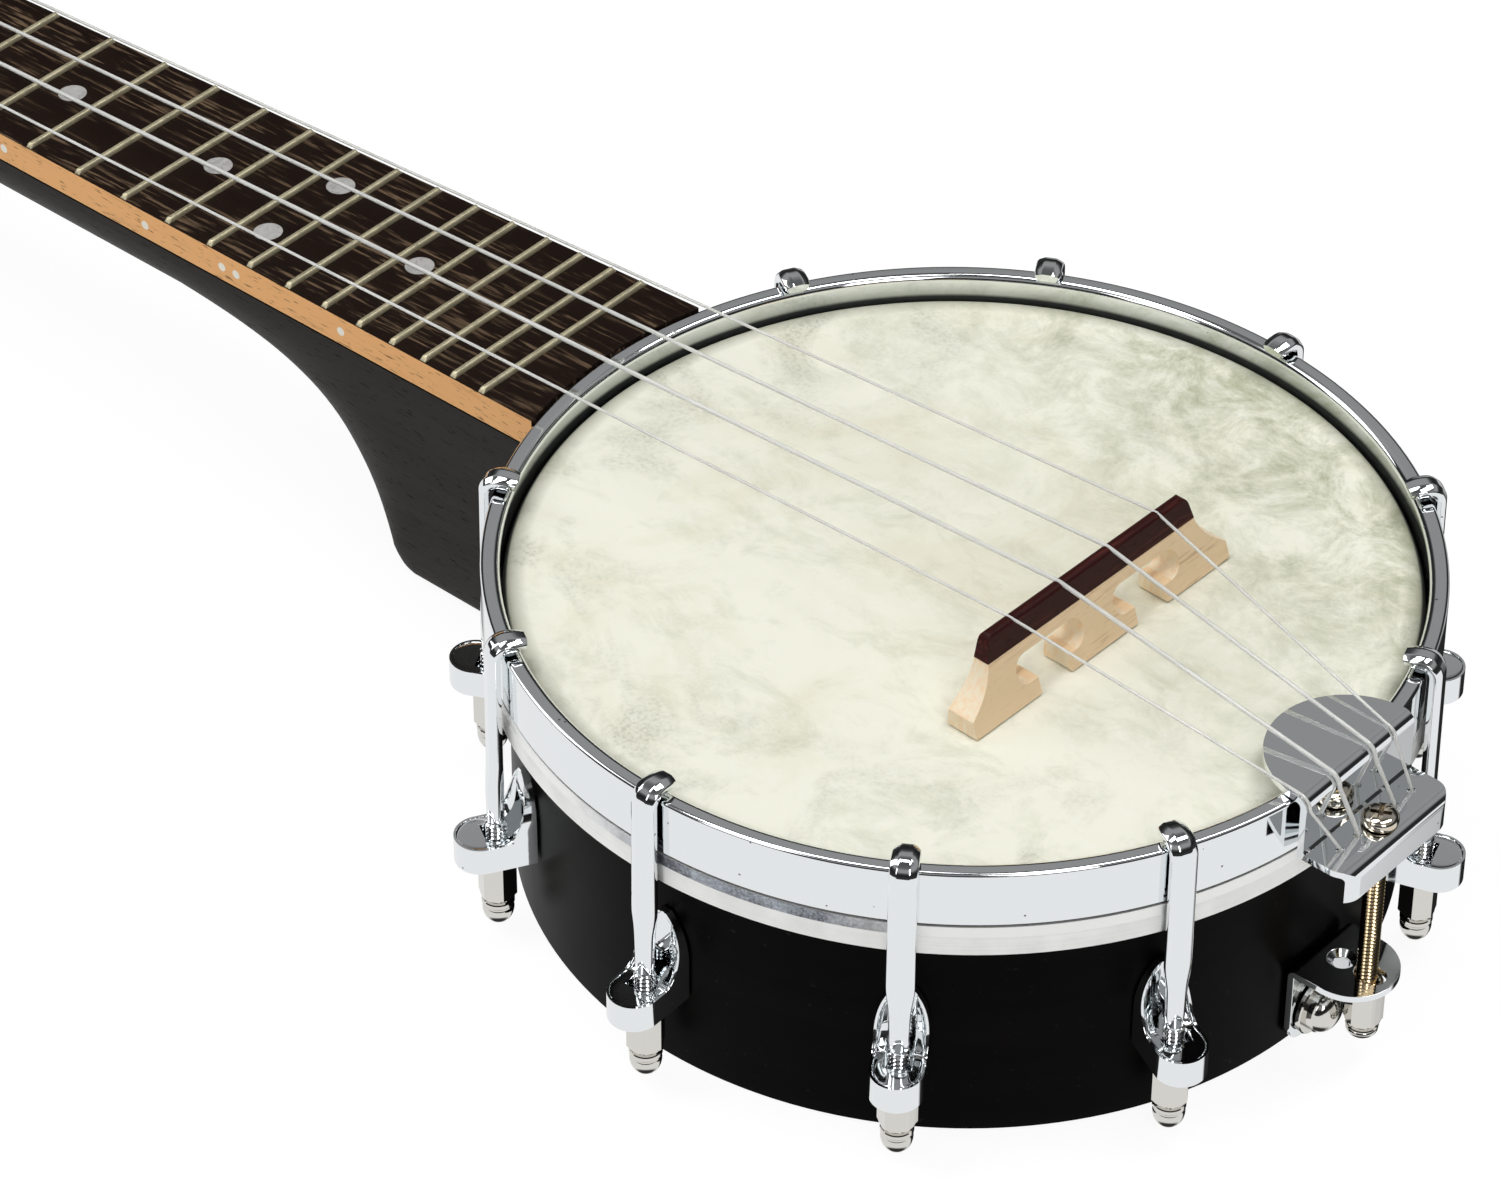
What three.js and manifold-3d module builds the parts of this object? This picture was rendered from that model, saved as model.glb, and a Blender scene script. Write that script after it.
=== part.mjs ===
// Banjo ukulele of concert scale, lying on its open back.
// Millimetres, +Z up. While it is built, x = 0 is the middle of the pot and z = 0 the rim's lower
// edge; the neck points to -X, the tailpiece to +X, and the player's bass side is -Y. At the end
// the whole group is shifted so that the middle of its base is the origin.

import * as THREE from "three";
import { mergeVertices } from "three/addons/utils/BufferGeometryUtils.js";
import Module from "manifold-3d";

const wasm = await Module();
wasm.setup();

// Fits that every piece shares
const SEAT_GAP = 0.3; // between two pieces that rest on each other
const RUNNING_GAP = 0.35; // round a rod, screw or shaft in its hole
const CUT_OVERRUN = 3; // how far a cutting shape runs past the face that it cuts
const MERGE_DISTANCE = 0.0001;

// Pot: laminated rim, skin, and the two hoops that pull it down
const RIM_RADIUS = 83.5;
const RIM_WALL = 10;
const RIM_HEIGHT = 59.9;
const RIM_EDGE_ROUND = 3.2;
const SKIN_THICKNESS = 0.5;
const HOOP_RISE = 4.7; // top of the tension hoop above the skin
const HOOP_HEIGHT = 11.9;
const HOOP_WALL = 3.6;
const HOOP_ROUND = 1.5;
const FLESH_HOOP_HEIGHT = 6.7;
const FLESH_HOOP_FLOOR = 1.6;
const RING_STEPS = 48;

// Tension hooks, their shoes and their nuts, the same at each place round the rim
const HOOKS_PER_SIDE = 5;
const HOOK_FIRST_ANGLE = 0.494; // from the heel to the nearest hook on either side
const BASS_HOOK_STEP_ANGLE = 0.5498;
const TREBLE_HOOK_STEP_ANGLE = 0.5777;
const HOOK_WIDTH = 5.2;
const HOOK_THICKNESS = 2.3;
const HOOK_BEND_RADIUS = 2.7;
const HOOK_TIP_REACH = 0.6; // the claw's end face stands this far inside the hoop's inner wall
const HOOK_CREST_RISE = 0.45; // the claw's crest above its tip
const HOOK_SHAFT_SIDE_GAP = 0.65; // between the hoop and the flat shaft
const HOOK_TAPER_TOP = 42;
const HOOK_TAPER_BOTTOM = 35.5;
const HOOK_LEAN = 0.1; // how far the shaft has moved out where its taper starts
const HOOK_ROD_RADIUS = 1.65;
const THREAD_RADIUS = 2.05;
const THREAD_TOP = 27.5;
const THREAD_BOTTOM = 7;
const HOOK_ROD_STANDOFF = 1.95; // from the hoop's outer wall to the rod's axis
const SHOE_WIDTH = 9.8;
const SHOE_NOSE_REACH = 3.05; // from the rod's axis to the middle of its round nose
const SHOE_BOTTOM = 17.5;
const SHOE_FLOOR = 23.2;
const SHOE_TOP = 36.3;
const SHOE_ARCH_SPRING = 26;
const SHOE_ARCH_TIP_WIDTH = 1.8;
const SHOE_BACK_THICKNESS = 1.6;
const SHOE_POCKET_WIDTH = 5;
const SHOE_POCKET_LENGTH = 7.4;
const SHOE_POCKET_FLOOR = 20.6;
const SHOE_BOLT_RADIUS = 2;
const SHOE_BOLT_HEIGHT = 26;
const SHOE_BOLT_HEAD_RADIUS = 4.2;
const SHOE_BOLT_HEAD_THICKNESS = 3.2;
const HOOK_NUT_FLATS = 6.35;
const HOOK_NUT_HEX_HEIGHT = 9.4;
const HOOK_NUT_HEIGHT = 15.9;

// Tail: tailpiece of bent sheet, its screw and nut, the bracket, and the rod through the pot
const SHEET_THICKNESS = 1.3;
const TAILPIECE_WIDTH = 31.6;
const TAILPIECE_TONGUE = 16.4; // reach of the half-moon plate inwards from the bend
const TAILPIECE_LIP_REACH = 9.8; // from the web's inner face to the front lip's outer face
const TAILPIECE_WEB_HEIGHT = 12.2; // between the upper faces of its two plates
const TAILPIECE_LIP_DROP = 7;
const TAILPIECE_BEND_ROUND = 1.6;
const TAILPIECE_CORNER_ROUND = 4;
const TAIL_SCREW_SETBACK = 3.5; // from the lip's outer face to the screw's axis
const TAIL_SCREW_RADIUS = 2;
const TAIL_SCREW_HEAD_RADIUS = 3.4;
const TAIL_SCREW_HEAD_HEIGHT = 2.1;
const STRING_HOLE_RADIUS = 0.85;
const STRING_HOLE_INNER_Y = 5.3;
const STRING_HOLE_OUTER_Y = 10.5;
const STRING_HOLE_FROM_SCREW = 0.9;
const BRACKET_THICKNESS = 1.4;
const BRACKET_WIDTH = 17.5;
const BRACKET_REACH = 16.5;
const BRACKET_TOP = 19;
const BRACKET_FOOT = 1.2;
const BRACKET_CORNER_ROUND = 4;
const BRACKET_SLOT_LENGTH = 1.6; // play along the slot that the screw passes through
const BRACKET_SPARE_HOLE_RADIUS = 1.6;
const BRACKET_SPARE_HOLE_SINK = 1.1; // how much wider its countersunk mouth is
const BRACKET_SPARE_HOLE_REACH = 5.5;
const TAIL_NUT_FLATS = 6.35;
const TAIL_NUT_HEX_HEIGHT = 9.6;
const TAIL_NUT_HEIGHT = 13.2;
const TAIL_SCREW_PAST_BRACKET = 10;
const ROD_HEIGHT = 7.3;
const ROD_OFFSET = -2.4; // towards the bass side, so that its nut clears the tailpiece's nut
const ROD_RADIUS = 3;
const ROD_WASHER_RADIUS = 5.7;
const ROD_WASHER_THICKNESS = 1.2;
const ROD_NUT_RADIUS = 4.5;
const ROD_NUT_THICKNESS = 1.8;
const ROD_DOME_HEIGHT = 2.7;
const ROD_IN_HEEL = 13.5;

// Neck, measured from the pot end; its own frame turns about a point on the board's upper face
const SCALE_LENGTH = 380;
const BRIDGE_LINE = 28; // where the strings cross the bridge
const NECK_PIVOT = -85;
const NECK_TILT = 0.03543;
const BOARD_RISE = 5.1; // its upper face above the skin, at the pivot
const BOARD_THICKNESS = 6.5;
const BOARD_END_WIDTH = 47.3;
const NUT_WIDTH = 32.2;
const NUT_THICKNESS = 4;
const NUT_RISE = 2.3;
const NECK_DEPTH = 17.5; // under the board, along most of the neck
const NECK_DEPTH_AT_NUT = 15.2;
const HEEL_FOOT_LENGTH = 46.5; // from the rim to the front of the heel's foot
const HEEL_FOOT_WIDTH = 31;
const HEEL_TURN = 104; // from the rim to where the back of the neck starts to fall
const FRET_COUNT = 19;
const FRET_WIDTH = 2;
const FRET_HEIGHT = 1;
const FRET_END_INSET = 0.3;

// Head of the neck, measured from behind the string nut
const HEAD_ANGLE = 0.1745;
const HEAD_LENGTH = 104;
const HEAD_THICKNESS = 12;
const HEAD_FACE_DROP = 5.5; // its face lies this far under the board's upper face at the nut
const HEAD_WIDEST = 61;

// Tuners: post, gear and worm, all placed from the post
const POST_NEAR = 27;
const POST_FAR = 61;
const POST_SIDE = 18;
const POST_RADIUS = 2.9;
const POST_WAIST_RADIUS = 2.4;
const POST_HEIGHT = 14.6;
const POST_WAIST_BOTTOM = 4.6;
const POST_WAIST_TOP = 12.4;
const POST_HOLE_RADIUS = 0.8;
const BUSHING_WALL = 1.05;
const BUSHING_FLANGE_RADIUS = 5.6;
const BUSHING_FLANGE_HEIGHT = 1.5;
const GEAR_TEETH = 14;
const GEAR_MODULE = 0.6;
const GEAR_THICKNESS = 3;
const GEAR_SCREW_RADIUS = 1.9;
const GEAR_SCREW_HEIGHT = 0.9;
const WORM_PITCH_RADIUS = 2.2;
const WORM_TURNS = 3;
const WORM_SHAFT_RADIUS = 1.5;
const WORM_ABOVE_GAP = 0.7; // between the tuner plate and the worm
const PLATE_THICKNESS = 1;
const PLATE_LENGTH = 21;
const PLATE_WIDTH = 16.4;
const EAR_THICKNESS = 1.5;
const EAR_WIDTH = 6.4;
const EAR_DISTANCE = 5.4; // from the post's axis to each ear
const BUTTON_START = 15.4; // from the post's axis
const BUTTON_LENGTH = 11;
const BUTTON_HALF_LENGTH = 7.6;
const BUTTON_HALF_THICKNESS = 3.8;

// Bridge: maple base with three feet and two long arches, under a hardwood cap. Its back is
// upright, its front leans, and it stands a little askew on the skin
const BRIDGE_SKEW_ANGLE = 0.03;
const BRIDGE_BACK_SETBACK = 1.8; // its back face, behind the line of the scale
const BRIDGE_FOOT_THICKNESS = 7.1;
const BRIDGE_SEAM_THICKNESS = 3.4; // where the cap meets the base
const BRIDGE_TOP_THICKNESS = 2.4;
const BRIDGE_LENGTH = 70.4;
const BRIDGE_CAP_LENGTH = 57;
const BRIDGE_HEIGHT = 16.6; // above the skin
const BRIDGE_CAP_HEIGHT = 5;
const BRIDGE_TOE_HEIGHT = 3.4;
const BRIDGE_ARCH_CENTRE = 13.3;
const BRIDGE_ARCH_HALF_LENGTH = 9.1;
const BRIDGE_ARCH_RADIUS = 2.8;
const BRIDGE_MOUTH_HALF = 4.1;

// Strings, bass side first: radius, where they cross the tail plate's bend, bridge and nut
const STRING_RADII = [0.3, 0.45, 0.4, 0.3];
const STRING_BEND_PLACES = [-15.2, -6.9, 3.6, 9.8];
const STRING_BRIDGE_SPACING = 13.5;
const STRING_NUT_SPACING = 9.5;
const STRING_NUT_OFFSET = 0.7; // of the row's middle, towards the treble side
const STRING_NUT_HEIGHT = 1.7; // middle of a string above the board at the nut
const STRING_BELOW_BRIDGE_TOP = 0.3;
const STRING_SIDES = 5;
const STRING_KNOT_RADIUS = 1.15;
const WINDING_TURNS = 3;
const WINDING_STEPS = 12;
const WINDING_TURN_GAP = 0.46;
const WINDING_TOP = 10.6; // above the face of the head
const STRING_TAIL_LENGTH = 4;

// Sizes that follow from the ones above
const RIM_INNER_RADIUS = RIM_RADIUS - RIM_WALL;
const SKIN_RADIUS = RIM_RADIUS + SEAT_GAP + SKIN_THICKNESS;
const SKIN_TOP = RIM_HEIGHT + SEAT_GAP + SKIN_THICKNESS;
const HOOP_INNER_RADIUS = SKIN_RADIUS + SEAT_GAP;
const HOOP_OUTER_RADIUS = HOOP_INNER_RADIUS + HOOP_WALL;
const HOOP_TOP = SKIN_TOP + HOOP_RISE;
const ROD_AXIS_RADIUS = HOOP_OUTER_RADIUS + HOOK_ROD_STANDOFF;
const SHOE_NOSE_RADIUS = ROD_AXIS_RADIUS + SHOE_NOSE_REACH;
const BOARD_TOP = SKIN_TOP + BOARD_RISE;
const BRIDGE_TOP = SKIN_TOP + BRIDGE_HEIGHT;
const FLESH_HOOP_TOP = HOOP_TOP - HOOP_HEIGHT - SEAT_GAP;
const FLESH_HOOP_BOTTOM = FLESH_HOOP_TOP - FLESH_HOOP_HEIGHT;
const NUT_LINE = BRIDGE_LINE - SCALE_LENGTH;
const HEAD_START = NUT_LINE - NUT_THICKNESS;
const NECK_TOP = -BOARD_THICKNESS - SEAT_GAP; // under the board's upper face
const TAIL_WEB_INNER = HOOP_OUTER_RADIUS + SEAT_GAP;
const TAIL_PLATE_TOP = HOOP_TOP + SEAT_GAP + SHEET_THICKNESS;
const TAIL_SHELF_TOP = TAIL_PLATE_TOP - TAILPIECE_WEB_HEIGHT;
const TAIL_LIP_OUTER = TAIL_WEB_INNER + TAILPIECE_LIP_REACH + SHEET_THICKNESS;
const TAIL_SCREW_X = TAIL_LIP_OUTER - TAIL_SCREW_SETBACK - SHEET_THICKNESS;
const BRACKET_BACK = RIM_RADIUS + SEAT_GAP;
const POST_HOLE_HEIGHT = WINDING_TOP + STRING_RADII[1] + POST_HOLE_RADIUS;
const BUSHING_RADIUS = POST_RADIUS + RUNNING_GAP + BUSHING_WALL;
const GEAR_PITCH_RADIUS = (GEAR_TEETH * GEAR_MODULE) / 2;
const GEAR_OUTER_RADIUS = GEAR_PITCH_RADIUS + 0.75 * GEAR_MODULE;
const GEAR_ROOT_RADIUS = GEAR_PITCH_RADIUS - 1.2 * GEAR_MODULE;
const WORM_OUTER_RADIUS = WORM_PITCH_RADIUS + 0.75 * GEAR_MODULE;
const WORM_OFFSET = GEAR_PITCH_RADIUS + WORM_PITCH_RADIUS;
const WORM_PITCH = Math.PI * GEAR_MODULE;
const PLATE_TOP = -HEAD_THICKNESS - SEAT_GAP;
const WORM_LEVEL = PLATE_TOP - PLATE_THICKNESS - WORM_ABOVE_GAP - WORM_OUTER_RADIUS;
const GEAR_TOP = WORM_LEVEL + GEAR_THICKNESS / 2;

const HALF_TURN = Math.PI;
const FULL_TURN = 2 * Math.PI;
const QUARTER_TURN = Math.PI / 2;

const FINISHES = {
  rim: { color: 0x1b1412, roughness: 0.42, metalness: 0 },
  skin: { color: 0xe6e5cf, roughness: 0.62, metalness: 0 },
  chrome: { color: 0xd9dadd, roughness: 0.08, metalness: 1 },
  aluminium: { color: 0xd5d5d2, roughness: 0.3, metalness: 1 },
  nickel: { color: 0xb9b5ab, roughness: 0.25, metalness: 1 },
  brass: { color: 0xc3a36a, roughness: 0.3, metalness: 1 },
  neck: { color: 0x2b2725, roughness: 0.6, metalness: 0 },
  board: { color: 0x33201a, roughness: 0.55, metalness: 0 },
  bone: { color: 0xe9e2d0, roughness: 0.4, metalness: 0 },
  maple: { color: 0xe3bf92, roughness: 0.55, metalness: 0 },
  cap: { color: 0x3c1413, roughness: 0.45, metalness: 0 },
  string: { color: 0xe8e8e4, roughness: 0.15, metalness: 0 },
};

const materials = {};
for (const [finish, values] of Object.entries(FINISHES)) {
  materials[finish] = new THREE.MeshStandardMaterial({ ...values, flatShading: true });
}

// A closed mesh with shared vertices and no empty triangles, its faces turned outwards
function closedGeometry(geometry) {
  const bare = geometry.clone();
  for (const attribute of ["normal", "uv"]) {
    bare.deleteAttribute(attribute);
  }
  const merged = mergeVertices(bare, MERGE_DISTANCE);
  const position = merged.attributes.position;
  const corners = [];
  let volume = 0;
  const points = [new THREE.Vector3(), new THREE.Vector3(), new THREE.Vector3()];
  for (let i = 0; i < merged.index.count; i += 3) {
    const triangle = [0, 1, 2].map((k) => merged.index.getX(i + k));
    if (new Set(triangle).size < triangle.length) {
      continue;
    }
    triangle.forEach((vertex, k) => points[k].fromBufferAttribute(position, vertex));
    volume += points[0].dot(points[1].clone().cross(points[2]));
    corners.push(triangle);
  }
  if (volume < 0) {
    corners.forEach((triangle) => triangle.reverse());
  }
  merged.setIndex(corners.flat());
  return merged;
}

function solidOf(geometry) {
  const closed = closedGeometry(geometry);
  const mesh = new wasm.Mesh({
    numProp: 3,
    vertProperties: new Float32Array(closed.attributes.position.array),
    triVerts: new Uint32Array(closed.index.array),
  });
  return new wasm.Manifold(mesh);
}

function geometryOf(solid) {
  const mesh = solid.getMesh();
  const geometry = new THREE.BufferGeometry();
  geometry.setAttribute("position", new THREE.BufferAttribute(mesh.vertProperties, 3));
  geometry.setIndex(new THREE.BufferAttribute(mesh.triVerts, 1));
  return geometry;
}

function joined(first, ...others) {
  return geometryOf(others.reduce((solid, other) => solid.add(solidOf(other)), solidOf(first)));
}

function cut(first, ...cutters) {
  return geometryOf(cutters.reduce((solid, other) => solid.subtract(solidOf(other)), solidOf(first)));
}

function common(first, ...others) {
  return geometryOf(others.reduce((solid, other) => solid.intersect(solidOf(other)), solidOf(first)));
}

function shapeOf(points) {
  return new THREE.Shape(points.map(([a, b]) => new THREE.Vector2(a, b)));
}

// Prisms: an outline in the plane across the named axis, drawn out between two places on it
function prismAlongZ(shape, low, high, curveSegments = 6) {
  const depth = high - low;
  const geometry = new THREE.ExtrudeGeometry(shape, { depth, bevelEnabled: false, curveSegments });
  return geometry.translate(0, 0, low);
}

function prismAlongY(shape, low, high, curveSegments = 6) {
  return prismAlongZ(shape, -high, -low, curveSegments).rotateX(QUARTER_TURN);
}

function prismAlongX(shape, low, high, curveSegments = 6) {
  const turn = new THREE.Matrix4().makeBasis(
    new THREE.Vector3(0, 1, 0),
    new THREE.Vector3(0, 0, 1),
    new THREE.Vector3(1, 0, 0),
  );
  return prismAlongZ(shape, low, high, curveSegments).applyMatrix4(turn);
}

function box(lowX, highX, lowY, highY, lowZ, highZ) {
  const geometry = new THREE.BoxGeometry(highX - lowX, highY - lowY, highZ - lowZ);
  return geometry.translate((lowX + highX) / 2, (lowY + highY) / 2, (lowZ + highZ) / 2);
}

// Turned shapes from a profile of radius and height
function turnedAboutZ(profile, steps) {
  const points = profile.map(([radius, height]) => new THREE.Vector2(radius, height));
  return closedGeometry(new THREE.LatheGeometry(points, steps).rotateX(QUARTER_TURN));
}

function turnedAboutX(profile, steps) {
  return turnedAboutZ(profile, steps).rotateY(QUARTER_TURN);
}

function rod(radius, low, high, steps) {
  return turnedAboutZ([[0, low], [radius, low], [radius, high], [0, high]], steps);
}

// Points of an arc in a profile, from one angle to another
function arc(centreA, centreB, radius, from, to, count) {
  const points = [];
  for (let i = 0; i <= count; i += 1) {
    const angle = from + ((to - from) * i) / count;
    points.push([centreA + radius * Math.cos(angle), centreB + radius * Math.sin(angle)]);
  }
  return points;
}

// A skin over a row of rings that all have as many points, closed at both ends
function loft(rings) {
  const count = rings[0].length;
  const points = rings.flat();
  const corners = [];
  for (let i = 0; i + 1 < rings.length; i += 1) {
    for (let k = 0; k < count; k += 1) {
      const a = i * count + k;
      const b = i * count + ((k + 1) % count);
      corners.push(a, b, a + count, b, b + count, a + count);
    }
  }
  for (const [ring, isStart] of [[0, true], [rings.length - 1, false]]) {
    const middle = points.length;
    const sum = rings[ring].reduce((total, point) => total.add(point), new THREE.Vector3());
    points.push(sum.divideScalar(count));
    for (let k = 0; k < count; k += 1) {
      const a = ring * count + k;
      const b = ring * count + ((k + 1) % count);
      corners.push(...(isStart ? [b, a, middle] : [a, b, middle]));
    }
  }
  const geometry = new THREE.BufferGeometry().setFromPoints(points);
  geometry.setIndex(corners);
  return closedGeometry(geometry);
}

// A round tube through points, with one radius for each of them
function tube(points, radii, sides) {
  const rings = [];
  let across = new THREE.Vector3(0, 1, 0);
  points.forEach((point, i) => {
    const before = points[Math.max(i - 1, 0)];
    const after = points[Math.min(i + 1, points.length - 1)];
    const along = after.clone().sub(before).normalize();
    across = across.clone().addScaledVector(along, -across.dot(along)).normalize();
    const third = along.clone().cross(across);
    const ring = [];
    for (let k = 0; k < sides; k += 1) {
      const angle = (FULL_TURN * k) / sides;
      const corner = point.clone().addScaledVector(across, radii[i] * Math.cos(angle));
      ring.push(corner.addScaledVector(third, radii[i] * Math.sin(angle)));
    }
    rings.push(ring);
  });
  return loft(rings);
}

function addPiece(group, name, geometry, finish) {
  const mesh = new THREE.Mesh(geometry, materials[finish]);
  mesh.name = name;
  mesh.geometry.computeVertexNormals();
  group.add(mesh);
  return mesh;
}

// Pot

// Hooks are counted from the heel round the treble side, then from the heel round the bass side
const hookAngles = [];
for (const [side, stepAngle] of [[1, TREBLE_HOOK_STEP_ANGLE], [-1, BASS_HOOK_STEP_ANGLE]]) {
  for (let i = 0; i < HOOKS_PER_SIDE; i += 1) {
    hookAngles.push(side * (Math.PI - HOOK_FIRST_ANGLE - i * stepAngle));
  }
}

function rimGeometry() {
  const edgeRadius = RIM_RADIUS - RIM_EDGE_ROUND;
  const edgeHeight = RIM_HEIGHT - RIM_EDGE_ROUND;
  const edge = arc(edgeRadius, edgeHeight, RIM_EDGE_ROUND, 0, QUARTER_TURN, 2);
  const ring = turnedAboutZ(
    [
      [RIM_INNER_RADIUS, 0],
      [RIM_RADIUS, 0],
      ...edge,
      [RIM_INNER_RADIUS, RIM_HEIGHT],
      [RIM_INNER_RADIUS, 0],
    ],
    RING_STEPS,
  );
  const low = RIM_INNER_RADIUS - CUT_OVERRUN;
  const high = RIM_RADIUS + CUT_OVERRUN;
  const holes = hookAngles.map((angle) => {
    const radius = SHOE_BOLT_RADIUS + RUNNING_GAP;
    return turnedAboutX([[0, low], [radius, low], [radius, high], [0, high]], 8)
      .translate(0, 0, SHOE_BOLT_HEIGHT)
      .rotateZ(angle);
  });
  const rodHole = ROD_RADIUS + RUNNING_GAP;
  const rodWay = turnedAboutX([[0, -high], [rodHole, -high], [rodHole, high], [0, high]], 12);
  holes.push(rodWay.translate(0, ROD_OFFSET, ROD_HEIGHT));
  return cut(ring, ...holes);
}

// The skin lies flat, turns down over the rim's edge and ends in the flesh hoop
function headGeometry() {
  const outerRound = RIM_EDGE_ROUND + SEAT_GAP + SKIN_THICKNESS;
  const innerRound = RIM_EDGE_ROUND + SEAT_GAP;
  const centre = [RIM_RADIUS - RIM_EDGE_ROUND, RIM_HEIGHT - RIM_EDGE_ROUND];
  const skirtEnd = FLESH_HOOP_BOTTOM + FLESH_HOOP_FLOOR + SEAT_GAP;
  return turnedAboutZ(
    [
      [0, SKIN_TOP - SKIN_THICKNESS],
      ...arc(...centre, innerRound, QUARTER_TURN, 0, 2),
      [SKIN_RADIUS - SKIN_THICKNESS, skirtEnd],
      [SKIN_RADIUS, skirtEnd],
      ...arc(...centre, outerRound, 0, QUARTER_TURN, 2),
      [0, SKIN_TOP],
    ],
    RING_STEPS,
  );
}

function tensionHoopGeometry() {
  const bottom = HOOP_TOP - HOOP_HEIGHT;
  const level = HOOP_TOP - HOOP_ROUND;
  return turnedAboutZ(
    [
      [HOOP_INNER_RADIUS, bottom],
      [HOOP_OUTER_RADIUS, bottom],
      ...arc(HOOP_OUTER_RADIUS - HOOP_ROUND, level, HOOP_ROUND, 0, QUARTER_TURN, 2),
      ...arc(HOOP_INNER_RADIUS + HOOP_ROUND, level, HOOP_ROUND, QUARTER_TURN, HALF_TURN, 2),
      [HOOP_INNER_RADIUS, bottom],
    ],
    RING_STEPS,
  );
}

// The flesh hoop's rebate holds the skin's edge
function fleshHoopGeometry() {
  const floor = FLESH_HOOP_BOTTOM + FLESH_HOOP_FLOOR;
  const inner = RIM_RADIUS + SEAT_GAP;
  return turnedAboutZ(
    [
      [inner, FLESH_HOOP_BOTTOM],
      [HOOP_OUTER_RADIUS, FLESH_HOOP_BOTTOM],
      [HOOP_OUTER_RADIUS, FLESH_HOOP_TOP],
      [HOOP_INNER_RADIUS, FLESH_HOOP_TOP],
      [HOOP_INNER_RADIUS, floor],
      [inner, floor],
      [inner, FLESH_HOOP_BOTTOM],
    ],
    RING_STEPS,
  );
}

// A section of eight points across the hook: a flat bar with a low ridge, or a round rod
function hookSection(place, along, halfWidth, halfThickness, isRound) {
  const out = new THREE.Vector3(-along.z, 0, along.x);
  const barShares = [
    [1, 0.4], [0.45, 1], [-0.45, 1], [-1, 0.4], [-1, -0.5], [-0.7, -1], [0.7, -1], [1, -0.5],
  ];
  return barShares.map(([widthShare, thicknessShare], k) => {
    const angle = (FULL_TURN * (k + 0.5)) / barShares.length;
    const a = isRound ? Math.cos(angle) : widthShare;
    const b = isRound ? Math.sin(angle) : thicknessShare;
    const point = place.clone().addScaledVector(out, halfThickness * b);
    point.y = halfWidth * a;
    return point;
  });
}

// The hook's middle line runs from the claw's tip, over the hoop and down to the end of the thread
function hookGeometry() {
  const half = HOOK_THICKNESS / 2;
  const width = HOOK_WIDTH / 2;
  const shaft = HOOP_OUTER_RADIUS + HOOK_SHAFT_SIDE_GAP + half;
  const tipLevel = HOOP_TOP + SEAT_GAP + half;
  const crest = tipLevel + HOOK_CREST_RISE;
  const bendX = shaft - HOOK_BEND_RADIUS;
  const bendZ = crest - HOOK_BEND_RADIUS;
  const stations = [];
  const tipX = HOOP_INNER_RADIUS - HOOK_TIP_REACH;
  stations.push([tipX, tipLevel, width * 0.9, half, false]);
  stations.push([(tipX + bendX) / 2, crest, width, half, false]);
  for (const [x, z] of arc(bendX, bendZ, HOOK_BEND_RADIUS, QUARTER_TURN, 0, 3)) {
    stations.push([x, z, width, half, false]);
  }
  const leanX = shaft + HOOK_LEAN;
  stations.push([leanX, HOOK_TAPER_TOP, width, half * 1.1, false]);
  stations.push([ROD_AXIS_RADIUS, HOOK_TAPER_BOTTOM, HOOK_ROD_RADIUS * 1.15, HOOK_ROD_RADIUS, false]);
  stations.push([ROD_AXIS_RADIUS, THREAD_TOP, HOOK_ROD_RADIUS, HOOK_ROD_RADIUS, true]);
  stations.push([ROD_AXIS_RADIUS, THREAD_TOP - SEAT_GAP, THREAD_RADIUS, THREAD_RADIUS, true]);
  stations.push([ROD_AXIS_RADIUS, THREAD_BOTTOM, THREAD_RADIUS, THREAD_RADIUS, true]);
  const places = stations.map(([x, z]) => new THREE.Vector3(x, 0, z));
  const rings = stations.map(([, , w, t, isRound], i) => {
    const before = places[Math.max(i - 1, 0)];
    const after = places[Math.min(i + 1, places.length - 1)];
    const along = isRound ? new THREE.Vector3(0, 0, -1) : after.clone().sub(before).normalize();
    return hookSection(places[i], along, w, t, isRound);
  });
  return loft(rings);
}

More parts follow.
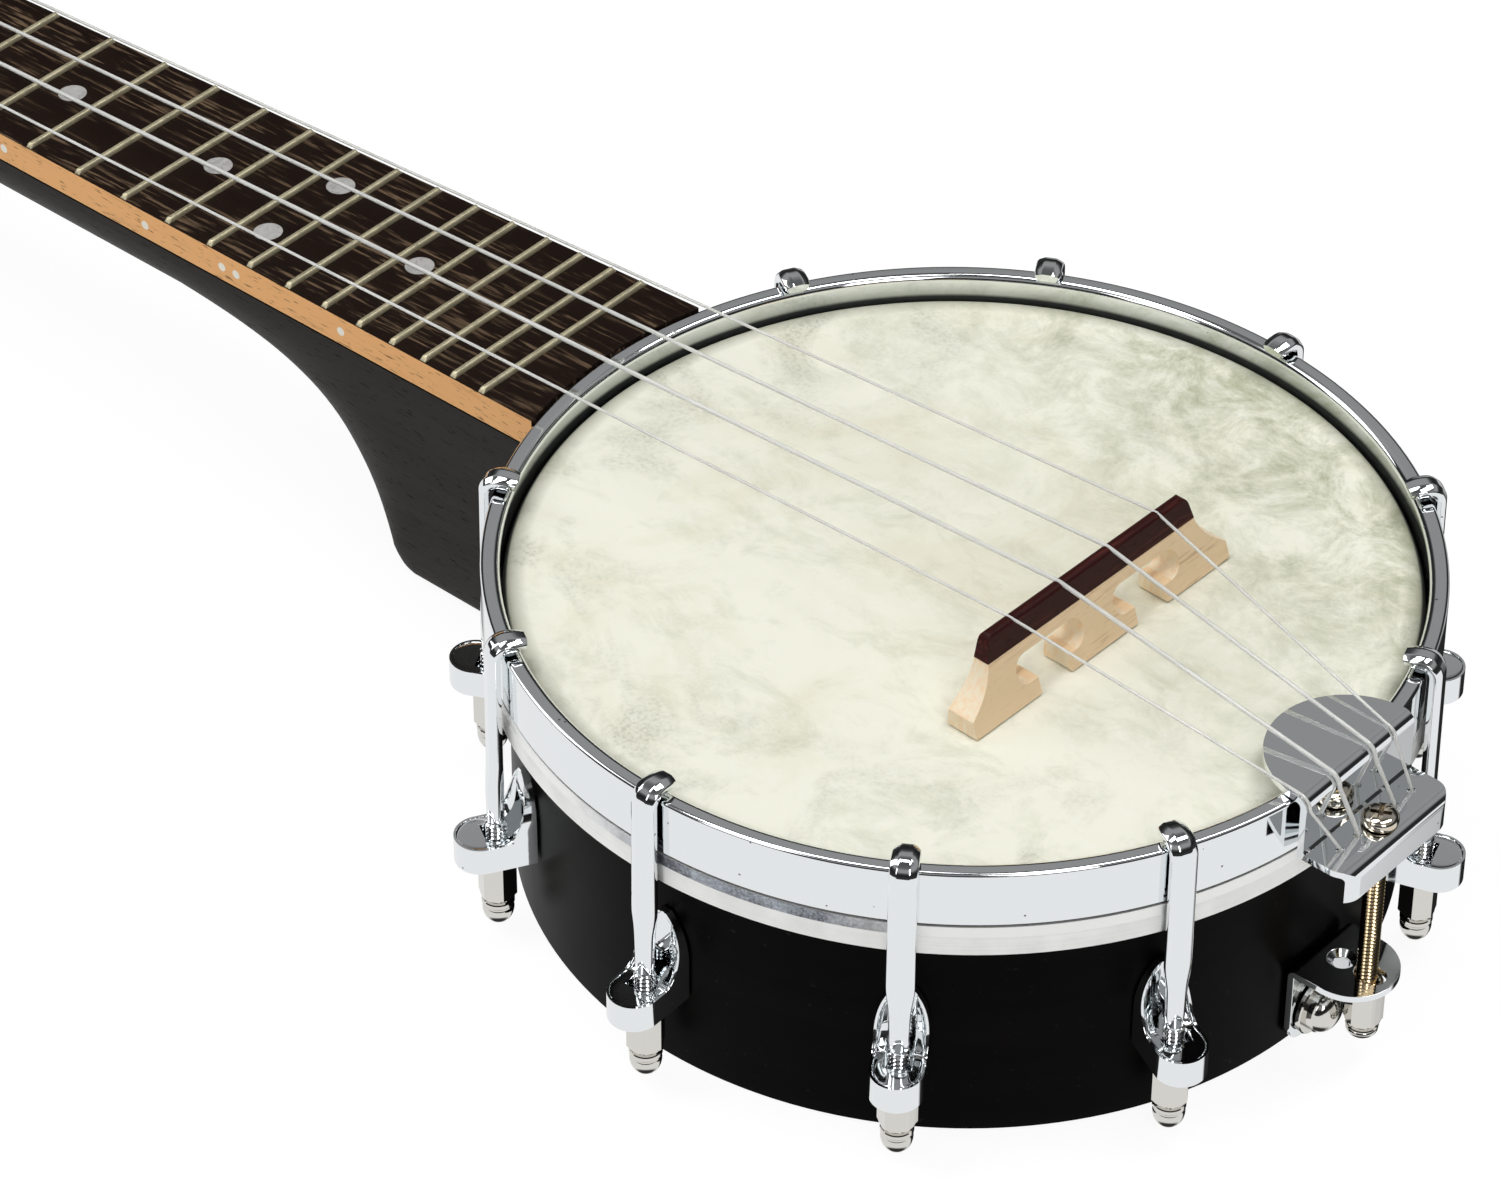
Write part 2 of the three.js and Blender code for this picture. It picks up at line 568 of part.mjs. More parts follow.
// Cast shoe: a round-fronted block hollowed like a scoop up to the rim, with its bolt and head
function shoeGeometry() {
  const half = SHOE_WIDTH / 2;
  const back = RIM_RADIUS + SEAT_GAP;
  const front = SHOE_NOSE_RADIUS + half;
  const plan = new THREE.Shape();
  plan.moveTo(back, -half);
  plan.lineTo(SHOE_NOSE_RADIUS, -half);
  plan.absarc(SHOE_NOSE_RADIUS, 0, half, -QUARTER_TURN, QUARTER_TURN, false);
  plan.lineTo(back, half);
  const scoop = [];
  const scoopReach = ROD_AXIS_RADIUS - back - SHOE_BACK_THICKNESS;
  const scoopSteps = 5;
  for (let i = 0; i <= scoopSteps; i += 1) {
    const angle = (QUARTER_TURN * i) / scoopSteps;
    const x = ROD_AXIS_RADIUS - scoopReach * Math.sin(angle);
    scoop.push([x, SHOE_TOP - (SHOE_TOP - SHOE_FLOOR) * Math.cos(angle)]);
  }
  const side = shapeOf([
    [back, SHOE_BOTTOM],
    [front + CUT_OVERRUN, SHOE_BOTTOM],
    [front + CUT_OVERRUN, SHOE_FLOOR],
    ...scoop,
    [back, SHOE_TOP],
  ]);
  const tip = SHOE_ARCH_TIP_WIDTH / 2;
  const shoulder = SHOE_TOP - tip;
  const arch = new THREE.Shape();
  arch.moveTo(-half, SHOE_BOTTOM);
  arch.lineTo(half, SHOE_BOTTOM);
  arch.lineTo(half, SHOE_ARCH_SPRING);
  arch.quadraticCurveTo(half, (SHOE_ARCH_SPRING + 2 * shoulder) / 3, tip, SHOE_TOP);
  arch.lineTo(-tip, SHOE_TOP);
  arch.quadraticCurveTo(-half, (SHOE_ARCH_SPRING + 2 * shoulder) / 3, -half, SHOE_ARCH_SPRING);
  const block = common(
    prismAlongZ(plan, SHOE_BOTTOM, SHOE_TOP, 8),
    prismAlongY(side, -SHOE_WIDTH, SHOE_WIDTH),
    prismAlongX(arch, back - CUT_OVERRUN, front + CUT_OVERRUN, 3),
  );
  const hole = rod(THREAD_RADIUS + RUNNING_GAP, SHOE_BOTTOM - CUT_OVERRUN, SHOE_TOP, 8);
  hole.translate(ROD_AXIS_RADIUS, 0, 0);
  const pocketFront = ROD_AXIS_RADIUS + SHOE_POCKET_WIDTH / 2;
  const pocket = box(
    pocketFront - SHOE_POCKET_LENGTH,
    pocketFront,
    -SHOE_POCKET_WIDTH / 2,
    SHOE_POCKET_WIDTH / 2,
    SHOE_POCKET_FLOOR,
    SHOE_TOP + CUT_OVERRUN,
  );
  const headFace = RIM_INNER_RADIUS - SHOE_BOLT_HEAD_RADIUS * Math.tan(HALF_TURN / RING_STEPS) - SEAT_GAP;
  const bolt = turnedAboutX(
    [
      [0, headFace - SHOE_BOLT_HEAD_THICKNESS],
      [SHOE_BOLT_HEAD_RADIUS, headFace - SHOE_BOLT_HEAD_THICKNESS],
      [SHOE_BOLT_HEAD_RADIUS, headFace],
      [SHOE_BOLT_RADIUS, headFace],
      [SHOE_BOLT_RADIUS, back + SHOE_BACK_THICKNESS / 2],
      [0, back + SHOE_BACK_THICKNESS / 2],
    ],
    8,
  ).translate(0, 0, SHOE_BOLT_HEIGHT);
  return joined(cut(block, hole, pocket), bolt);
}

// Nut with a hexagon above and a dome below, bored from its top
function domedNutGeometry(flats, hexHeight, height, boreRadius, boreDepth) {
  const corners = 12;
  const hexCorner = flats / 2 / Math.cos(HALF_TURN / 6);
  const ring = (radius, z, isHex) => {
    const points = [];
    for (let k = 0; k < corners; k += 1) {
      const angle = (FULL_TURN * k) / corners;
      const reach = isHex && k % 2 === 0 ? hexCorner : radius;
      points.push(new THREE.Vector3(reach * Math.cos(angle), reach * Math.sin(angle), z));
    }
    return points;
  };
  const dome = height - hexHeight;
  const round = flats / 2;
  return loft([
    ring(boreRadius, -boreDepth, false),
    ring(boreRadius, 0, false),
    ring(round, 0, true),
    ring(round, -hexHeight, true),
    ring(round * 0.86, -hexHeight, false),
    ring(round * 0.92, -hexHeight - dome * 0.35, false),
    ring(round * 0.76, -hexHeight - dome * 0.75, false),
    ring(round * 0.3, -height, false),
  ]);
}

function buildPot(pot) {
  addPiece(pot, "rim", rimGeometry(), "rim");
  addPiece(pot, "drum_head", headGeometry(), "skin");
  addPiece(pot, "flesh_hoop", fleshHoopGeometry(), "aluminium");
  addPiece(pot, "tension_hoop", tensionHoopGeometry(), "chrome");
  const hook = hookGeometry();
  const shoe = shoeGeometry();
  const nutTop = SHOE_BOTTOM - SEAT_GAP;
  const bore = THREAD_RADIUS + SEAT_GAP;
  const boreDepth = nutTop - THREAD_BOTTOM + SEAT_GAP;
  const nut = domedNutGeometry(HOOK_NUT_FLATS, HOOK_NUT_HEX_HEIGHT, HOOK_NUT_HEIGHT, bore, boreDepth);
  hookAngles.forEach((angle, i) => {
    const place = new THREE.Group();
    place.rotation.z = angle;
    pot.add(place);
    addPiece(place, `hook_${i + 1}`, hook, "chrome");
    addPiece(place, `bracket_shoe_${i + 1}`, shoe, "chrome");
    addPiece(place, `hook_nut_${i + 1}`, nut, "nickel").position.set(ROD_AXIS_RADIUS, 0, nutTop);
  });
}

// Tail

const stringHoleX = TAIL_SCREW_X - STRING_HOLE_FROM_SCREW;
const stringHoleY = [-STRING_HOLE_OUTER_Y, -STRING_HOLE_INNER_Y, STRING_HOLE_INNER_Y, STRING_HOLE_OUTER_Y];

// Bent sheet: a half-moon plate over the hoop, a web down outside it, a shelf and a front lip
function tailpieceGeometry() {
  const t = SHEET_THICKNESS;
  const inner = TAIL_WEB_INNER;
  const plateEnd = inner - TAILPIECE_TONGUE;
  const round = TAILPIECE_BEND_ROUND;
  const bend = arc(inner + t - round, TAIL_PLATE_TOP - round, round, QUARTER_TURN, 0, 3);
  const lipTop = arc(TAIL_LIP_OUTER - round, TAIL_SHELF_TOP - round, round, QUARTER_TURN, 0, 2);
  const profile = shapeOf([
    [plateEnd, TAIL_PLATE_TOP - t],
    [inner, TAIL_PLATE_TOP - t],
    [inner, TAIL_SHELF_TOP - t],
    [TAIL_LIP_OUTER - t, TAIL_SHELF_TOP - t],
    [TAIL_LIP_OUTER - t, TAIL_SHELF_TOP - TAILPIECE_LIP_DROP],
    [TAIL_LIP_OUTER, TAIL_SHELF_TOP - TAILPIECE_LIP_DROP],
    ...lipTop.reverse(),
    [inner + t, TAIL_SHELF_TOP],
    ...bend.reverse(),
    [plateEnd, TAIL_PLATE_TOP],
  ]);
  const half = TAILPIECE_WIDTH / 2;
  const corner = TAILPIECE_CORNER_ROUND;
  const plan = new THREE.Shape();
  plan.moveTo(inner, -half);
  plan.lineTo(TAIL_LIP_OUTER - corner, -half);
  plan.absarc(TAIL_LIP_OUTER - corner, -half + corner, corner, -QUARTER_TURN, 0, false);
  plan.absarc(TAIL_LIP_OUTER - corner, half - corner, corner, 0, QUARTER_TURN, false);
  plan.lineTo(inner, half);
  plan.absellipse(inner, 0, TAILPIECE_TONGUE, half, QUARTER_TURN, 3 * QUARTER_TURN, false, 0);
  const sheet = common(
    prismAlongY(profile, -half, half),
    prismAlongZ(plan, TAIL_SHELF_TOP - TAILPIECE_LIP_DROP - CUT_OVERRUN, TAIL_PLATE_TOP + CUT_OVERRUN, 10),
  );
  const low = TAIL_SHELF_TOP - t - CUT_OVERRUN;
  const high = TAIL_SHELF_TOP + CUT_OVERRUN;
  const holes = stringHoleY.map((y) => rod(STRING_HOLE_RADIUS, low, high, 6).translate(stringHoleX, y, 0));
  holes.push(rod(TAIL_SCREW_RADIUS + RUNNING_GAP, low, high, 10).translate(TAIL_SCREW_X, 0, 0));
  return cut(sheet, ...holes);
}

function tailScrewGeometry() {
  const seat = TAIL_SHELF_TOP + SEAT_GAP;
  const end = BRACKET_TOP - BRACKET_THICKNESS - TAIL_SCREW_PAST_BRACKET;
  const edge = TAIL_SCREW_HEAD_RADIUS * 0.35;
  const screw = turnedAboutZ(
    [
      [0, end],
      [TAIL_SCREW_RADIUS, end],
      [TAIL_SCREW_RADIUS, seat],
      [TAIL_SCREW_HEAD_RADIUS, seat],
      [TAIL_SCREW_HEAD_RADIUS, seat + TAIL_SCREW_HEAD_HEIGHT * 0.6],
      [TAIL_SCREW_HEAD_RADIUS - edge, seat + TAIL_SCREW_HEAD_HEIGHT],
      [0, seat + TAIL_SCREW_HEAD_HEIGHT],
    ],
    10,
  );
  const slotHalf = TAIL_SCREW_HEAD_RADIUS * 0.16;
  const slotReach = TAIL_SCREW_HEAD_RADIUS * 0.62;
  const floor = seat + TAIL_SCREW_HEAD_HEIGHT * 0.45;
  const top = seat + TAIL_SCREW_HEAD_HEIGHT + CUT_OVERRUN;
  const cross = [
    box(-slotReach, slotReach, -slotHalf, slotHalf, floor, top),
    box(-slotHalf, slotHalf, -slotReach, slotReach, floor, top),
  ];
  return cut(screw, ...cross).translate(TAIL_SCREW_X, 0, 0);
}

// Angle plate on the rim that the tailpiece is pulled down to
function tailBracketGeometry() {
  const half = BRACKET_WIDTH / 2;
  const front = BRACKET_BACK + BRACKET_REACH;
  const plan = new THREE.Shape();
  plan.moveTo(BRACKET_BACK, -half);
  plan.lineTo(front - half, -half);
  plan.absarc(front - half, 0, half, -QUARTER_TURN, QUARTER_TURN, false);
  plan.lineTo(BRACKET_BACK, half);
  const plate = prismAlongZ(plan, BRACKET_TOP - BRACKET_THICKNESS, BRACKET_TOP, 12);
  const corner = BRACKET_CORNER_ROUND;
  const legOutline = new THREE.Shape();
  legOutline.moveTo(-half, BRACKET_TOP);
  legOutline.lineTo(-half, BRACKET_FOOT + corner);
  legOutline.absarc(-half + corner, BRACKET_FOOT + corner, corner, HALF_TURN, 3 * QUARTER_TURN, false);
  legOutline.absarc(half - corner, BRACKET_FOOT + corner, corner, -QUARTER_TURN, 0, false);
  legOutline.lineTo(half, BRACKET_TOP);
  const leg = prismAlongX(legOutline, BRACKET_BACK, BRACKET_BACK + BRACKET_THICKNESS, 3);
  const low = BRACKET_TOP - BRACKET_THICKNESS - CUT_OVERRUN;
  const high = BRACKET_TOP + CUT_OVERRUN;
  const rodHole = ROD_RADIUS + RUNNING_GAP;
  const screwHole = TAIL_SCREW_RADIUS + RUNNING_GAP;
  const slot = new THREE.Shape();
  slot.absarc(TAIL_SCREW_X + BRACKET_SLOT_LENGTH, 0, screwHole, -QUARTER_TURN, QUARTER_TURN, false);
  slot.absarc(TAIL_SCREW_X, 0, screwHole, QUARTER_TURN, 3 * QUARTER_TURN, false);
  const back = BRACKET_BACK - CUT_OVERRUN;
  const rodWay = turnedAboutX([[0, back], [rodHole, back], [rodHole, front], [0, front]], 12);
  const mouth = BRACKET_SPARE_HOLE_RADIUS + BRACKET_SPARE_HOLE_SINK;
  const sinkBottom = BRACKET_TOP - BRACKET_SPARE_HOLE_SINK;
  const spareHole = turnedAboutZ(
    [
      [0, low],
      [BRACKET_SPARE_HOLE_RADIUS, low],
      [BRACKET_SPARE_HOLE_RADIUS, sinkBottom],
      [mouth, BRACKET_TOP],
      [mouth, high],
      [0, high],
    ],
    10,
  );
  return cut(
    joined(plate, leg),
    prismAlongZ(slot, low, high, 5),
    rodWay.translate(0, ROD_OFFSET, ROD_HEIGHT),
    spareHole.translate(BRACKET_BACK + BRACKET_SPARE_HOLE_REACH, 0, 0),
  );
}

// Rod from the heel to the tail, with its washers, its inner nuts and the domed nut outside
function coordinatorRodGeometry() {
  const flat = Math.tan(HALF_TURN / RING_STEPS) * ROD_WASHER_RADIUS;
  const insideFace = RIM_INNER_RADIUS - flat - SEAT_GAP;
  const collar = (face, direction) => [
    [ROD_RADIUS, face],
    [ROD_WASHER_RADIUS, face],
    [ROD_WASHER_RADIUS, face + direction * ROD_WASHER_THICKNESS],
    [ROD_NUT_RADIUS, face + direction * ROD_WASHER_THICKNESS],
    [ROD_NUT_RADIUS, face + direction * (ROD_WASHER_THICKNESS + ROD_NUT_THICKNESS)],
    [ROD_RADIUS, face + direction * (ROD_WASHER_THICKNESS + ROD_NUT_THICKNESS)],
  ];
  const heelEnd = -RIM_RADIUS - ROD_IN_HEEL;
  const outsideFace = BRACKET_BACK + BRACKET_THICKNESS + SEAT_GAP;
  const outside = collar(outsideFace, 1).slice(0, -1);
  const domeStart = outside[outside.length - 1][1];
  return turnedAboutX(
    [
      [0, heelEnd],
      [ROD_RADIUS, heelEnd],
      ...collar(-insideFace, 1),
      ...collar(insideFace, -1).reverse(),
      ...outside,
      [ROD_NUT_RADIUS * 0.84, domeStart + ROD_DOME_HEIGHT * 0.4],
      [ROD_NUT_RADIUS * 0.5, domeStart + ROD_DOME_HEIGHT * 0.85],
      [0, domeStart + ROD_DOME_HEIGHT],
    ],
    12,
  ).translate(0, ROD_OFFSET, ROD_HEIGHT);
}

function buildTail(pot) {
  addPiece(pot, "tailpiece", tailpieceGeometry(), "chrome");
  addPiece(pot, "tailpiece_screw", tailScrewGeometry(), "brass");
  const nutTop = BRACKET_TOP - BRACKET_THICKNESS - SEAT_GAP;
  const bore = TAIL_SCREW_RADIUS + SEAT_GAP;
  const boreDepth = TAIL_SCREW_PAST_BRACKET;
  const nut = domedNutGeometry(TAIL_NUT_FLATS, TAIL_NUT_HEX_HEIGHT, TAIL_NUT_HEIGHT, bore, boreDepth);
  addPiece(pot, "tailpiece_nut", nut, "nickel").position.set(TAIL_SCREW_X, 0, nutTop);
  addPiece(pot, "tail_bracket", tailBracketGeometry(), "chrome");
  addPiece(pot, "coordinator_rod", coordinatorRodGeometry(), "nickel");
}

// Bridge

const bridgeFoot = SKIN_TOP + SEAT_GAP;
const bridgeCapSeat = BRIDGE_TOP - BRIDGE_CAP_HEIGHT;
const bridgeBack = -BRIDGE_BACK_SETBACK;
const bridgeFront = bridgeBack + BRIDGE_FOOT_THICKNESS;
const bridgeCrossing = bridgeBack + BRIDGE_TOP_THICKNESS / 2;
const stringBridgeY = [-1.5, -0.5, 0.5, 1.5].map((share) => share * STRING_BRIDGE_SPACING);

// The bridge is built about the line of the scale, with x = 0 where the strings' length ends

function bridgeBaseGeometry() {
  const half = BRIDGE_LENGTH / 2;
  const capHalf = BRIDGE_CAP_LENGTH / 2;
  const flare = half - capHalf;
  const toe = bridgeFoot + BRIDGE_TOE_HEIGHT;
  const top = bridgeCapSeat - SEAT_GAP;
  const elbow = toe + (top - toe) * 0.45;
  const front = new THREE.Shape();
  front.moveTo(-half, bridgeFoot);
  front.lineTo(half, bridgeFoot);
  front.lineTo(half, toe);
  front.quadraticCurveTo(capHalf + flare * 0.15, elbow, capHalf, top);
  front.lineTo(-capHalf, top);
  front.quadraticCurveTo(-capHalf - flare * 0.15, elbow, -half, toe);
  const side = shapeOf([
    [bridgeBack, bridgeFoot],
    [bridgeFront, bridgeFoot],
    [bridgeBack + BRIDGE_SEAM_THICKNESS, top],
    [bridgeBack, top],
  ]);
  const low = bridgeBack - CUT_OVERRUN;
  const high = bridgeFront + CUT_OVERRUN;
  const block = common(prismAlongX(front, low, high, 4), prismAlongY(side, -half, half));
  const cutters = [];
  for (const end of [-1, 1]) {
    const centre = end * BRIDGE_ARCH_CENTRE;
    const reach = BRIDGE_ARCH_HALF_LENGTH - BRIDGE_ARCH_RADIUS;
    const level = toe + BRIDGE_ARCH_RADIUS;
    const arch = new THREE.Shape();
    arch.absarc(centre + reach, level, BRIDGE_ARCH_RADIUS, -QUARTER_TURN, QUARTER_TURN, false);
    arch.absarc(centre - reach, level, BRIDGE_ARCH_RADIUS, QUARTER_TURN, 3 * QUARTER_TURN, false);
    cutters.push(prismAlongX(arch, low, high, 6));
    const mouthLow = centre - BRIDGE_MOUTH_HALF;
    const mouthHigh = centre + BRIDGE_MOUTH_HALF;
    cutters.push(box(low, high, mouthLow, mouthHigh, bridgeFoot - CUT_OVERRUN, level));
  }
  return cut(block, ...cutters);
}

function bridgeCapGeometry() {
  const half = BRIDGE_CAP_LENGTH / 2;
  const round = BRIDGE_CAP_HEIGHT * 0.45;
  const front = new THREE.Shape();
  front.moveTo(-half, bridgeCapSeat);
  front.lineTo(half, bridgeCapSeat);
  front.lineTo(half - round * 0.3, BRIDGE_TOP - round);
  front.quadraticCurveTo(half - round * 0.5, BRIDGE_TOP, half - round * 1.4, BRIDGE_TOP);
  front.lineTo(-half + round * 1.4, BRIDGE_TOP);
  front.quadraticCurveTo(-half + round * 0.5, BRIDGE_TOP, -half + round * 0.3, BRIDGE_TOP - round);
  const shoulder = BRIDGE_TOP - round * 0.4;
  const side = shapeOf([
    [bridgeBack, bridgeCapSeat],
    [bridgeBack + BRIDGE_SEAM_THICKNESS, bridgeCapSeat],
    [bridgeBack + BRIDGE_TOP_THICKNESS, shoulder],
    [bridgeBack + BRIDGE_TOP_THICKNESS * 0.75, BRIDGE_TOP],
    [bridgeBack + BRIDGE_TOP_THICKNESS * 0.25, BRIDGE_TOP],
    [bridgeBack, shoulder],
  ]);
  const low = bridgeBack - CUT_OVERRUN;
  const high = bridgeFront + CUT_OVERRUN;
  const block = common(prismAlongX(front, low, high, 3), prismAlongY(side, -half, half));
  const notches = stringBridgeY.map((y, i) => {
    const reach = STRING_RADII[i] + SEAT_GAP;
    const floor = BRIDGE_TOP - STRING_BELOW_BRIDGE_TOP - reach - SEAT_GAP;
    return box(low, high, y - reach, y + reach, floor, BRIDGE_TOP + CUT_OVERRUN);
  });
  return cut(block, ...notches);
}

function buildBridge(pot) {
  const bridge = new THREE.Group();
  bridge.position.x = BRIDGE_LINE;
  bridge.rotation.z = -BRIDGE_SKEW_ANGLE;
  pot.add(bridge);
  addPiece(bridge, "bridge_base", bridgeBaseGeometry(), "maple");
  addPiece(bridge, "bridge_cap", bridgeCapGeometry(), "cap");
}

// Neck: its frame, then points of the neck given in the pot's frame

const neckMatrix = new THREE.Matrix4().makeRotationY(-NECK_TILT).setPosition(NECK_PIVOT, 0, BOARD_TOP);
const headMatrix = neckMatrix
  .clone()
  .multiply(
    new THREE.Matrix4()
      .makeRotationY(-HEAD_ANGLE)
      .setPosition(HEAD_START - NECK_PIVOT, 0, -HEAD_FACE_DROP),
  );

function neckPoint(x, y, z) {
  return new THREE.Vector3(x - NECK_PIVOT, y, z).applyMatrix4(neckMatrix);
}

function boardHalfWidth(x) {
  const share = (x - NUT_LINE) / (-HOOP_OUTER_RADIUS - NUT_LINE);
  return (NUT_WIDTH + (BOARD_END_WIDTH - NUT_WIDTH) * share) / 2;
}

// The space that the pot takes out of the heel and the board
function potCutter() {
  const step = FLESH_HOOP_BOTTOM - SEAT_GAP;
  const high = BOARD_TOP + CUT_OVERRUN;
  const lowRadius = RIM_RADIUS + SEAT_GAP;
  const highRadius = HOOP_OUTER_RADIUS + SEAT_GAP;
  return turnedAboutZ(
    [
      [0, -CUT_OVERRUN],
      [lowRadius, -CUT_OVERRUN],
      [lowRadius, step],
      [highRadius, step],
      [highRadius, high],
      [0, high],
    ],
    RING_STEPS,
  );
}

// One section of the neck, in the slanting plane through its top edges and a point on its back.
// boxShare goes from 1, a half ellipse, towards 0, a box; footShare narrows it towards the back.
function neckSection(topX, backPoint, footShare, boxShare, topDrop) {
  const quarterSteps = 6;
  const half = boardHalfWidth(topX);
  const top = neckPoint(topX, 0, NECK_TOP - topDrop);
  const ring = [];
  for (let i = -quarterSteps; i <= quarterSteps; i += 1) {
    const angle = (QUARTER_TURN * (quarterSteps - Math.abs(i))) / quarterSteps;
    const depthShare = Math.sin(angle) ** boxShare;
    const widthShare = Math.abs(i) === 0 ? 0 : Math.cos(angle) ** boxShare;
    const point = top.clone().lerp(backPoint, depthShare);
    point.y = Math.sign(i) * half * widthShare * (1 + (footShare - 1) * depthShare);
    ring.push(point);
  }
  return ring;
}

function neckShaftGeometry() {
  const foot = -RIM_RADIUS - HEEL_FOOT_LENGTH;
  const turn = -RIM_RADIUS - HEEL_TURN;
  const footShare = HEEL_FOOT_WIDTH / BOARD_END_WIDTH;
  const rings = [];
  const backAt = (x, depth) => neckPoint(x, 0, NECK_TOP - depth);
  const headInset = HEAD_THICKNESS * 0.25;
  const tongueEnd = HEAD_START - HEAD_THICKNESS;
  const tongueMiddle = HEAD_START - HEAD_THICKNESS / 2;
  rings.push(neckSection(tongueEnd, backAt(tongueEnd, headInset * 2), 1, 1, headInset));
  rings.push(neckSection(tongueMiddle, backAt(tongueMiddle, HEAD_THICKNESS), 1, 1, headInset / 2));
  rings.push(neckSection(HEAD_START, backAt(HEAD_START, NECK_DEPTH_AT_NUT), 1, 1, 0));
  const shaftSteps = 3;
  for (let i = 1; i <= shaftSteps; i += 1) {
    const share = i / shaftSteps;
    const x = HEAD_START + (turn - HEAD_START) * share;
    const depth = NECK_DEPTH_AT_NUT + (NECK_DEPTH - NECK_DEPTH_AT_NUT) * share;
    rings.push(neckSection(x, backAt(x, depth), 1, 1, 0));
  }
  // The heel's front falls from the back of the neck to the foot: shares of its length and height
  const fallShares = [
    [0.14, 0.985], [0.3, 0.955], [0.46, 0.9], [0.6, 0.81], [0.71, 0.69],
    [0.8, 0.54], [0.88, 0.37], [0.95, 0.18], [0.995, 0.04], [1.04, 0],
  ];
  const fallTop = backAt(turn, NECK_DEPTH).z;
  const topReachShare = 0.62;
  for (const [lengthShare, heightShare] of fallShares) {
    const backX = turn + (foot - turn) * lengthShare;
    const fall = 1 - heightShare;
    const topX = backX + (foot - turn) * topReachShare * fall;
    const back = new THREE.Vector3(backX, 0, fallTop * heightShare);
    rings.push(neckSection(topX, back, 1 + (footShare - 1) * fall, 1 - 0.88 * Math.min(1, fall * 1.15), 0));
  }
  const inside = -RIM_RADIUS + CUT_OVERRUN;
  rings.push(neckSection(inside, new THREE.Vector3(inside, 0, 0), footShare, 0.12, 0));
  return loft(rings);
}

function headOutline() {
  const shape = new THREE.Shape();
  const start = NUT_WIDTH / 2;
  const widest = HEAD_WIDEST / 2;
  const halfShares = [
    [0.03, 0.56], [0.1, 0.68], [0.18, 0.84], [0.27, 0.93], [0.42, 0.97], [0.62, 0.98],
    [0.8, 1], [0.9, 1], [0.955, 0.9], [0.985, 0.6], [1, 0],
  ];
  const points = halfShares.map(([lengthShare, widthShare]) => {
    return [-HEAD_LENGTH * lengthShare, widest * widthShare];
  });
  const mirrored = points.slice(0, -1).reverse().map(([x, y]) => [x, -y]);
  shape.setFromPoints(
    [[0, start], ...points, ...mirrored, [0, -start]].map(([x, y]) => new THREE.Vector2(x, y)),
  );
  return shape;
}

const postPlaces = [
  { x: -POST_NEAR, side: -1 },
  { x: -POST_FAR, side: -1 },
  { x: -POST_FAR, side: 1 },
  { x: -POST_NEAR, side: 1 },
];

function neckGeometry() {
  const head = prismAlongZ(headOutline(), -HEAD_THICKNESS, 0).applyMatrix4(headMatrix);
  const holeRadius = BUSHING_RADIUS + SEAT_GAP;
  const holes = postPlaces.map(({ x, side }) =>
    rod(holeRadius, -HEAD_THICKNESS - CUT_OVERRUN, CUT_OVERRUN, 12)
      .translate(x, side * POST_SIDE, 0)
      .applyMatrix4(headMatrix),
  );
  const socketEnd = -RIM_RADIUS - ROD_IN_HEEL - SEAT_GAP;
  const socketRadius = ROD_RADIUS + RUNNING_GAP;
  const socket = turnedAboutX(
    [[0, socketEnd], [socketRadius, socketEnd], [socketRadius, -RIM_INNER_RADIUS], [0, -RIM_INNER_RADIUS]],
    12,
  ).translate(0, ROD_OFFSET, ROD_HEIGHT);
  return cut(joined(neckShaftGeometry(), head), potCutter(), socket, ...holes);
}

// Fingerboard with its frets, its end hollowed to follow the hoop
function fingerboardGeometry() {
  const start = NUT_LINE + SEAT_GAP;
  const end = -HOOP_OUTER_RADIUS + CUT_OVERRUN * 2;
  const outline = shapeOf([
    [start - NECK_PIVOT, -boardHalfWidth(start)],
    [end - NECK_PIVOT, -boardHalfWidth(end)],
    [end - NECK_PIVOT, boardHalfWidth(end)],
    [start - NECK_PIVOT, boardHalfWidth(start)],
  ]);
  const board = prismAlongZ(outline, -BOARD_THICKNESS, 0);
  const frets = [];
  for (let n = 1; n <= FRET_COUNT; n += 1) {
    const x = NUT_LINE + SCALE_LENGTH * (1 - 2 ** (-n / 12));
    const half = boardHalfWidth(x) - FRET_END_INSET;
    const w = FRET_WIDTH / 2;
    const section = shapeOf([
      [-w, -FRET_HEIGHT],
      [w, -FRET_HEIGHT],
      [w, FRET_HEIGHT * 0.35],
      [w * 0.45, FRET_HEIGHT],
      [-w * 0.45, FRET_HEIGHT],
      [-w, FRET_HEIGHT * 0.35],
    ]);
    frets.push(prismAlongY(section, -half, half).translate(x - NECK_PIVOT, 0, 0));
  }
  return cut(joined(board, ...frets).applyMatrix4(neckMatrix), potCutter());
}

const stringNutY = [-1.5, -0.5, 0.5, 1.5].map((share) => share * STRING_NUT_SPACING + STRING_NUT_OFFSET);

function stringNutGeometry() {
  const half = NUT_WIDTH / 2;
  const back = HEAD_START - NECK_PIVOT + SEAT_GAP;
  const front = NUT_LINE - NECK_PIVOT;
  const side = shapeOf([
    [back, NECK_TOP + SEAT_GAP],
    [front, NECK_TOP + SEAT_GAP],
    [front, NUT_RISE],
    [(back + front) / 2, NUT_RISE],
    [back, NUT_RISE * 0.3],
  ]);
  const slots = stringNutY.map((y, i) => {
    const reach = STRING_RADII[i] + SEAT_GAP;
    const floor = STRING_NUT_HEIGHT - reach - SEAT_GAP * 2;
    return box(back - CUT_OVERRUN, front + CUT_OVERRUN, y - reach, y + reach, floor, NUT_RISE + CUT_OVERRUN);
  });
  return cut(prismAlongY(side, -half, half), ...slots);
}

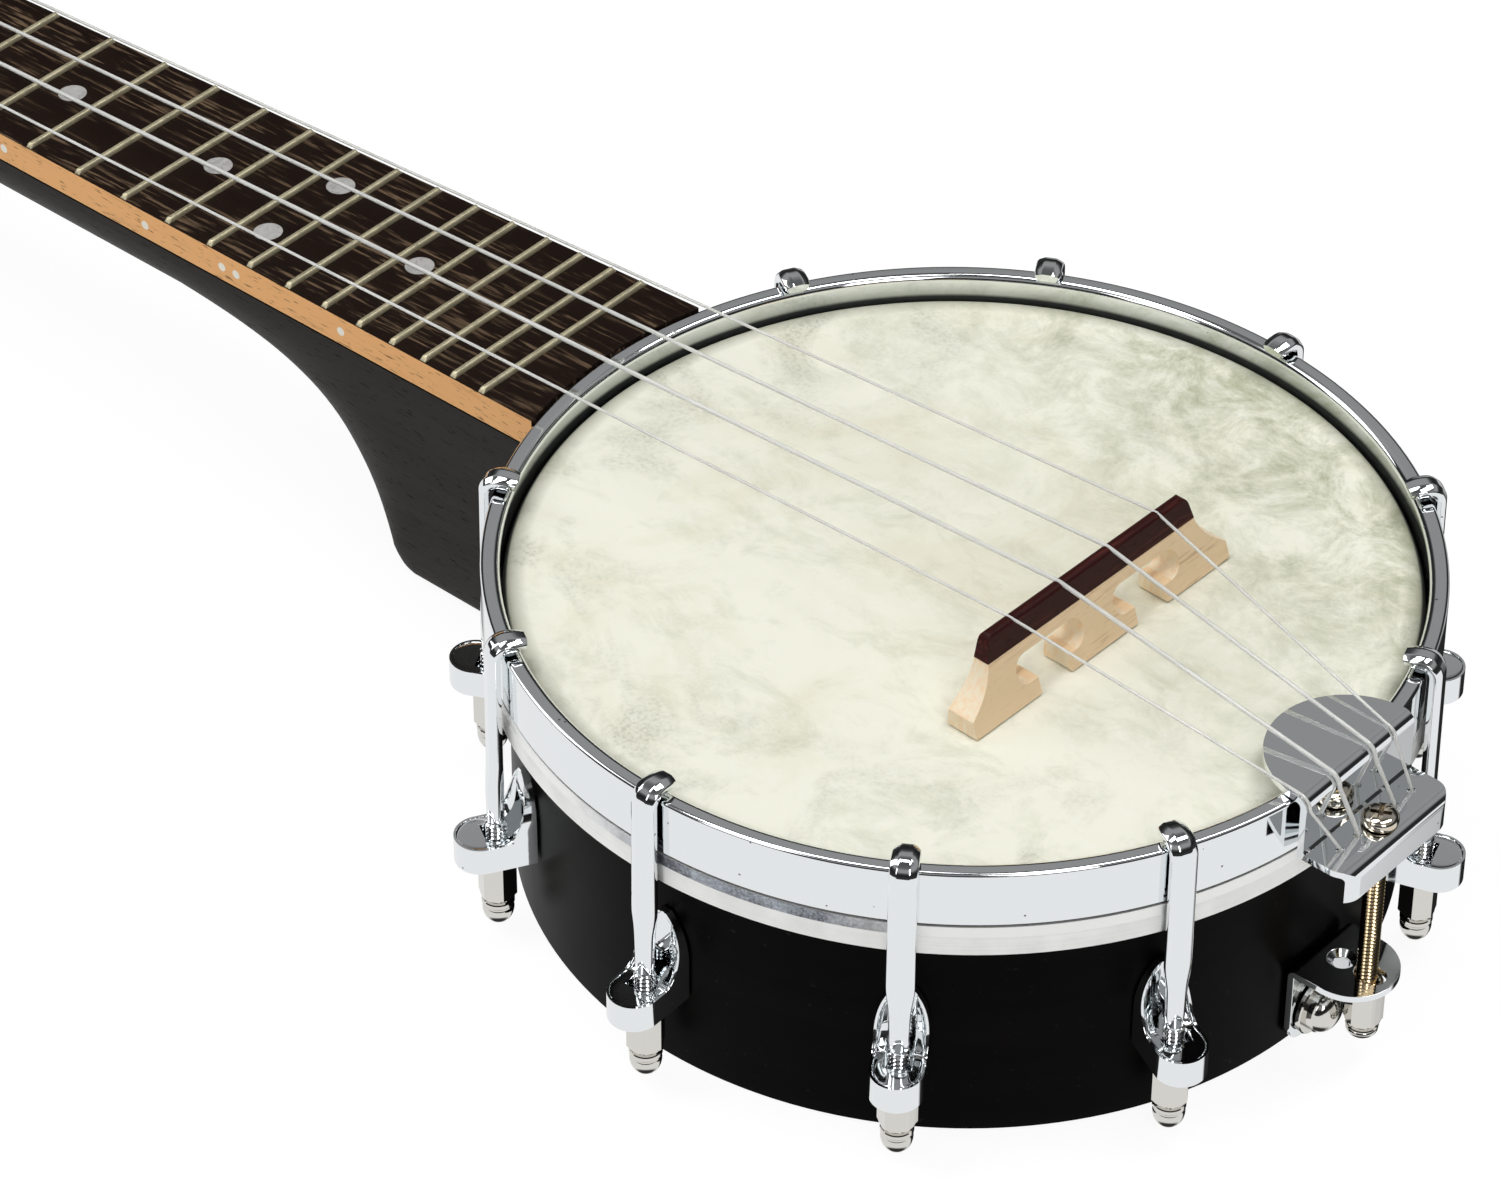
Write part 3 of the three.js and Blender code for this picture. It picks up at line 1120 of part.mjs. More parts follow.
function buildNeck(pot) {
  addPiece(pot, "neck", neckGeometry(), "neck");
  addPiece(pot, "fingerboard", fingerboardGeometry(), "board");
  const frame = new THREE.Group();
  frame.position.set(NECK_PIVOT, 0, BOARD_TOP);
  frame.rotation.y = -NECK_TILT;
  pot.add(frame);
  addPiece(frame, "string_nut", stringNutGeometry(), "bone");
  const head = new THREE.Group();
  head.position.set(HEAD_START - NECK_PIVOT, 0, -HEAD_FACE_DROP);
  head.rotation.y = -HEAD_ANGLE;
  frame.add(head);
  return head;
}

// Tuners, built for a post at the origin with the button towards +Y; the bass side is mirrored

function mirroredY(geometry) {
  return closedGeometry(geometry.clone().scale(1, -1, 1));
}

// Plate under the head with two ears for the worm, and the bushing up through the head
function tunerHousingGeometry() {
  const plateBottom = PLATE_TOP - PLATE_THICKNESS;
  const wormX = -WORM_OFFSET;
  const plateFront = GEAR_OUTER_RADIUS + BUSHING_WALL;
  const plateBack = plateFront - PLATE_LENGTH;
  const plate = box(plateBack, plateFront, -PLATE_WIDTH / 2, PLATE_WIDTH / 2, plateBottom, PLATE_TOP);
  const tubeRadius = BUSHING_RADIUS;
  const tube = rod(tubeRadius, plateBottom, SEAT_GAP, 12);
  const flange = rod(BUSHING_FLANGE_RADIUS, SEAT_GAP, SEAT_GAP + BUSHING_FLANGE_HEIGHT, 12);
  const neckRing = rod(tubeRadius, 0, SEAT_GAP + BUSHING_FLANGE_HEIGHT / 2, 12);
  const ears = [-1, 1].map((side) => {
    const inner = side > 0 ? EAR_DISTANCE : -EAR_DISTANCE - EAR_THICKNESS;
    const low = WORM_LEVEL - WORM_SHAFT_RADIUS - RUNNING_GAP - EAR_THICKNESS;
    const high = PLATE_TOP - PLATE_THICKNESS / 2;
    const earHalf = EAR_WIDTH / 2;
    return box(wormX - earHalf, wormX + earHalf, inner, inner + EAR_THICKNESS, low, high);
  });
  const boreTop = BUSHING_FLANGE_HEIGHT + CUT_OVERRUN;
  const bore = rod(POST_RADIUS + RUNNING_GAP, plateBottom - CUT_OVERRUN, boreTop, 12);
  const reach = EAR_DISTANCE + EAR_THICKNESS + CUT_OVERRUN;
  const shaftHole = rod(WORM_SHAFT_RADIUS + RUNNING_GAP, -reach, reach, 8)
    .rotateX(QUARTER_TURN)
    .translate(wormX, 0, WORM_LEVEL);
  return cut(joined(plate, tube, neckRing, flange, ...ears), bore, shaftHole);
}

// Toothed outline; one tooth points to the worm at rest
function gearShape() {
  const step = FULL_TURN / GEAR_TEETH;
  const toothShares = [[-0.3, 0], [-0.11, 1], [0.11, 1], [0.3, 0]];
  const points = [];
  for (let i = 0; i < GEAR_TEETH; i += 1) {
    for (const [angleShare, heightShare] of toothShares) {
      const angle = HALF_TURN + (i + angleShare) * step;
      const radius = GEAR_ROOT_RADIUS + (GEAR_OUTER_RADIUS - GEAR_ROOT_RADIUS) * heightShare;
      points.push([radius * Math.cos(angle), radius * Math.sin(angle)]);
    }
  }
  return shapeOf(points);
}

// Post with a waist for the string, its gear and the gear's screw
function stringPostGeometry() {
  const gearBottom = GEAR_TOP - GEAR_THICKNESS;
  const post = turnedAboutZ(
    [
      [0, gearBottom - GEAR_SCREW_HEIGHT],
      [GEAR_SCREW_RADIUS, gearBottom - GEAR_SCREW_HEIGHT],
      [GEAR_SCREW_RADIUS, gearBottom + GEAR_THICKNESS / 2],
      [POST_RADIUS, gearBottom + GEAR_THICKNESS / 2],
      [POST_RADIUS, POST_WAIST_BOTTOM],
      [POST_WAIST_RADIUS, POST_WAIST_BOTTOM + (POST_RADIUS - POST_WAIST_RADIUS)],
      [POST_WAIST_RADIUS, POST_WAIST_TOP],
      [POST_RADIUS, POST_WAIST_TOP + (POST_RADIUS - POST_WAIST_RADIUS)],
      [POST_RADIUS * 0.85, POST_HEIGHT],
      [0, POST_HEIGHT],
    ],
    8,
  );
  const gear = prismAlongZ(gearShape(), gearBottom, GEAR_TOP);
  const hole = rod(POST_HOLE_RADIUS, -POST_RADIUS - CUT_OVERRUN, POST_RADIUS + CUT_OVERRUN, 6)
    .rotateX(QUARTER_TURN)
    .translate(0, 0, POST_HOLE_HEIGHT);
  return cut(joined(post, gear), hole);
}

// Helical thread round Z, a trapezium that climbs one pitch a turn, sunk a little into its shaft
function wormThreadGeometry() {
  const stepsPerTurn = 8;
  const count = WORM_TURNS * stepsPerTurn;
  const root = WORM_SHAFT_RADIUS * 0.8;
  const rootHalf = WORM_PITCH * 0.24;
  const crestHalf = WORM_PITCH * 0.09;
  const rings = [];
  for (let i = 0; i <= count; i += 1) {
    const angle = (FULL_TURN * (i - count / 2)) / stepsPerTurn;
    const height = (WORM_PITCH * angle) / FULL_TURN;
    const corners = [
      [root, -rootHalf],
      [WORM_OUTER_RADIUS, -crestHalf],
      [WORM_OUTER_RADIUS, crestHalf],
      [root, rootHalf],
    ];
    rings.push(
      corners.map(([radius, offset]) =>
        new THREE.Vector3(radius * Math.cos(angle), radius * Math.sin(angle), height + offset)),
    );
  }
  return loft(rings);
}

// Worm, its shaft and the oval button, along Z; one gap of the thread faces the gear at rest
function tunerButtonGeometry() {
  const sides = 8;
  const ringAt = (z, halfX, halfY) => {
    const ring = [];
    for (let k = 0; k < sides; k += 1) {
      const angle = (FULL_TURN * k) / sides;
      ring.push(new THREE.Vector3(halfX * Math.cos(angle), halfY * Math.sin(angle), z));
    }
    return ring;
  };
  const wormHalf = EAR_DISTANCE - RUNNING_GAP;
  const innerEnd = -EAR_DISTANCE - EAR_THICKNESS - RUNNING_GAP;
  const shaft = WORM_SHAFT_RADIUS;
  const collar = shaft * 1.8;
  const outerStart = EAR_DISTANCE + EAR_THICKNESS + RUNNING_GAP;
  const end = BUTTON_START + BUTTON_LENGTH;
  const body = loft([
    ringAt(innerEnd, shaft, shaft),
    ringAt(-wormHalf, shaft, shaft),
    ringAt(outerStart, shaft, shaft),
    ringAt(outerStart, collar, collar),
    ringAt(outerStart + collar, collar, collar),
    ringAt(BUTTON_START, shaft, shaft),
    ringAt(BUTTON_START + BUTTON_LENGTH * 0.3, BUTTON_HALF_LENGTH * 0.95, BUTTON_HALF_THICKNESS * 0.95),
    ringAt(BUTTON_START + BUTTON_LENGTH * 0.7, BUTTON_HALF_LENGTH, BUTTON_HALF_THICKNESS),
    ringAt(end, BUTTON_HALF_LENGTH * 0.5, BUTTON_HALF_THICKNESS * 0.45),
  ]);
  // The thread's crests sit half a pitch either side of the tooth that points to the worm
  const thread = wormThreadGeometry().rotateZ(HALF_TURN);
  return joined(body, thread);
}

function buildTuners(head) {
  const housing = tunerHousingGeometry();
  const post = stringPostGeometry();
  // Local Z of the button becomes +Y and its local X points at the gear
  const button = tunerButtonGeometry().rotateX(-QUARTER_TURN);
  postPlaces.forEach(({ x, side }, i) => {
    const place = new THREE.Group();
    place.position.set(x, side * POST_SIDE, 0);
    head.add(place);
    const sided = (geometry) => (side > 0 ? geometry : mirroredY(geometry));
    addPiece(place, `tuner_housing_${i + 1}`, sided(housing), "chrome");
    addPiece(place, `string_post_${i + 1}`, sided(post), "chrome");
    const turning = addPiece(place, `tuner_button_${i + 1}`, sided(button), "chrome");
    turning.position.set(-WORM_OFFSET, 0, WORM_LEVEL);
  });
}

// Strings: knot under the tail plate, over its bend, over bridge and nut, then wound on the post

function stringPath(i) {
  const radius = STRING_RADII[i];
  const bendRadius = TAILPIECE_BEND_ROUND + SEAT_GAP + radius;
  const bendX = TAIL_WEB_INNER + SHEET_THICKNESS - TAILPIECE_BEND_ROUND;
  const bendZ = TAIL_PLATE_TOP - TAILPIECE_BEND_ROUND;
  const holeY = stringHoleY[i];
  const shelfBottom = TAIL_SHELF_TOP - SHEET_THICKNESS;
  const knotTop = shelfBottom - SEAT_GAP;
  const points = [];
  const radii = [];
  const add = (point, r = radius) => {
    points.push(point);
    radii.push(r);
  };
  const hole = (z) => new THREE.Vector3(stringHoleX, holeY, z);
  add(hole(knotTop - 2 * STRING_KNOT_RADIUS), STRING_KNOT_RADIUS * 0.6);
  add(hole(knotTop - STRING_KNOT_RADIUS), STRING_KNOT_RADIUS);
  add(hole(knotTop), STRING_KNOT_RADIUS * 0.6);
  add(hole(knotTop + SEAT_GAP / 2));
  add(hole(TAIL_SHELF_TOP + radius));
  const bridge = new THREE.Vector3(bridgeCrossing, stringBridgeY[i], BRIDGE_TOP - STRING_BELOW_BRIDGE_TOP);
  bridge.applyAxisAngle(new THREE.Vector3(0, 0, 1), -BRIDGE_SKEW_ANGLE);
  bridge.x += BRIDGE_LINE;
  const bendSteps = 3;
  for (let k = 0; k <= bendSteps; k += 1) {
    const angle = (QUARTER_TURN * 0.92 * k) / bendSteps;
    const x = bendX + bendRadius * Math.cos(angle);
    add(new THREE.Vector3(x, STRING_BEND_PLACES[i], bendZ + bendRadius * Math.sin(angle)));
  }
  add(bridge);
  add(neckPoint(NUT_LINE - NUT_THICKNESS / 4, stringNutY[i], STRING_NUT_HEIGHT));
  const toHead = headMatrix.clone().invert();
  const fromNut = neckPoint(HEAD_START + NUT_THICKNESS / 4, stringNutY[i], STRING_NUT_HEIGHT - radius);
  add(fromNut);
  // From the nut the string meets the post on the side towards the head's middle line
  const { x: postX, side } = postPlaces[i];
  const start = fromNut.clone().applyMatrix4(toHead);
  const reach = POST_WAIST_RADIUS + SEAT_GAP + radius;
  const toPost = new THREE.Vector2(start.x - postX, start.y - side * POST_SIDE);
  const firstAngle = Math.atan2(toPost.y, toPost.x) - side * Math.acos(reach / toPost.length());
  const pitch = 2 * radius + WINDING_TURN_GAP;
  const winding = [];
  const total = WINDING_TURNS * WINDING_STEPS;
  for (let k = 0; k <= total; k += 1) {
    const angle = firstAngle - (side * FULL_TURN * k) / WINDING_STEPS;
    const height = WINDING_TOP - radius - (pitch * k) / WINDING_STEPS;
    const x = postX + reach * Math.cos(angle);
    const y = side * POST_SIDE + reach * Math.sin(angle);
    winding.push(new THREE.Vector3(x, y, height));
  }
  const last = winding[total].clone();
  const run = last.clone().sub(winding[total - 1]).normalize();
  const out = new THREE.Vector3(last.x - postX, last.y - side * POST_SIDE, 0).normalize();
  winding.push(last.clone().addScaledVector(run, STRING_TAIL_LENGTH / 2).addScaledVector(out, radius));
  winding.push(last.clone().addScaledVector(run, STRING_TAIL_LENGTH).addScaledVector(out, 2 * radius));
  winding.forEach((point) => add(point.clone().applyMatrix4(headMatrix)));
  return { points, radii, winding };
}

// Least distance between the surfaces of two stretches of the winding, half a turn or more apart
function leastWindingGap(winding, radius) {
  let least = Infinity;
  for (let a = 0; a < winding.length; a += 1) {
    for (let b = a + WINDING_STEPS / 2; b < winding.length; b += 1) {
      least = Math.min(least, winding[a].distanceTo(winding[b]) - 2 * radius);
    }
  }
  return least;
}

function buildStrings(pot) {
  STRING_RADII.forEach((radius, i) => {
    const { points, radii, winding } = stringPath(i);
    addPiece(pot, `string_${i + 1}`, tube(points, radii, STRING_SIDES), "string");
    const gap = leastWindingGap(winding, radius).toFixed(2);
    console.log(`string_${i + 1}: least gap between the turns on its post ${gap} mm`);
  });
}

const pot = new THREE.Group();
buildPot(pot);
buildTail(pot);
buildBridge(pot);
const head = buildNeck(pot);
buildTuners(head);
buildStrings(pot);

// The middle of the base becomes the origin
pot.updateMatrixWorld(true);
const bounds = new THREE.Box3().setFromObject(pot, true);
pot.position.set(-(bounds.min.x + bounds.max.x) / 2, -(bounds.min.y + bounds.max.y) / 2, -bounds.min.z);
const group = new THREE.Group();
group.name = "banjo_ukulele";
group.add(pot);

export default group;
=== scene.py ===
"""Banjo ukulele of concert scale, lying on its open back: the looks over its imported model.

The sizes and colours of the pieces are settings of the scene, in metres. Shapes are worked out in
millimetres about the middle of the pot: +X points to the tailpiece, -X to the head, -Y is the player's
bass side and z = 0 is the rim's lower edge. Small shares of a size, such as an eased edge, stand with
the shape they belong to.
"""

import math
from types import SimpleNamespace

import bmesh
import bpy
from bpy.props import FloatProperty, FloatVectorProperty, IntProperty, PointerProperty
from bpy.types import Operator, Panel, PropertyGroup
from mathutils import Matrix, Quaternion, Vector


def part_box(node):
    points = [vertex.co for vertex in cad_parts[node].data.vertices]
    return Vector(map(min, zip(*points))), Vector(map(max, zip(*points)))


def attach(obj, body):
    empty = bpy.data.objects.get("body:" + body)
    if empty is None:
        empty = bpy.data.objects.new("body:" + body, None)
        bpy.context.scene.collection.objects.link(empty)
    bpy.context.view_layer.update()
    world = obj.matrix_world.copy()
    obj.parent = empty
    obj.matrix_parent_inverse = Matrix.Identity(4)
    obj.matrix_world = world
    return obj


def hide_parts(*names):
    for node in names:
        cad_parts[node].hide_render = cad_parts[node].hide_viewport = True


bl_info = {
    "name": "Banjo ukulele",
    "version": (1, 0, 0),
    "blender": (4, 5, 0),
    "location": "3D View > Sidebar > Banjo ukulele",
    "description": "Builds a concert banjo ukulele piece by piece over its packed model",
    "category": "Add Mesh",
}

MM = 0.001
FULL_TURN = 2 * math.pi
QUARTER_TURN = math.pi / 2
POT_STEPS = 192
MERGE_DISTANCE = 0.0005
BEVEL_ANGLE = math.radians(32)

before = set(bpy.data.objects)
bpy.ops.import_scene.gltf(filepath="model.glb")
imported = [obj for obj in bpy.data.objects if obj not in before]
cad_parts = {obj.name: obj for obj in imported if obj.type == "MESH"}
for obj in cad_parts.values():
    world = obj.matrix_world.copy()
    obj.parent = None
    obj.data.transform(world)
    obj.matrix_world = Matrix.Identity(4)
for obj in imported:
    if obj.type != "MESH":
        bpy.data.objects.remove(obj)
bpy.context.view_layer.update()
RIM_LOW, RIM_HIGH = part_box("rim")
POT_CENTRE = Vector(((RIM_LOW.x + RIM_HIGH.x) / 2, (RIM_LOW.y + RIM_HIGH.y) / 2, RIM_LOW.z))


# Settings

def length(name, millimetres, description):
    return FloatProperty(
        name=name, description=description, default=millimetres * MM, unit="LENGTH", precision=5,
    )


def lengths(name, millimetres, description):
    values = tuple(value * MM for value in millimetres)
    return FloatVectorProperty(
        name=name, description=description, default=values, size=len(values), unit="LENGTH", precision=5,
    )


def angle(name, radians, description):
    return FloatProperty(name=name, description=description, default=radians, subtype="ANGLE", unit="ROTATION")


def colour(name, red, green, blue, description):
    return FloatVectorProperty(
        name=name, description=description, default=(red, green, blue), size=3, min=0, max=1, subtype="COLOR",
    )


def whole(name, number, description):
    return IntProperty(name=name, description=description, default=number)


class PotSettings(PropertyGroup):
    """Rim, skin and the two hoops"""
    seat_gap: length("Seat gap", 0.3, "Between two pieces that rest on each other")
    running_gap: length("Running gap", 0.35, "Round a rod, screw or shaft in its hole")
    rim_radius: length("Rim radius", (RIM_HIGH.x - RIM_LOW.x) / 2 / MM, "Outside of the rim")
    rim_wall: length("Rim wall", 10, "Thickness of the laminated rim")
    rim_height: length("Rim height", (RIM_HIGH.z - RIM_LOW.z) / MM, "Depth of the rim")
    rim_edge_round: length("Rim edge round", 3.2, "Round of the edge that the skin bends over")
    skin_thickness: length("Skin thickness", 0.5, "Thickness of the skin")
    skin_bend: length("Skin bend", 1.4, "Inner radius of the skin's bend over the rim")
    hoop_rise: length("Hoop rise", 4.7, "Top of the tension hoop above the skin")
    hoop_height: length("Hoop height", 11.9, "Height of the tension hoop")
    hoop_wall: length("Hoop wall", 3.6, "Thickness of the tension hoop")
    hoop_round: length("Hoop round", 0.8, "Round of the tension hoop's outer top edge")
    hoop_inner_round: length("Hoop inner round", 1.4, "Round of its inner top edge")
    flesh_hoop_height: length("Flesh hoop height", 6.7, "Height of the hoop that holds the skin's edge")
    flesh_hoop_floor: length("Flesh hoop floor", 1.6, "Height of its rebate's floor")
    flesh_hoop_band: length("Flesh hoop band", 2.4, "Height of its narrow upper band")


class FittingSettings(PropertyGroup):
    """Hooks, shoes and nuts round the rim"""
    hooks_per_side: whole("Hooks on each side", 5, "Counted from the heel")
    first_angle: angle("First hook", 0.494, "From the heel to the nearest hook on either side")
    bass_step: angle("Bass step", 0.5498, "Between two hooks on the bass side")
    treble_step: angle("Treble step", 0.5777, "Between two hooks on the treble side")
    hook_width: length("Hook width", 5.2, "Width of the flat part of a hook")
    hook_thickness: length("Hook thickness", 2.3, "Thickness of the flat part of a hook")
    hook_bend: length("Hook bend", 2.7, "Radius of the bend, at the middle of the bar")
    hook_reach: length("Claw reach", 0.6, "The claw's end face inside the hoop's inner wall")
    hook_crest: length("Claw crest", 0.45, "The claw's crest above its tip")
    hook_side_gap: length("Hook side gap", 0.65, "Between the hoop and the flat shaft")
    hook_taper_top: length("Hook taper top", 40.5, "Where the flat shaft starts to narrow")
    hook_taper_bottom: length("Hook taper bottom", 33, "Where it has become a rod")
    hook_rod: length("Hook rod radius", 1.65, "Radius of the rod")
    hook_standoff: length("Hook rod standoff", 1.95, "From the hoop's outer wall to the rod's axis")
    thread_radius: length("Thread radius", 2.05, "Outside of the hook's thread")
    thread_pitch: length("Thread pitch", 0.95, "Pitch of the hook's thread")
    thread_top: length("Thread top", 25.2, "Where the thread starts")
    thread_bottom: length("Thread bottom", 7, "Where the thread ends")
    shoe_width: length("Shoe width", 9.8, "Width of a bracket shoe")
    shoe_nose: length("Shoe nose", 3.05, "From the rod's axis to the middle of the round nose")
    shoe_bottom: length("Shoe bottom", 17.5, "Height of the lower face")
    shoe_floor: length("Shoe floor", 23.2, "Height of the nose's upper face")
    shoe_top: length("Shoe top", 36.3, "Height of the arched back")
    shoe_spring: length("Shoe spring", 26, "Where the arch starts")
    shoe_tip: length("Shoe tip", 1.8, "Width of the arch's tip")
    shoe_back: length("Shoe back", 1.6, "Thickness of the back against the rim")
    shoe_lip: length("Shoe lip", 0.45, "Width of the lip round the bowl")
    shoe_bowl: length("Shoe bowl", 0.3, "Depth of the recess in the nose")
    shoe_trough: length("Shoe trough", 1.1, "Depth of the trough up the back")
    pocket_width: length("Pocket width", 5, "Width of the pocket round the rod")
    pocket_length: length("Pocket length", 7.4, "Length of the pocket")
    pocket_floor: length("Pocket floor", 20.6, "Height of the pocket's floor")
    bolt_radius: length("Bolt radius", 2, "Radius of the bolt through the rim")
    bolt_height: length("Bolt height", 26, "Height of the bolt's axis")
    bolt_head: length("Bolt head radius", 4.2, "Radius of the head inside the pot")
    bolt_head_thickness: length("Bolt head thickness", 3.2, "Thickness of that head")
    nut_flats: length("Nut flats", 6.35, "Across the flats of the nuts")
    nut_hex: length("Nut hexagon", 9.4, "Height of the hexagon")
    nut_height: length("Nut height", 15.9, "Height of the whole nut")


class TailSettings(PropertyGroup):
    """Tailpiece, its screw and bracket, and the rod through the pot"""
    sheet: length("Sheet", 1.3, "Thickness of the tailpiece")
    tail_width: length("Tailpiece width", 31.6, "Width of the tailpiece")
    tongue: length("Tongue", 16.4, "Reach of the half-moon plate inwards from the bend")
    lip_reach: length("Lip reach", 9.8, "From the web to the front lip")
    web_height: length("Web height", 12.2, "Between the upper faces of its two plates")
    lip_drop: length("Lip drop", 7, "Height of the front lip")
    bend_round: length("Bend round", 2.3, "Outer round of the bends")
    tail_corner: length("Tail corner", 4, "Round of the front corners")
    screw_setback: length("Screw setback", 3.5, "From the lip to the screw")
    screw_radius: length("Screw radius", 2, "Radius of the screw")
    screw_pitch: length("Screw pitch", 0.85, "Pitch of the screw's thread")
    screw_head: length("Screw head radius", 3.4, "Radius of the screw's head")
    screw_head_height: length("Screw head height", 2.1, "Height of the screw's head")
    string_hole: length("String hole", 0.85, "Radius of the holes for the strings")
    string_holes_y: lengths("String holes", (-10.5, -5.3, 5.3, 10.5), "Places of the holes across the tailpiece")
    string_hole_back: length("String hole setback", 0.9, "From the screw's axis back to the holes")
    bracket_sheet: length("Bracket sheet", 1.4, "Thickness of the angle plate")
    bracket_width: length("Bracket width", 17.5, "Width of the angle plate")
    bracket_reach: length("Bracket reach", 16.5, "Reach of the angle plate")
    bracket_top: length("Bracket top", 19, "Height of its upper face")
    bracket_foot: length("Bracket foot", 1.2, "Height of its leg's lower edge")
    bracket_corner: length("Bracket corner", 4, "Round of the leg's corners")
    bracket_slot: length("Bracket slot", 1.6, "Play along the slot")
    spare_hole: length("Spare hole", 1.6, "Radius of the second hole")
    spare_sink: length("Spare hole sink", 1.1, "How much wider its mouth is")
    spare_reach: length("Spare hole reach", 5.5, "From the back to the second hole")
    tail_nut_hex: length("Tail nut hexagon", 9.6, "Height of the hexagon of the tailpiece's nut")
    tail_nut_height: length("Tail nut height", 13.2, "Height of the tailpiece's nut")
    screw_past: length("Screw past bracket", 10, "How far the screw passes through the bracket")
    rod_height: length("Rod height", 7.3, "Height of the rod through the pot")
    rod_offset: length("Rod offset", -2.4, "Place of the rod to one side")
    rod_radius: length("Rod radius", 3, "Radius of the rod")
    washer_radius: length("Washer radius", 5.7, "Radius of the washers")
    washer: length("Washer", 1.2, "Thickness of the washers")
    rod_nut: length("Rod nut", 4.5, "Radius of the rod's nuts")
    rod_nut_thickness: length("Rod nut thickness", 1.8, "Thickness of the rod's nuts")
    dome: length("Dome", 2.7, "Height of the end nut's dome")
    rod_in_heel: length("Rod in heel", 13.5, "How far the rod enters the heel")


class NeckSettings(PropertyGroup):
    """Neck, fingerboard, head and string nut"""
    scale_length: length("Scale length", 380, "From the string nut to the bridge")
    bridge_line: length("Bridge line", 28, "Where the strings cross the bridge")
    pivot: length("Neck pivot", -85, "Where the neck's slope is measured from")
    tilt: angle("Neck tilt", 0.03543, "Slope of the board")
    board_rise: length("Board rise", 5.1, "The board's upper face above the skin, at the pivot")
    board_thickness: length("Board thickness", 6.5, "Thickness of the fingerboard")
    board_end_width: length("Board end width", 47.3, "Width of the board at the pot")
    nut_width: length("Nut width", 32.2, "Width of the board at the string nut")
    nut_thickness: length("String nut thickness", 4, "Thickness of the string nut")
    nut_rise: length("String nut rise", 2.3, "Its top above the board")
    neck_depth: length("Neck depth", 17.5, "Depth under the board near the heel")
    neck_depth_at_nut: length("Neck depth at nut", 15.2, "Depth under the board at the nut")
    foot_length: length("Heel foot length", 46.5, "From the rim to the front of the heel's foot")
    foot_width: length("Heel foot width", 31, "Width of the heel's foot")
    heel_turn: length("Heel turn", 104, "From the rim to where the neck's back starts to fall")
    frets: whole("Frets", 19, "Number of frets")
    fret_width: length("Fret width", 1.5, "Width of a fret")
    fret_height: length("Fret height", 1, "Height of a fret")
    fret_inset: length("Fret inset", 0.3, "From a fret's end to the board's edge")
    dot_radius: length("Dot radius", 2.9, "Radius of the position dots")
    side_dot_radius: length("Side dot radius", 0.95, "Radius of the dots on the board's edge")
    head_angle: angle("Head angle", 0.1745, "How far the head leans back")
    head_length: length("Head length", 104, "Length of the head")
    head_thickness: length("Head thickness", 12, "Thickness of the head")
    head_drop: length("Head drop", 5.5, "Its face under the board's upper face at the nut")
    head_widest: length("Head width", 61, "Greatest width of the head")
    head_round: length("Head round", 0.8, "Round of the head's edges")


class TunerSettings(PropertyGroup):
    """Tuners, placed from their posts"""
    post_near: length("Near posts", 27, "From behind the nut to the first pair of posts")
    post_far: length("Far posts", 61, "From behind the nut to the second pair of posts")
    post_side: length("Post side", 18, "From the head's middle line to a post")
    post_radius: length("Post radius", 2.9, "Radius of a post")
    waist_radius: length("Waist radius", 2.4, "Radius of its waist")
    post_height: length("Post height", 14.6, "Height of a post above the head")
    waist_bottom: length("Waist bottom", 4.6, "Where the waist starts")
    waist_top: length("Waist top", 12.4, "Where the waist ends")
    post_hole: length("Post hole", 0.8, "Radius of the string's hole")
    bushing_wall: length("Bushing wall", 1.05, "Wall of the bushing")
    flange_radius: length("Flange radius", 5.6, "Radius of the bushing's flange")
    flange_height: length("Flange height", 1.5, "Height of the flange")
    gear_teeth: whole("Gear teeth", 14, "Teeth of a post's gear")
    gear_module: length("Gear module", 0.6, "Pitch diameter over the number of teeth")
    gear_thickness: length("Gear thickness", 3, "Thickness of a gear")
    gear_screw: length("Gear screw", 1.9, "Radius of the gear's screw")
    gear_screw_height: length("Gear screw height", 0.9, "Height of its head")
    worm_pitch_radius: length("Worm pitch radius", 2.2, "Pitch radius of a worm")
    worm_turns: whole("Worm turns", 3, "Turns of the worm's thread")
    worm_shaft: length("Worm shaft", 1.5, "Radius of its shaft")
    worm_gap: length("Worm gap", 0.7, "Between the plate and the worm")
    plate: length("Plate", 1, "Thickness of a tuner's plate")
    plate_length: length("Plate length", 21, "Length of the plate")
    plate_width: length("Plate width", 16.4, "Width of the plate")
    ear: length("Ear", 1.5, "Thickness of an ear")
    ear_width: length("Ear width", 6.4, "Width of an ear")
    ear_distance: length("Ear distance", 5.4, "From the post's axis to an ear")
    button_start: length("Button start", 15.4, "From the post's axis to the button")
    button_length: length("Button length", 11, "Length of the button")
    button_half_length: length("Button half length", 7.6, "Half of its greater width")
    button_half_thickness: length("Button half thickness", 3.8, "Half of its lesser width")


class BridgeSettings(PropertyGroup):
    """Bridge of two woods"""
    skew: angle("Bridge skew", 0.03, "How far the bridge is turned on the skin")
    back_setback: length("Bridge back", 1.8, "Its back face, behind the line of the scale")
    foot_thickness: length("Foot thickness", 7.1, "Thickness at the feet")
    seam_thickness: length("Seam thickness", 3.4, "Thickness where the cap starts")
    top_thickness: length("Top thickness", 2.4, "Thickness at the top")
    bridge_length: length("Bridge length", 70.4, "Length over the feet")
    cap_length: length("Cap length", 57, "Length of the cap")
    bridge_height: length("Bridge height", 16.6, "Height above the skin")
    cap_height: length("Cap height", 5, "Height of the cap")
    toe_height: length("Toe height", 3.4, "Height of the feet's ends")
    arch_centre: length("Arch centre", 13.3, "From the middle to an arch's middle")
    arch_half: length("Arch half length", 9.1, "Half of an arch's length")
    arch_radius: length("Arch radius", 2.8, "Radius of an arch's ends")
    mouth_half: length("Mouth half", 4.1, "Half of the gap under an arch")


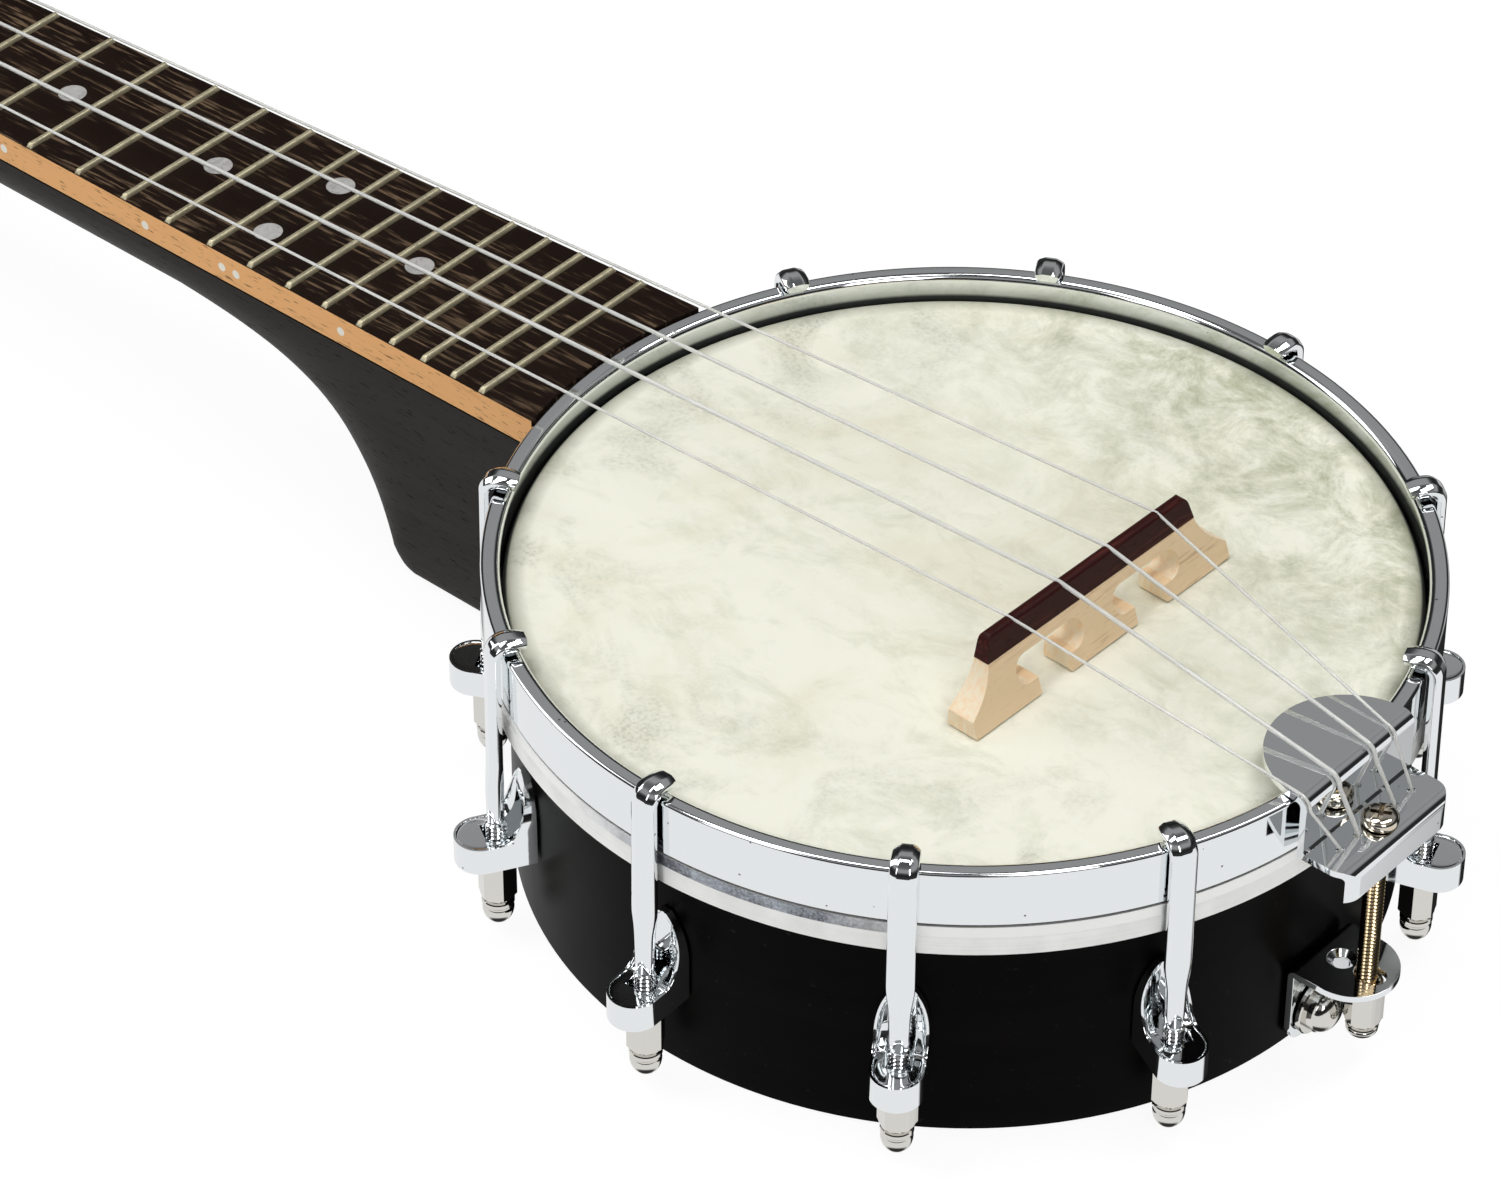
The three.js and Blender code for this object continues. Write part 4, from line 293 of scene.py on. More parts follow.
class StringSettings(PropertyGroup):
    """Strings, bass side first"""
    string_radii: lengths("String radii", (0.3, 0.45, 0.4, 0.3), "Radius of each string")
    bend_places: lengths("Bend places", (-15.2, -6.9, 3.6, 9.8), "Where they cross the tailpiece's bend")
    bridge_spacing: length("Spacing at the bridge", 13.5, "Between two strings at the bridge")
    nut_spacing: length("Spacing at the nut", 9.5, "Between two strings at the nut")
    nut_offset: length("Offset at the nut", 0.7, "Of the row's middle, to the treble side")
    nut_level: length("Level at the nut", 1.7, "Middle of a string above the board")
    below_top: length("Below bridge top", 0.3, "Middle of a string below the bridge's top")
    knot: length("Knot", 1.15, "Radius of the knot")
    turns: whole("Turns", 3, "Turns round a post")
    turn_gap: length("Turn gap", 0.46, "Between two turns")
    winding_top: length("Winding top", 10.6, "Above the face of the head")
    string_tail: length("String tail", 4, "Free end at the post")


class FinishSettings(PropertyGroup):
    """Colours"""
    lacquer: colour("Lacquer", 0.0012, 0.0008, 0.0008, "Rim's lacquer")
    skin: colour("Skin", 0.885, 0.882, 0.755, "Drum skin")
    # Also the colour mixed in as painted shade along the hoop
    skin_shade: colour("Skin shade", 0.235, 0.245, 0.165, "Fibres and smudges of the skin")
    skin_tan: colour("Skin tan", 0.72, 0.66, 0.47, "Tan clouds of the skin")
    chrome: colour("Chrome", 0.86, 0.885, 0.9, "Polished chrome")
    aluminium: colour("Aluminium", 0.92, 0.92, 0.9, "Flesh hoop")
    rubbed: colour("Rubbed band", 0.2, 0.215, 0.24, "Upper band of the flesh hoop")
    nickel: colour("Nickel", 0.72, 0.705, 0.665, "Nuts and rod")
    brass: colour("Brass", 0.78, 0.6, 0.36, "Tailpiece screw")
    stain: colour("Stain", 0.0125, 0.0108, 0.0095, "Black stain of the neck")
    board: colour("Board", 0.0115, 0.0055, 0.0035, "Fingerboard")
    board_streak: colour("Board streak", 0.15, 0.1, 0.062, "Light streaks of the fingerboard")
    board_edge: colour("Board edge", 0.76, 0.4, 0.155, "Edge of the fingerboard")
    fret: colour("Fret", 0.62, 0.56, 0.38, "Frets")
    pearl: colour("Pearl", 0.45, 0.44, 0.43, "Position dots")
    bone: colour("Bone", 0.82, 0.78, 0.68, "String nut and side dots")
    maple: colour("Maple", 0.93, 0.7, 0.45, "Base of the bridge")
    maple_dark: colour("Maple grain", 0.56, 0.34, 0.18, "Grain of the bridge's base")
    maple_sawn: colour("Sawn maple", 0.93, 0.8, 0.6, "End grain of the bridge's base")
    cap: colour("Cap", 0.034, 0.0065, 0.0055, "Cap of the bridge")
    cap_light: colour("Cap grain", 0.13, 0.026, 0.02, "Grain of the bridge's cap")
    nylon: colour("Nylon", 0.93, 0.93, 0.9, "Strings")


SETTINGS = {
    "ukulele_pot": PotSettings,
    "ukulele_fittings": FittingSettings,
    "ukulele_tail": TailSettings,
    "ukulele_neck": NeckSettings,
    "ukulele_tuners": TunerSettings,
    "ukulele_bridge": BridgeSettings,
    "ukulele_strings": StringSettings,
    "ukulele_finishes": FinishSettings,
}


def about(axis, turn):
    return Matrix.Rotation(turn, 4, axis)


def measures():
    """All settings, with lengths in millimetres, and the sizes that follow from them"""
    m = SimpleNamespace()
    for key in SETTINGS:
        group = getattr(bpy.context.scene, key)
        for prop in group.bl_rna.properties:
            if prop.identifier in ("rna_type", "name"):
                continue
            value = getattr(group, prop.identifier)
            if getattr(prop, "unit", "NONE") == "LENGTH":
                value = [part / MM for part in value] if prop.is_array else value / MM
            setattr(m, prop.identifier, value)
    m.rim_inner = m.rim_radius - m.rim_wall
    m.skin_radius = m.rim_radius + m.seat_gap + m.skin_thickness
    m.skin_top = m.rim_height + m.seat_gap + m.skin_thickness
    m.hoop_inner = m.skin_radius + m.seat_gap
    m.hoop_outer = m.hoop_inner + m.hoop_wall
    m.hoop_top = m.skin_top + m.hoop_rise
    m.hoop_bottom = m.hoop_top - m.hoop_height
    m.flesh_top = m.hoop_bottom - m.seat_gap
    m.flesh_bottom = m.flesh_top - m.flesh_hoop_height
    m.rod_axis = m.hoop_outer + m.hook_standoff
    m.nose_axis = m.rod_axis + m.shoe_nose
    m.board_top = m.skin_top + m.board_rise
    m.bridge_top = m.skin_top + m.bridge_height
    m.nut_line = m.bridge_line - m.scale_length
    m.head_start = m.nut_line - m.nut_thickness
    m.neck_top = -m.board_thickness - m.seat_gap
    m.web_inner = m.hoop_outer + m.seat_gap
    m.plate_top = m.hoop_top + m.seat_gap + m.sheet
    m.shelf_top = m.plate_top - m.web_height
    m.lip_outer = m.web_inner + m.lip_reach + m.sheet
    m.screw_x = m.lip_outer - m.screw_setback - m.sheet
    m.string_hole_x = m.screw_x - m.string_hole_back
    m.bracket_back = m.rim_radius + m.seat_gap
    m.bushing = m.post_radius + m.running_gap + m.bushing_wall
    m.post_hole_height = m.winding_top + m.string_radii[1] + m.post_hole
    m.gear_pitch = m.gear_teeth * m.gear_module / 2
    m.gear_outer = m.gear_pitch + 0.75 * m.gear_module
    m.gear_root = m.gear_pitch - 1.2 * m.gear_module
    m.worm_outer = m.worm_pitch_radius + 0.75 * m.gear_module
    m.worm_offset = m.gear_pitch + m.worm_pitch_radius
    m.worm_pitch = math.pi * m.gear_module
    m.tuner_top = -m.head_thickness - m.seat_gap
    m.worm_level = m.tuner_top - m.plate - m.worm_gap - m.worm_outer
    m.gear_top = m.worm_level + m.gear_thickness / 2
    m.bridge_foot = m.skin_top + m.seat_gap
    m.bridge_seat = m.bridge_top - m.cap_height
    m.neck = Matrix.Translation((m.pivot, 0, m.board_top)) @ about("Y", -m.tilt)
    head_place = Matrix.Translation((m.head_start - m.pivot, 0, -m.head_drop))
    m.head = m.neck @ head_place @ about("Y", -m.head_angle)
    m.bridge = Matrix.Translation((m.bridge_line, 0, 0)) @ about("Z", -m.skew)
    m.posts = [(-m.post_near, -1), (-m.post_far, -1), (-m.post_far, 1), (-m.post_near, 1)]
    places = (-1.5, -0.5, 0.5, 1.5)
    m.bridge_y = [place * m.bridge_spacing for place in places]
    m.nut_y = [place * m.nut_spacing + m.nut_offset for place in places]
    return m


def hook_angles(m):
    """Angles of the hooks: from the heel round the treble side, then round the bass side"""
    steps = ((1, m.treble_step), (-1, m.bass_step))
    return [side * (math.pi - m.first_angle - i * step) for side, step in steps for i in range(m.hooks_per_side)]


# Shapes, in millimetres

HOOK_THREAD_DEPTH = 0.42
SCREW_THREAD_DEPTH = 0.38
BOLT_SLOT_HALF = 0.45
POST_SLOT_HALF = 0.3
CROSS_TURN = 0.5

DOT_FRETS = (3, 5, 7, 10, 12, 15)
PAIR_FRET = 12
PAIR_SPREAD = 10.2
SIDE_PAIR_SPREAD = 2
DOT_SUNK, DOT_PROUD = 0.3, 0.03

TURN_STEPS = 24


class Shape:
    """Points, the faces between them, and the number of each face's finish"""

    def __init__(self, points, faces, marks=None):
        self.points = [Vector(point) for point in points]
        self.faces = [tuple(face) for face in faces]
        self.marks = list(marks) if marks else [0] * len(self.faces)

    def with_shape(self, *others):
        points, faces, marks = list(self.points), list(self.faces), list(self.marks)
        for other in others:
            start = len(points)
            points += other.points
            faces += [tuple(start + corner for corner in face) for face in other.faces]
            marks += other.marks
        return Shape(points, faces, marks)

    def moved(self, matrix):
        return Shape([matrix @ point for point in self.points], self.faces, self.marks)

    def shifted(self, x, y, z):
        return self.moved(Matrix.Translation((x, y, z)))

    def marked(self, test):
        """Faces whose middle and direction pass the test get the second finish"""
        marks = list(self.marks)
        for i, face in enumerate(self.faces):
            corners = [self.points[corner] for corner in face]
            middle = sum(corners, Vector()) / len(corners)
            direction = Vector()
            for a, b in zip(corners, corners[1:] + corners[:1]):
                direction += (a - middle).cross(b - middle)
            if direction.length > 0 and test(middle, direction.normalized()):
                marks[i] = 1
        return Shape(self.points, self.faces, marks)


def loft(rings, around=False, caps=True):
    """A skin over rings of equally many points, open, capped or joined end to end"""
    count = len(rings[0])
    points = [point for ring in rings for point in ring]
    faces = []
    for i in range(len(rings) if around else len(rings) - 1):
        low, high = i * count, (i + 1) % len(rings) * count
        for k in range(count):
            n = (k + 1) % count
            faces.append((low + k, low + n, high + n, high + k))
    if caps and not around:
        faces.append(tuple(reversed(range(count))))
        faces.append(tuple(len(points) - count + k for k in range(count)))
    return Shape(points, faces)


def turned(profile, steps=96):
    """A closed profile of radius and height, turned about Z"""
    rings = []
    for k in range(steps):
        c, s = math.cos(FULL_TURN * k / steps), math.sin(FULL_TURN * k / steps)
        rings.append([(r * c, r * s, z) for r, z in profile])
    return loft(rings, around=True)


def turned_x(profile, steps):
    return turned(profile, steps).moved(about("Y", QUARTER_TURN))


def rod(radius, low, high, steps=48):
    return turned([(0, low), (radius, low), (radius, high), (0, high)], steps)


def rod_x(radius, low, high, steps=32):
    return rod(radius, low, high, steps).moved(about("Y", QUARTER_TURN))


def evenly(start, end, count):
    return [start + (end - start) * i / count for i in range(count + 1)]


def oval_arc(a, b, across, up, start, end, count):
    """Points of an oval's arc in a profile"""
    return [(a + across * math.cos(t), b + up * math.sin(t)) for t in evenly(start, end, count)]


def arc(a, b, radius, start, end, count):
    return oval_arc(a, b, radius, radius, start, end, count)


def mirrored(points):
    """The same points on the other side, from the last to the first"""
    return [(-a, b) for a, b in reversed(points)]


def prism(outline, low, high, axis):
    """An outline across an axis, drawn out between two places on it"""
    place = {
        "X": lambda u, v, w: (w, u, v),
        "Y": lambda u, v, w: (u, w, v),
        "Z": lambda u, v, w: (u, v, w),
    }[axis]
    return loft([[place(u, v, w) for u, v in outline] for w in (low, high)])


def box(x0, x1, y0, y1, z0, z1):
    return prism([(x0, y0), (x1, y0), (x1, y1), (x0, y1)], z0, z1, "Z")


def bent(start, knee, end, t):
    """A point of a curve from its start towards a knee to its end"""
    return tuple((1 - t) ** 2 * a + 2 * t * (1 - t) * b + t * t * c for a, b, c in zip(start, knee, end))


def groove(y, floor, radius, top, low, high):
    """What a string's groove takes away: a round floor and open sides, along X"""
    section = [(y - radius, top), *arc(y, floor + radius, radius, math.pi, FULL_TURN, 8), (y + radius, top)]
    return prism(section, low, high, "X")


def pillow(outline, low, high, rounding, steps):
    """A prism along Z whose edges are rounded, from an outline without sharp hollows"""
    count = len(outline)
    inward = []
    for k in range(count):
        a, b = Vector(outline[k - 1]), Vector(outline[(k + 1) % count])
        inward.append(Vector((a.y - b.y, b.x - a.x)).normalized())
    area = sum(a[0] * b[1] - b[0] * a[1] for a, b in zip(outline[-1:] + outline[:-1], outline))
    side = 1 if area > 0 else -1
    rings = []
    for z, turn in [(low, i) for i in range(steps + 1)] + [(high, steps - i) for i in range(steps + 1)]:
        share = QUARTER_TURN * turn / steps
        inset = rounding * (1 - math.sin(share))
        level = z + (1 if z == low else -1) * rounding * (1 - math.cos(share))
        inset *= side
        rings.append([(x + n.x * inset, y + n.y * inset, level) for (x, y), n in zip(outline, inward)])
    return loft(rings)


def smooth_table(rows, steps):
    """A curve through the rows of a table, with more rows between them"""
    rows = [Vector(row) for row in rows]
    result = []
    for i in range(len(rows) - 1):
        before, a, b, after = rows[max(i - 1, 0)], rows[i], rows[i + 1], rows[min(i + 2, len(rows) - 1)]
        for k in range(steps):
            t = k / steps
            result.append(
                a + (b - before) * (t / 2)
                + (2 * before - 5 * a + 4 * b - after) * (t * t / 2)
                + (3 * a - before - 3 * b + after) * (t ** 3 / 2)
            )
    return result + [rows[-1]]


def direction_at(points, i):
    return (points[min(i + 1, len(points) - 1)] - points[max(i - 1, 0)]).normalized()


def tube(points, radii, sides):
    """A round tube through points, with one radius for each of them"""
    rings = []
    across = Vector((0, 1, 0))
    turns = [FULL_TURN * k / sides for k in range(sides)]
    for i, (point, radius) in enumerate(zip(points, radii)):
        along = direction_at(points, i)
        across = (across - along * across.dot(along)).normalized()
        third = along.cross(across)
        rings.append([point + across * (radius * math.cos(t)) + third * (radius * math.sin(t)) for t in turns])
    return loft(rings)


def threaded(radius, depth, pitch, low, high, steps, rows_per_turn=8):
    """A rod with a helical thread along Z"""
    rows = max(2, round((high - low) / pitch * rows_per_turn))
    rings = []
    for i in range(rows + 1):
        z = low + (high - low) * i / rows
        ring = []
        for k in range(steps):
            turn = FULL_TURN * k / steps
            phase = (z / pitch - k / steps) % 1
            groove = abs(2 * phase - 1)
            fade = min(1, i / 2, (rows - i) / 2)
            r = radius - depth * groove * fade - depth * (1 - fade)
            ring.append((r * math.cos(turn), r * math.sin(turn), z))
        rings.append(ring)
    return loft(rings)


def linked(name, data):
    """A new object in the scene"""
    made = bpy.data.objects.new(name, data)
    bpy.context.scene.collection.objects.link(made)
    return made


def clean_mesh(name, shape, finishes=(), centre=Vector(), scale=1):
    """The shape as a mesh without doubled points, its faces turned outwards"""
    mesh = bpy.data.meshes.new(name)
    mesh.from_pydata([tuple(centre + point * scale) for point in shape.points], [], shape.faces)
    for key in finishes:
        mesh.materials.append(finish(key))
    mesh.polygons.foreach_set("material_index", shape.marks)
    work = bmesh.new()
    work.from_mesh(mesh)
    bmesh.ops.remove_doubles(work, verts=work.verts, dist=MERGE_DISTANCE * scale)
    bmesh.ops.recalc_face_normals(work, faces=work.faces)
    work.to_mesh(mesh)
    work.free()
    return mesh


def evaluated_mesh(made):
    bpy.context.view_layer.update()
    depsgraph = bpy.context.evaluated_depsgraph_get()
    return bpy.data.meshes.new_from_object(made.evaluated_get(depsgraph))


def modified(name, mesh, kind, **values):
    """The mesh with one modifier made real"""
    made = linked(name, mesh)
    modifier = made.modifiers.new("Modifier", kind)
    for key, value in values.items():
        setattr(modifier, key, value)
    result = evaluated_mesh(made)
    discard(made)
    result.name = name
    return result


def discard(*made):
    for item in made:
        mesh = item.data
        bpy.data.objects.remove(item)
        if mesh.users == 0:
            bpy.data.meshes.remove(mesh)


def combined(operation, first, *others):
    """Shapes joined, cut or crossed with one another"""
    base = linked("base", clean_mesh("base", first))
    tools = [linked("tool", clean_mesh("tool", other)) for other in others]
    for tool in tools:
        modifier = base.modifiers.new("Shape", "BOOLEAN")
        modifier.operation = operation
        modifier.solver = "EXACT"
        modifier.object = tool
    mesh = evaluated_mesh(base)
    shape = Shape([vertex.co for vertex in mesh.vertices], [polygon.vertices for polygon in mesh.polygons])
    bpy.data.meshes.remove(mesh)
    discard(base, *tools)
    if not shape.faces:
        raise RuntimeError("A shape came out empty")
    return shape


def joined(first, *others):
    return combined("UNION", first, *others)


def cut(first, *others):
    return combined("DIFFERENCE", first, *others)


def common(first, *others):
    return combined("INTERSECT", first, *others)


# Pieces

def piece_mesh(name, shape, finishes, centre, bevel, crease):
    """The shape as a mesh in metres, with its finishes, bevels and smooth faces"""
    mesh = clean_mesh(name, shape, finishes, centre, MM)
    if bevel:
        mesh = modified(
            name, mesh, "BEVEL", width=bevel * MM, segments=2, limit_method="ANGLE", angle_limit=BEVEL_ANGLE,
        )
    mesh.shade_smooth()
    mesh.set_sharp_from_angle(angle=math.radians(crease))
    return modified(name, mesh, "WEIGHTED_NORMAL", keep_sharp=True)


def settle(name, mesh, nodes=(), body="body"):
    """A finished mesh becomes a piece that rides a body and stands for its nodes"""
    piece = linked(name, mesh)
    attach(piece, body)
    if nodes:
        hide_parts(*nodes)


def make_piece(name, shape, finishes, nodes=(), body="body", bevel=0, crease=34):
    settle(name, piece_mesh(name, shape, finishes, POT_CENTRE, bevel, crease), nodes, body)


# Node trees

VECTOR, FLOAT, COLOUR = "NodeSocketVector", "NodeSocketFloat", "NodeSocketColor"
INTEGER, GEOMETRY, MATERIAL = "NodeSocketInt", "NodeSocketGeometry", "NodeSocketMaterial"


def fill(tree, socket, value):
    """Sets an input, or links it where the value is another node's socket"""
    if isinstance(value, bpy.types.NodeSocket):
        tree.links.new(value, socket)
    else:
        socket.default_value = value


def node(tree, kind, inputs=None, **values):
    """A node with its values set and its inputs filled"""
    made = tree.nodes.new(kind)
    for key, value in values.items():
        setattr(made, key, value)
    for key, value in (inputs or {}).items():
        fill(tree, made.inputs[key], value)
    return made


def reckon(tree, operation, a, b=0.0, c=0.0, clamp=False):
    inputs = {0: a, 1: b, 2: c}
    return node(tree, "ShaderNodeMath", inputs, operation=operation, use_clamp=clamp).outputs[0]


def product(tree, a, b, clamp=False):
    return reckon(tree, "MULTIPLY", a, b, clamp=clamp)


def line(tree, value, gain, start):
    return reckon(tree, "MULTIPLY_ADD", value, gain, start)


def group_tree(name, kind, inputs, outputs):
    """A new node group with its inputs and outputs"""
    tree = bpy.data.node_groups.new(name, kind)
    for label, socket_type, default in inputs:
        socket = tree.interface.new_socket(label, in_out="INPUT", socket_type=socket_type)
        if default is not None:
            socket.default_value = default
    for label, socket_type in outputs:
        tree.interface.new_socket(label, in_out="OUTPUT", socket_type=socket_type)
    return tree, tree.nodes.new("NodeGroupInput"), tree.nodes.new("NodeGroupOutput")


def grown(name, mesh, tree, values):
    """The mesh that a Geometry Nodes tree makes of another mesh"""
    seed = linked(name, mesh)
    modifier = seed.modifiers.new("Repeat", "NODES")
    modifier.node_group = tree
    for item in tree.interface.items_tree:
        if item.item_type == "SOCKET" and item.in_out == "INPUT" and item.name in values:
            modifier[item.identifier] = values[item.name]
    result = evaluated_mesh(seed)
    seed.modifiers.remove(modifier)
    discard(seed)
    result.name = name
    return result


def finish_tree(tree, copies, material, end):
    """Copies made real and given their finish, as the tree's result"""
    real = node(tree, "GeometryNodeRealizeInstances", {"Geometry": copies.outputs[0]})
    finished = node(tree, "GeometryNodeSetMaterial", {"Geometry": real.outputs[0], "Material": material})
    fill(tree, end.inputs[0], finished.outputs[0])


def ring_of_fittings_tree():
    """Copies of a fitting round the pot, five on each side of the heel"""
    tree, start, end = group_tree(
        "Ring of fittings", "GeometryNodeTree",
        [
            ("Fitting", GEOMETRY, None), ("On each side", INTEGER, 5), ("First angle", FLOAT, 0.5),
            ("Treble step", FLOAT, 0.5), ("Bass step", FLOAT, 0.5), ("Pot centre", VECTOR, None),
            ("Finish", MATERIAL, None),
        ],
        [("Fittings", GEOMETRY)],
    )
    given = start.outputs
    number = node(tree, "GeometryNodeInputIndex").outputs[0]
    is_bass = reckon(tree, "GREATER_THAN", number, reckon(tree, "SUBTRACT", given["On each side"], 0.5))
    place = reckon(tree, "MODULO", number, given["On each side"])
    treble = product(tree, given["Treble step"], reckon(tree, "SUBTRACT", 1, is_bass))
    step = line(tree, given["Bass step"], is_bass, treble)
    passed = line(tree, place, step, given["First angle"])
    turn = product(tree, line(tree, is_bass, -2, 1), reckon(tree, "SUBTRACT", math.pi, passed))
    total = product(tree, given["On each side"], 2)
    points = node(tree, "GeometryNodePoints", {"Count": total, "Position": given["Pot centre"]})
    rotation = node(tree, "FunctionNodeAxisAngleToRotation", {"Axis": (0, 0, 1), "Angle": turn})
    inputs = {"Points": points.outputs[0], "Instance": given["Fitting"], "Rotation": rotation.outputs[0]}
    copies = node(tree, "GeometryNodeInstanceOnPoints", inputs)
    finish_tree(tree, copies, given["Finish"], end)
    return tree


def frets_tree():
    """Frets along the board: each place from its share of the scale, each width from the board's"""
    tree, start, end = group_tree(
        "Frets along the board", "GeometryNodeTree",
        [
            ("Fret", GEOMETRY, None), ("Frets", INTEGER, 19), ("Scale length", FLOAT, 0.38),
            ("Width at the nut", FLOAT, 0.03), ("Widening", FLOAT, 0.04), ("Nut place", VECTOR, None),
            ("Slope", FLOAT, 0.0), ("Finish", MATERIAL, None),
        ],
        [("Frets", GEOMETRY)],
    )
    given = start.outputs
    number = reckon(tree, "ADD", node(tree, "GeometryNodeInputIndex").outputs[0], 1)
    left = reckon(tree, "POWER", 2, reckon(tree, "DIVIDE", number, -12))
    along = product(tree, given["Scale length"], reckon(tree, "SUBTRACT", 1, left))
    width = line(tree, along, given["Widening"], given["Width at the nut"])
    place = node(tree, "ShaderNodeCombineXYZ", {"X": along}).outputs[0]
    stretch = node(tree, "ShaderNodeCombineXYZ", {"X": 1, "Y": width, "Z": 1}).outputs[0]
    points = node(tree, "GeometryNodePoints", {"Count": given["Frets"], "Position": place})
    inputs = {"Points": points.outputs[0], "Instance": given["Fret"], "Scale": stretch}
    copies = node(tree, "GeometryNodeInstanceOnPoints", inputs)
    slope = node(tree, "FunctionNodeAxisAngleToRotation", {"Axis": (0, 1, 0), "Angle": given["Slope"]})
    inputs = {"Geometry": copies.outputs[0], "Translation": given["Nut place"], "Rotation": slope.outputs[0]}
    finish_tree(tree, node(tree, "GeometryNodeTransform", inputs), given["Finish"], end)
    return tree


# Finishes

# Distances from the middle of the pot at which the skin changes, in metres: its smudges, the painted shade along the
# hoop, the painted shadow in the crevice at the hoop, and the start of its darker side
SMUDGES_FROM = 0.045
PAINTED_SHADE_FROM = 0.0798
PAINTED_CREVICE_SHADOW_FROM = 0.0833
DARKER_SIDE_FROM = 0.01
DARKER_SIDE = (0.32, 0.95, 0)

# Angle about the pot at which the flesh hoop's band is rubbed bright
RUBBED_SIDE = -1.36

# Height above which the tailpiece's screw is still plated, in metres
PLATED_FROM = 0.0545

# Painted shadow colour for the crevice where the skin meets the hoop, then colours of fibres, pores, dust and specks
PAINTED_SHADOW_TINT = (0.014, 0.015, 0.011)
FIBRE_TINT = (0.92, 0.92, 0.85)
PORE_TINT = (0.004, 0.003, 0.002)
DUST_TINT = (0.03, 0.027, 0.025)
DARK_SPECK_TINT = (0.05, 0.05, 0.05)
PALE_SPECK_TINT = (0.35, 0.33, 0.3)


def rgba(value):
    """A colour or a grey with full alpha; a socket stays as it is"""
    if isinstance(value, bpy.types.NodeSocket):
        return value
    return (*value, 1) if hasattr(value, "__len__") else (value, value, value, 1)


def shade(tint, share):
    """A darker or lighter colour"""
    return tuple(min(1, part * share) for part in tint)


def ramp(tree, factor, *stops):
    """Colours or greys between rising stops of a factor"""
    made = node(tree, "ShaderNodeValToRGB", {"Fac": factor})
    elements = made.color_ramp.elements
    while len(elements) < len(stops):
        elements.new(0.5)
    for element, (place, value) in zip(elements, stops):
        element.position = place
        element.color = rgba(value)
    return made.outputs["Color"]


def toned(tree, factor, tint, *stops):
    """Shares of one colour between rising stops of a factor"""
    return ramp(tree, factor, *((place, shade(tint, share)) for place, share in stops))


def mixed(tree, factor, a, b):
    return node(tree, "ShaderNodeMix", {0: factor, 6: rgba(a), 7: rgba(b)}, data_type="RGBA").outputs[2]


def stretched(tree, vector, scale, turn=0.0):
    """A place scaled along each axis and turned about Z"""
    inputs = {"Vector": vector, "Scale": scale, "Rotation": (0, 0, turn)}
    return node(tree, "ShaderNodeMapping", inputs).outputs[0]


def noise(tree, vector, scale, detail=4, roughness=0.55, distortion=0.0, turn=0.0):
    """Noise of one scale, or of another scale along each axis"""
    if isinstance(scale, tuple):
        vector, scale = stretched(tree, vector, scale, turn), 1
    inputs = {"Vector": vector, "Scale": scale, "Detail": detail, "Roughness": roughness, "Distortion": distortion}
    return node(tree, "ShaderNodeTexNoise", inputs).outputs["Fac"]


def rise(tree, value, start, gain, limited=True):
    """Nothing up to a start, then a rise, which ends at 1 where it is limited"""
    return product(tree, reckon(tree, "SUBTRACT", value, start, clamp=True), gain, clamp=limited)


def vector_math(tree, operation, a, b=(0, 0, 0), output=0):
    return node(tree, "ShaderNodeVectorMath", {0: a, 1: b}, operation=operation).outputs[output]


def bump(tree, height, strength, distance=0.0001):
    return node(tree, "ShaderNodeBump", {"Height": height, "Strength": strength, "Distance": distance}).outputs[0]


def coordinates(tree):
    return node(tree, "ShaderNodeTexCoord").outputs["Object"]


def from_pot_centre(tree, place):
    return node(tree, "ShaderNodeMapping", {"Vector": place, "Location": tuple(-POT_CENTRE)}).outputs[0]


def surface(tree, **values):
    """Fills inputs of the material's shader, named with _ for a space"""
    for key, value in values.items():
        fill(tree, tree.nodes["Principled BSDF"].inputs[key.replace("_", " ")], value)


def wear_group():
    """Smudges, fine marks and specks on metal: a roughness, a mask and a height"""
    tree, start, end = group_tree(
        "Marks on metal", "ShaderNodeTree",
        [("Vector", VECTOR, None), ("Least roughness", FLOAT, 0.05), ("Smudges", FLOAT, 0.1), ("Specks", FLOAT, 0.5)],
        [("Roughness", FLOAT), ("Specks", FLOAT), ("Height", FLOAT)],
    )
    given = start.outputs
    clouds = rise(tree, noise(tree, given["Vector"], 55, 5, 0.6), 0.42, 2.2, limited=False)
    fine = noise(tree, given["Vector"], 900, 2, 0.5)
    dots = node(tree, "ShaderNodeTexVoronoi", {"Vector": given["Vector"], "Scale": 380}).outputs["Distance"]
    rare = reckon(tree, "GREATER_THAN", noise(tree, given["Vector"], 160, 1), 0.62)
    dot = product(tree, reckon(tree, "LESS_THAN", dots, 0.09), rare)
    dot = product(tree, dot, given["Specks"])
    roughness = line(tree, clouds, given["Smudges"], given["Least roughness"])
    roughness = reckon(tree, "ADD", roughness, product(tree, dot, 0.4), clamp=True)
    fill(tree, end.inputs["Roughness"], roughness)
    fill(tree, end.inputs["Specks"], dot)
    fill(tree, end.inputs["Height"], reckon(tree, "SUBTRACT", fine, dot))
    return tree


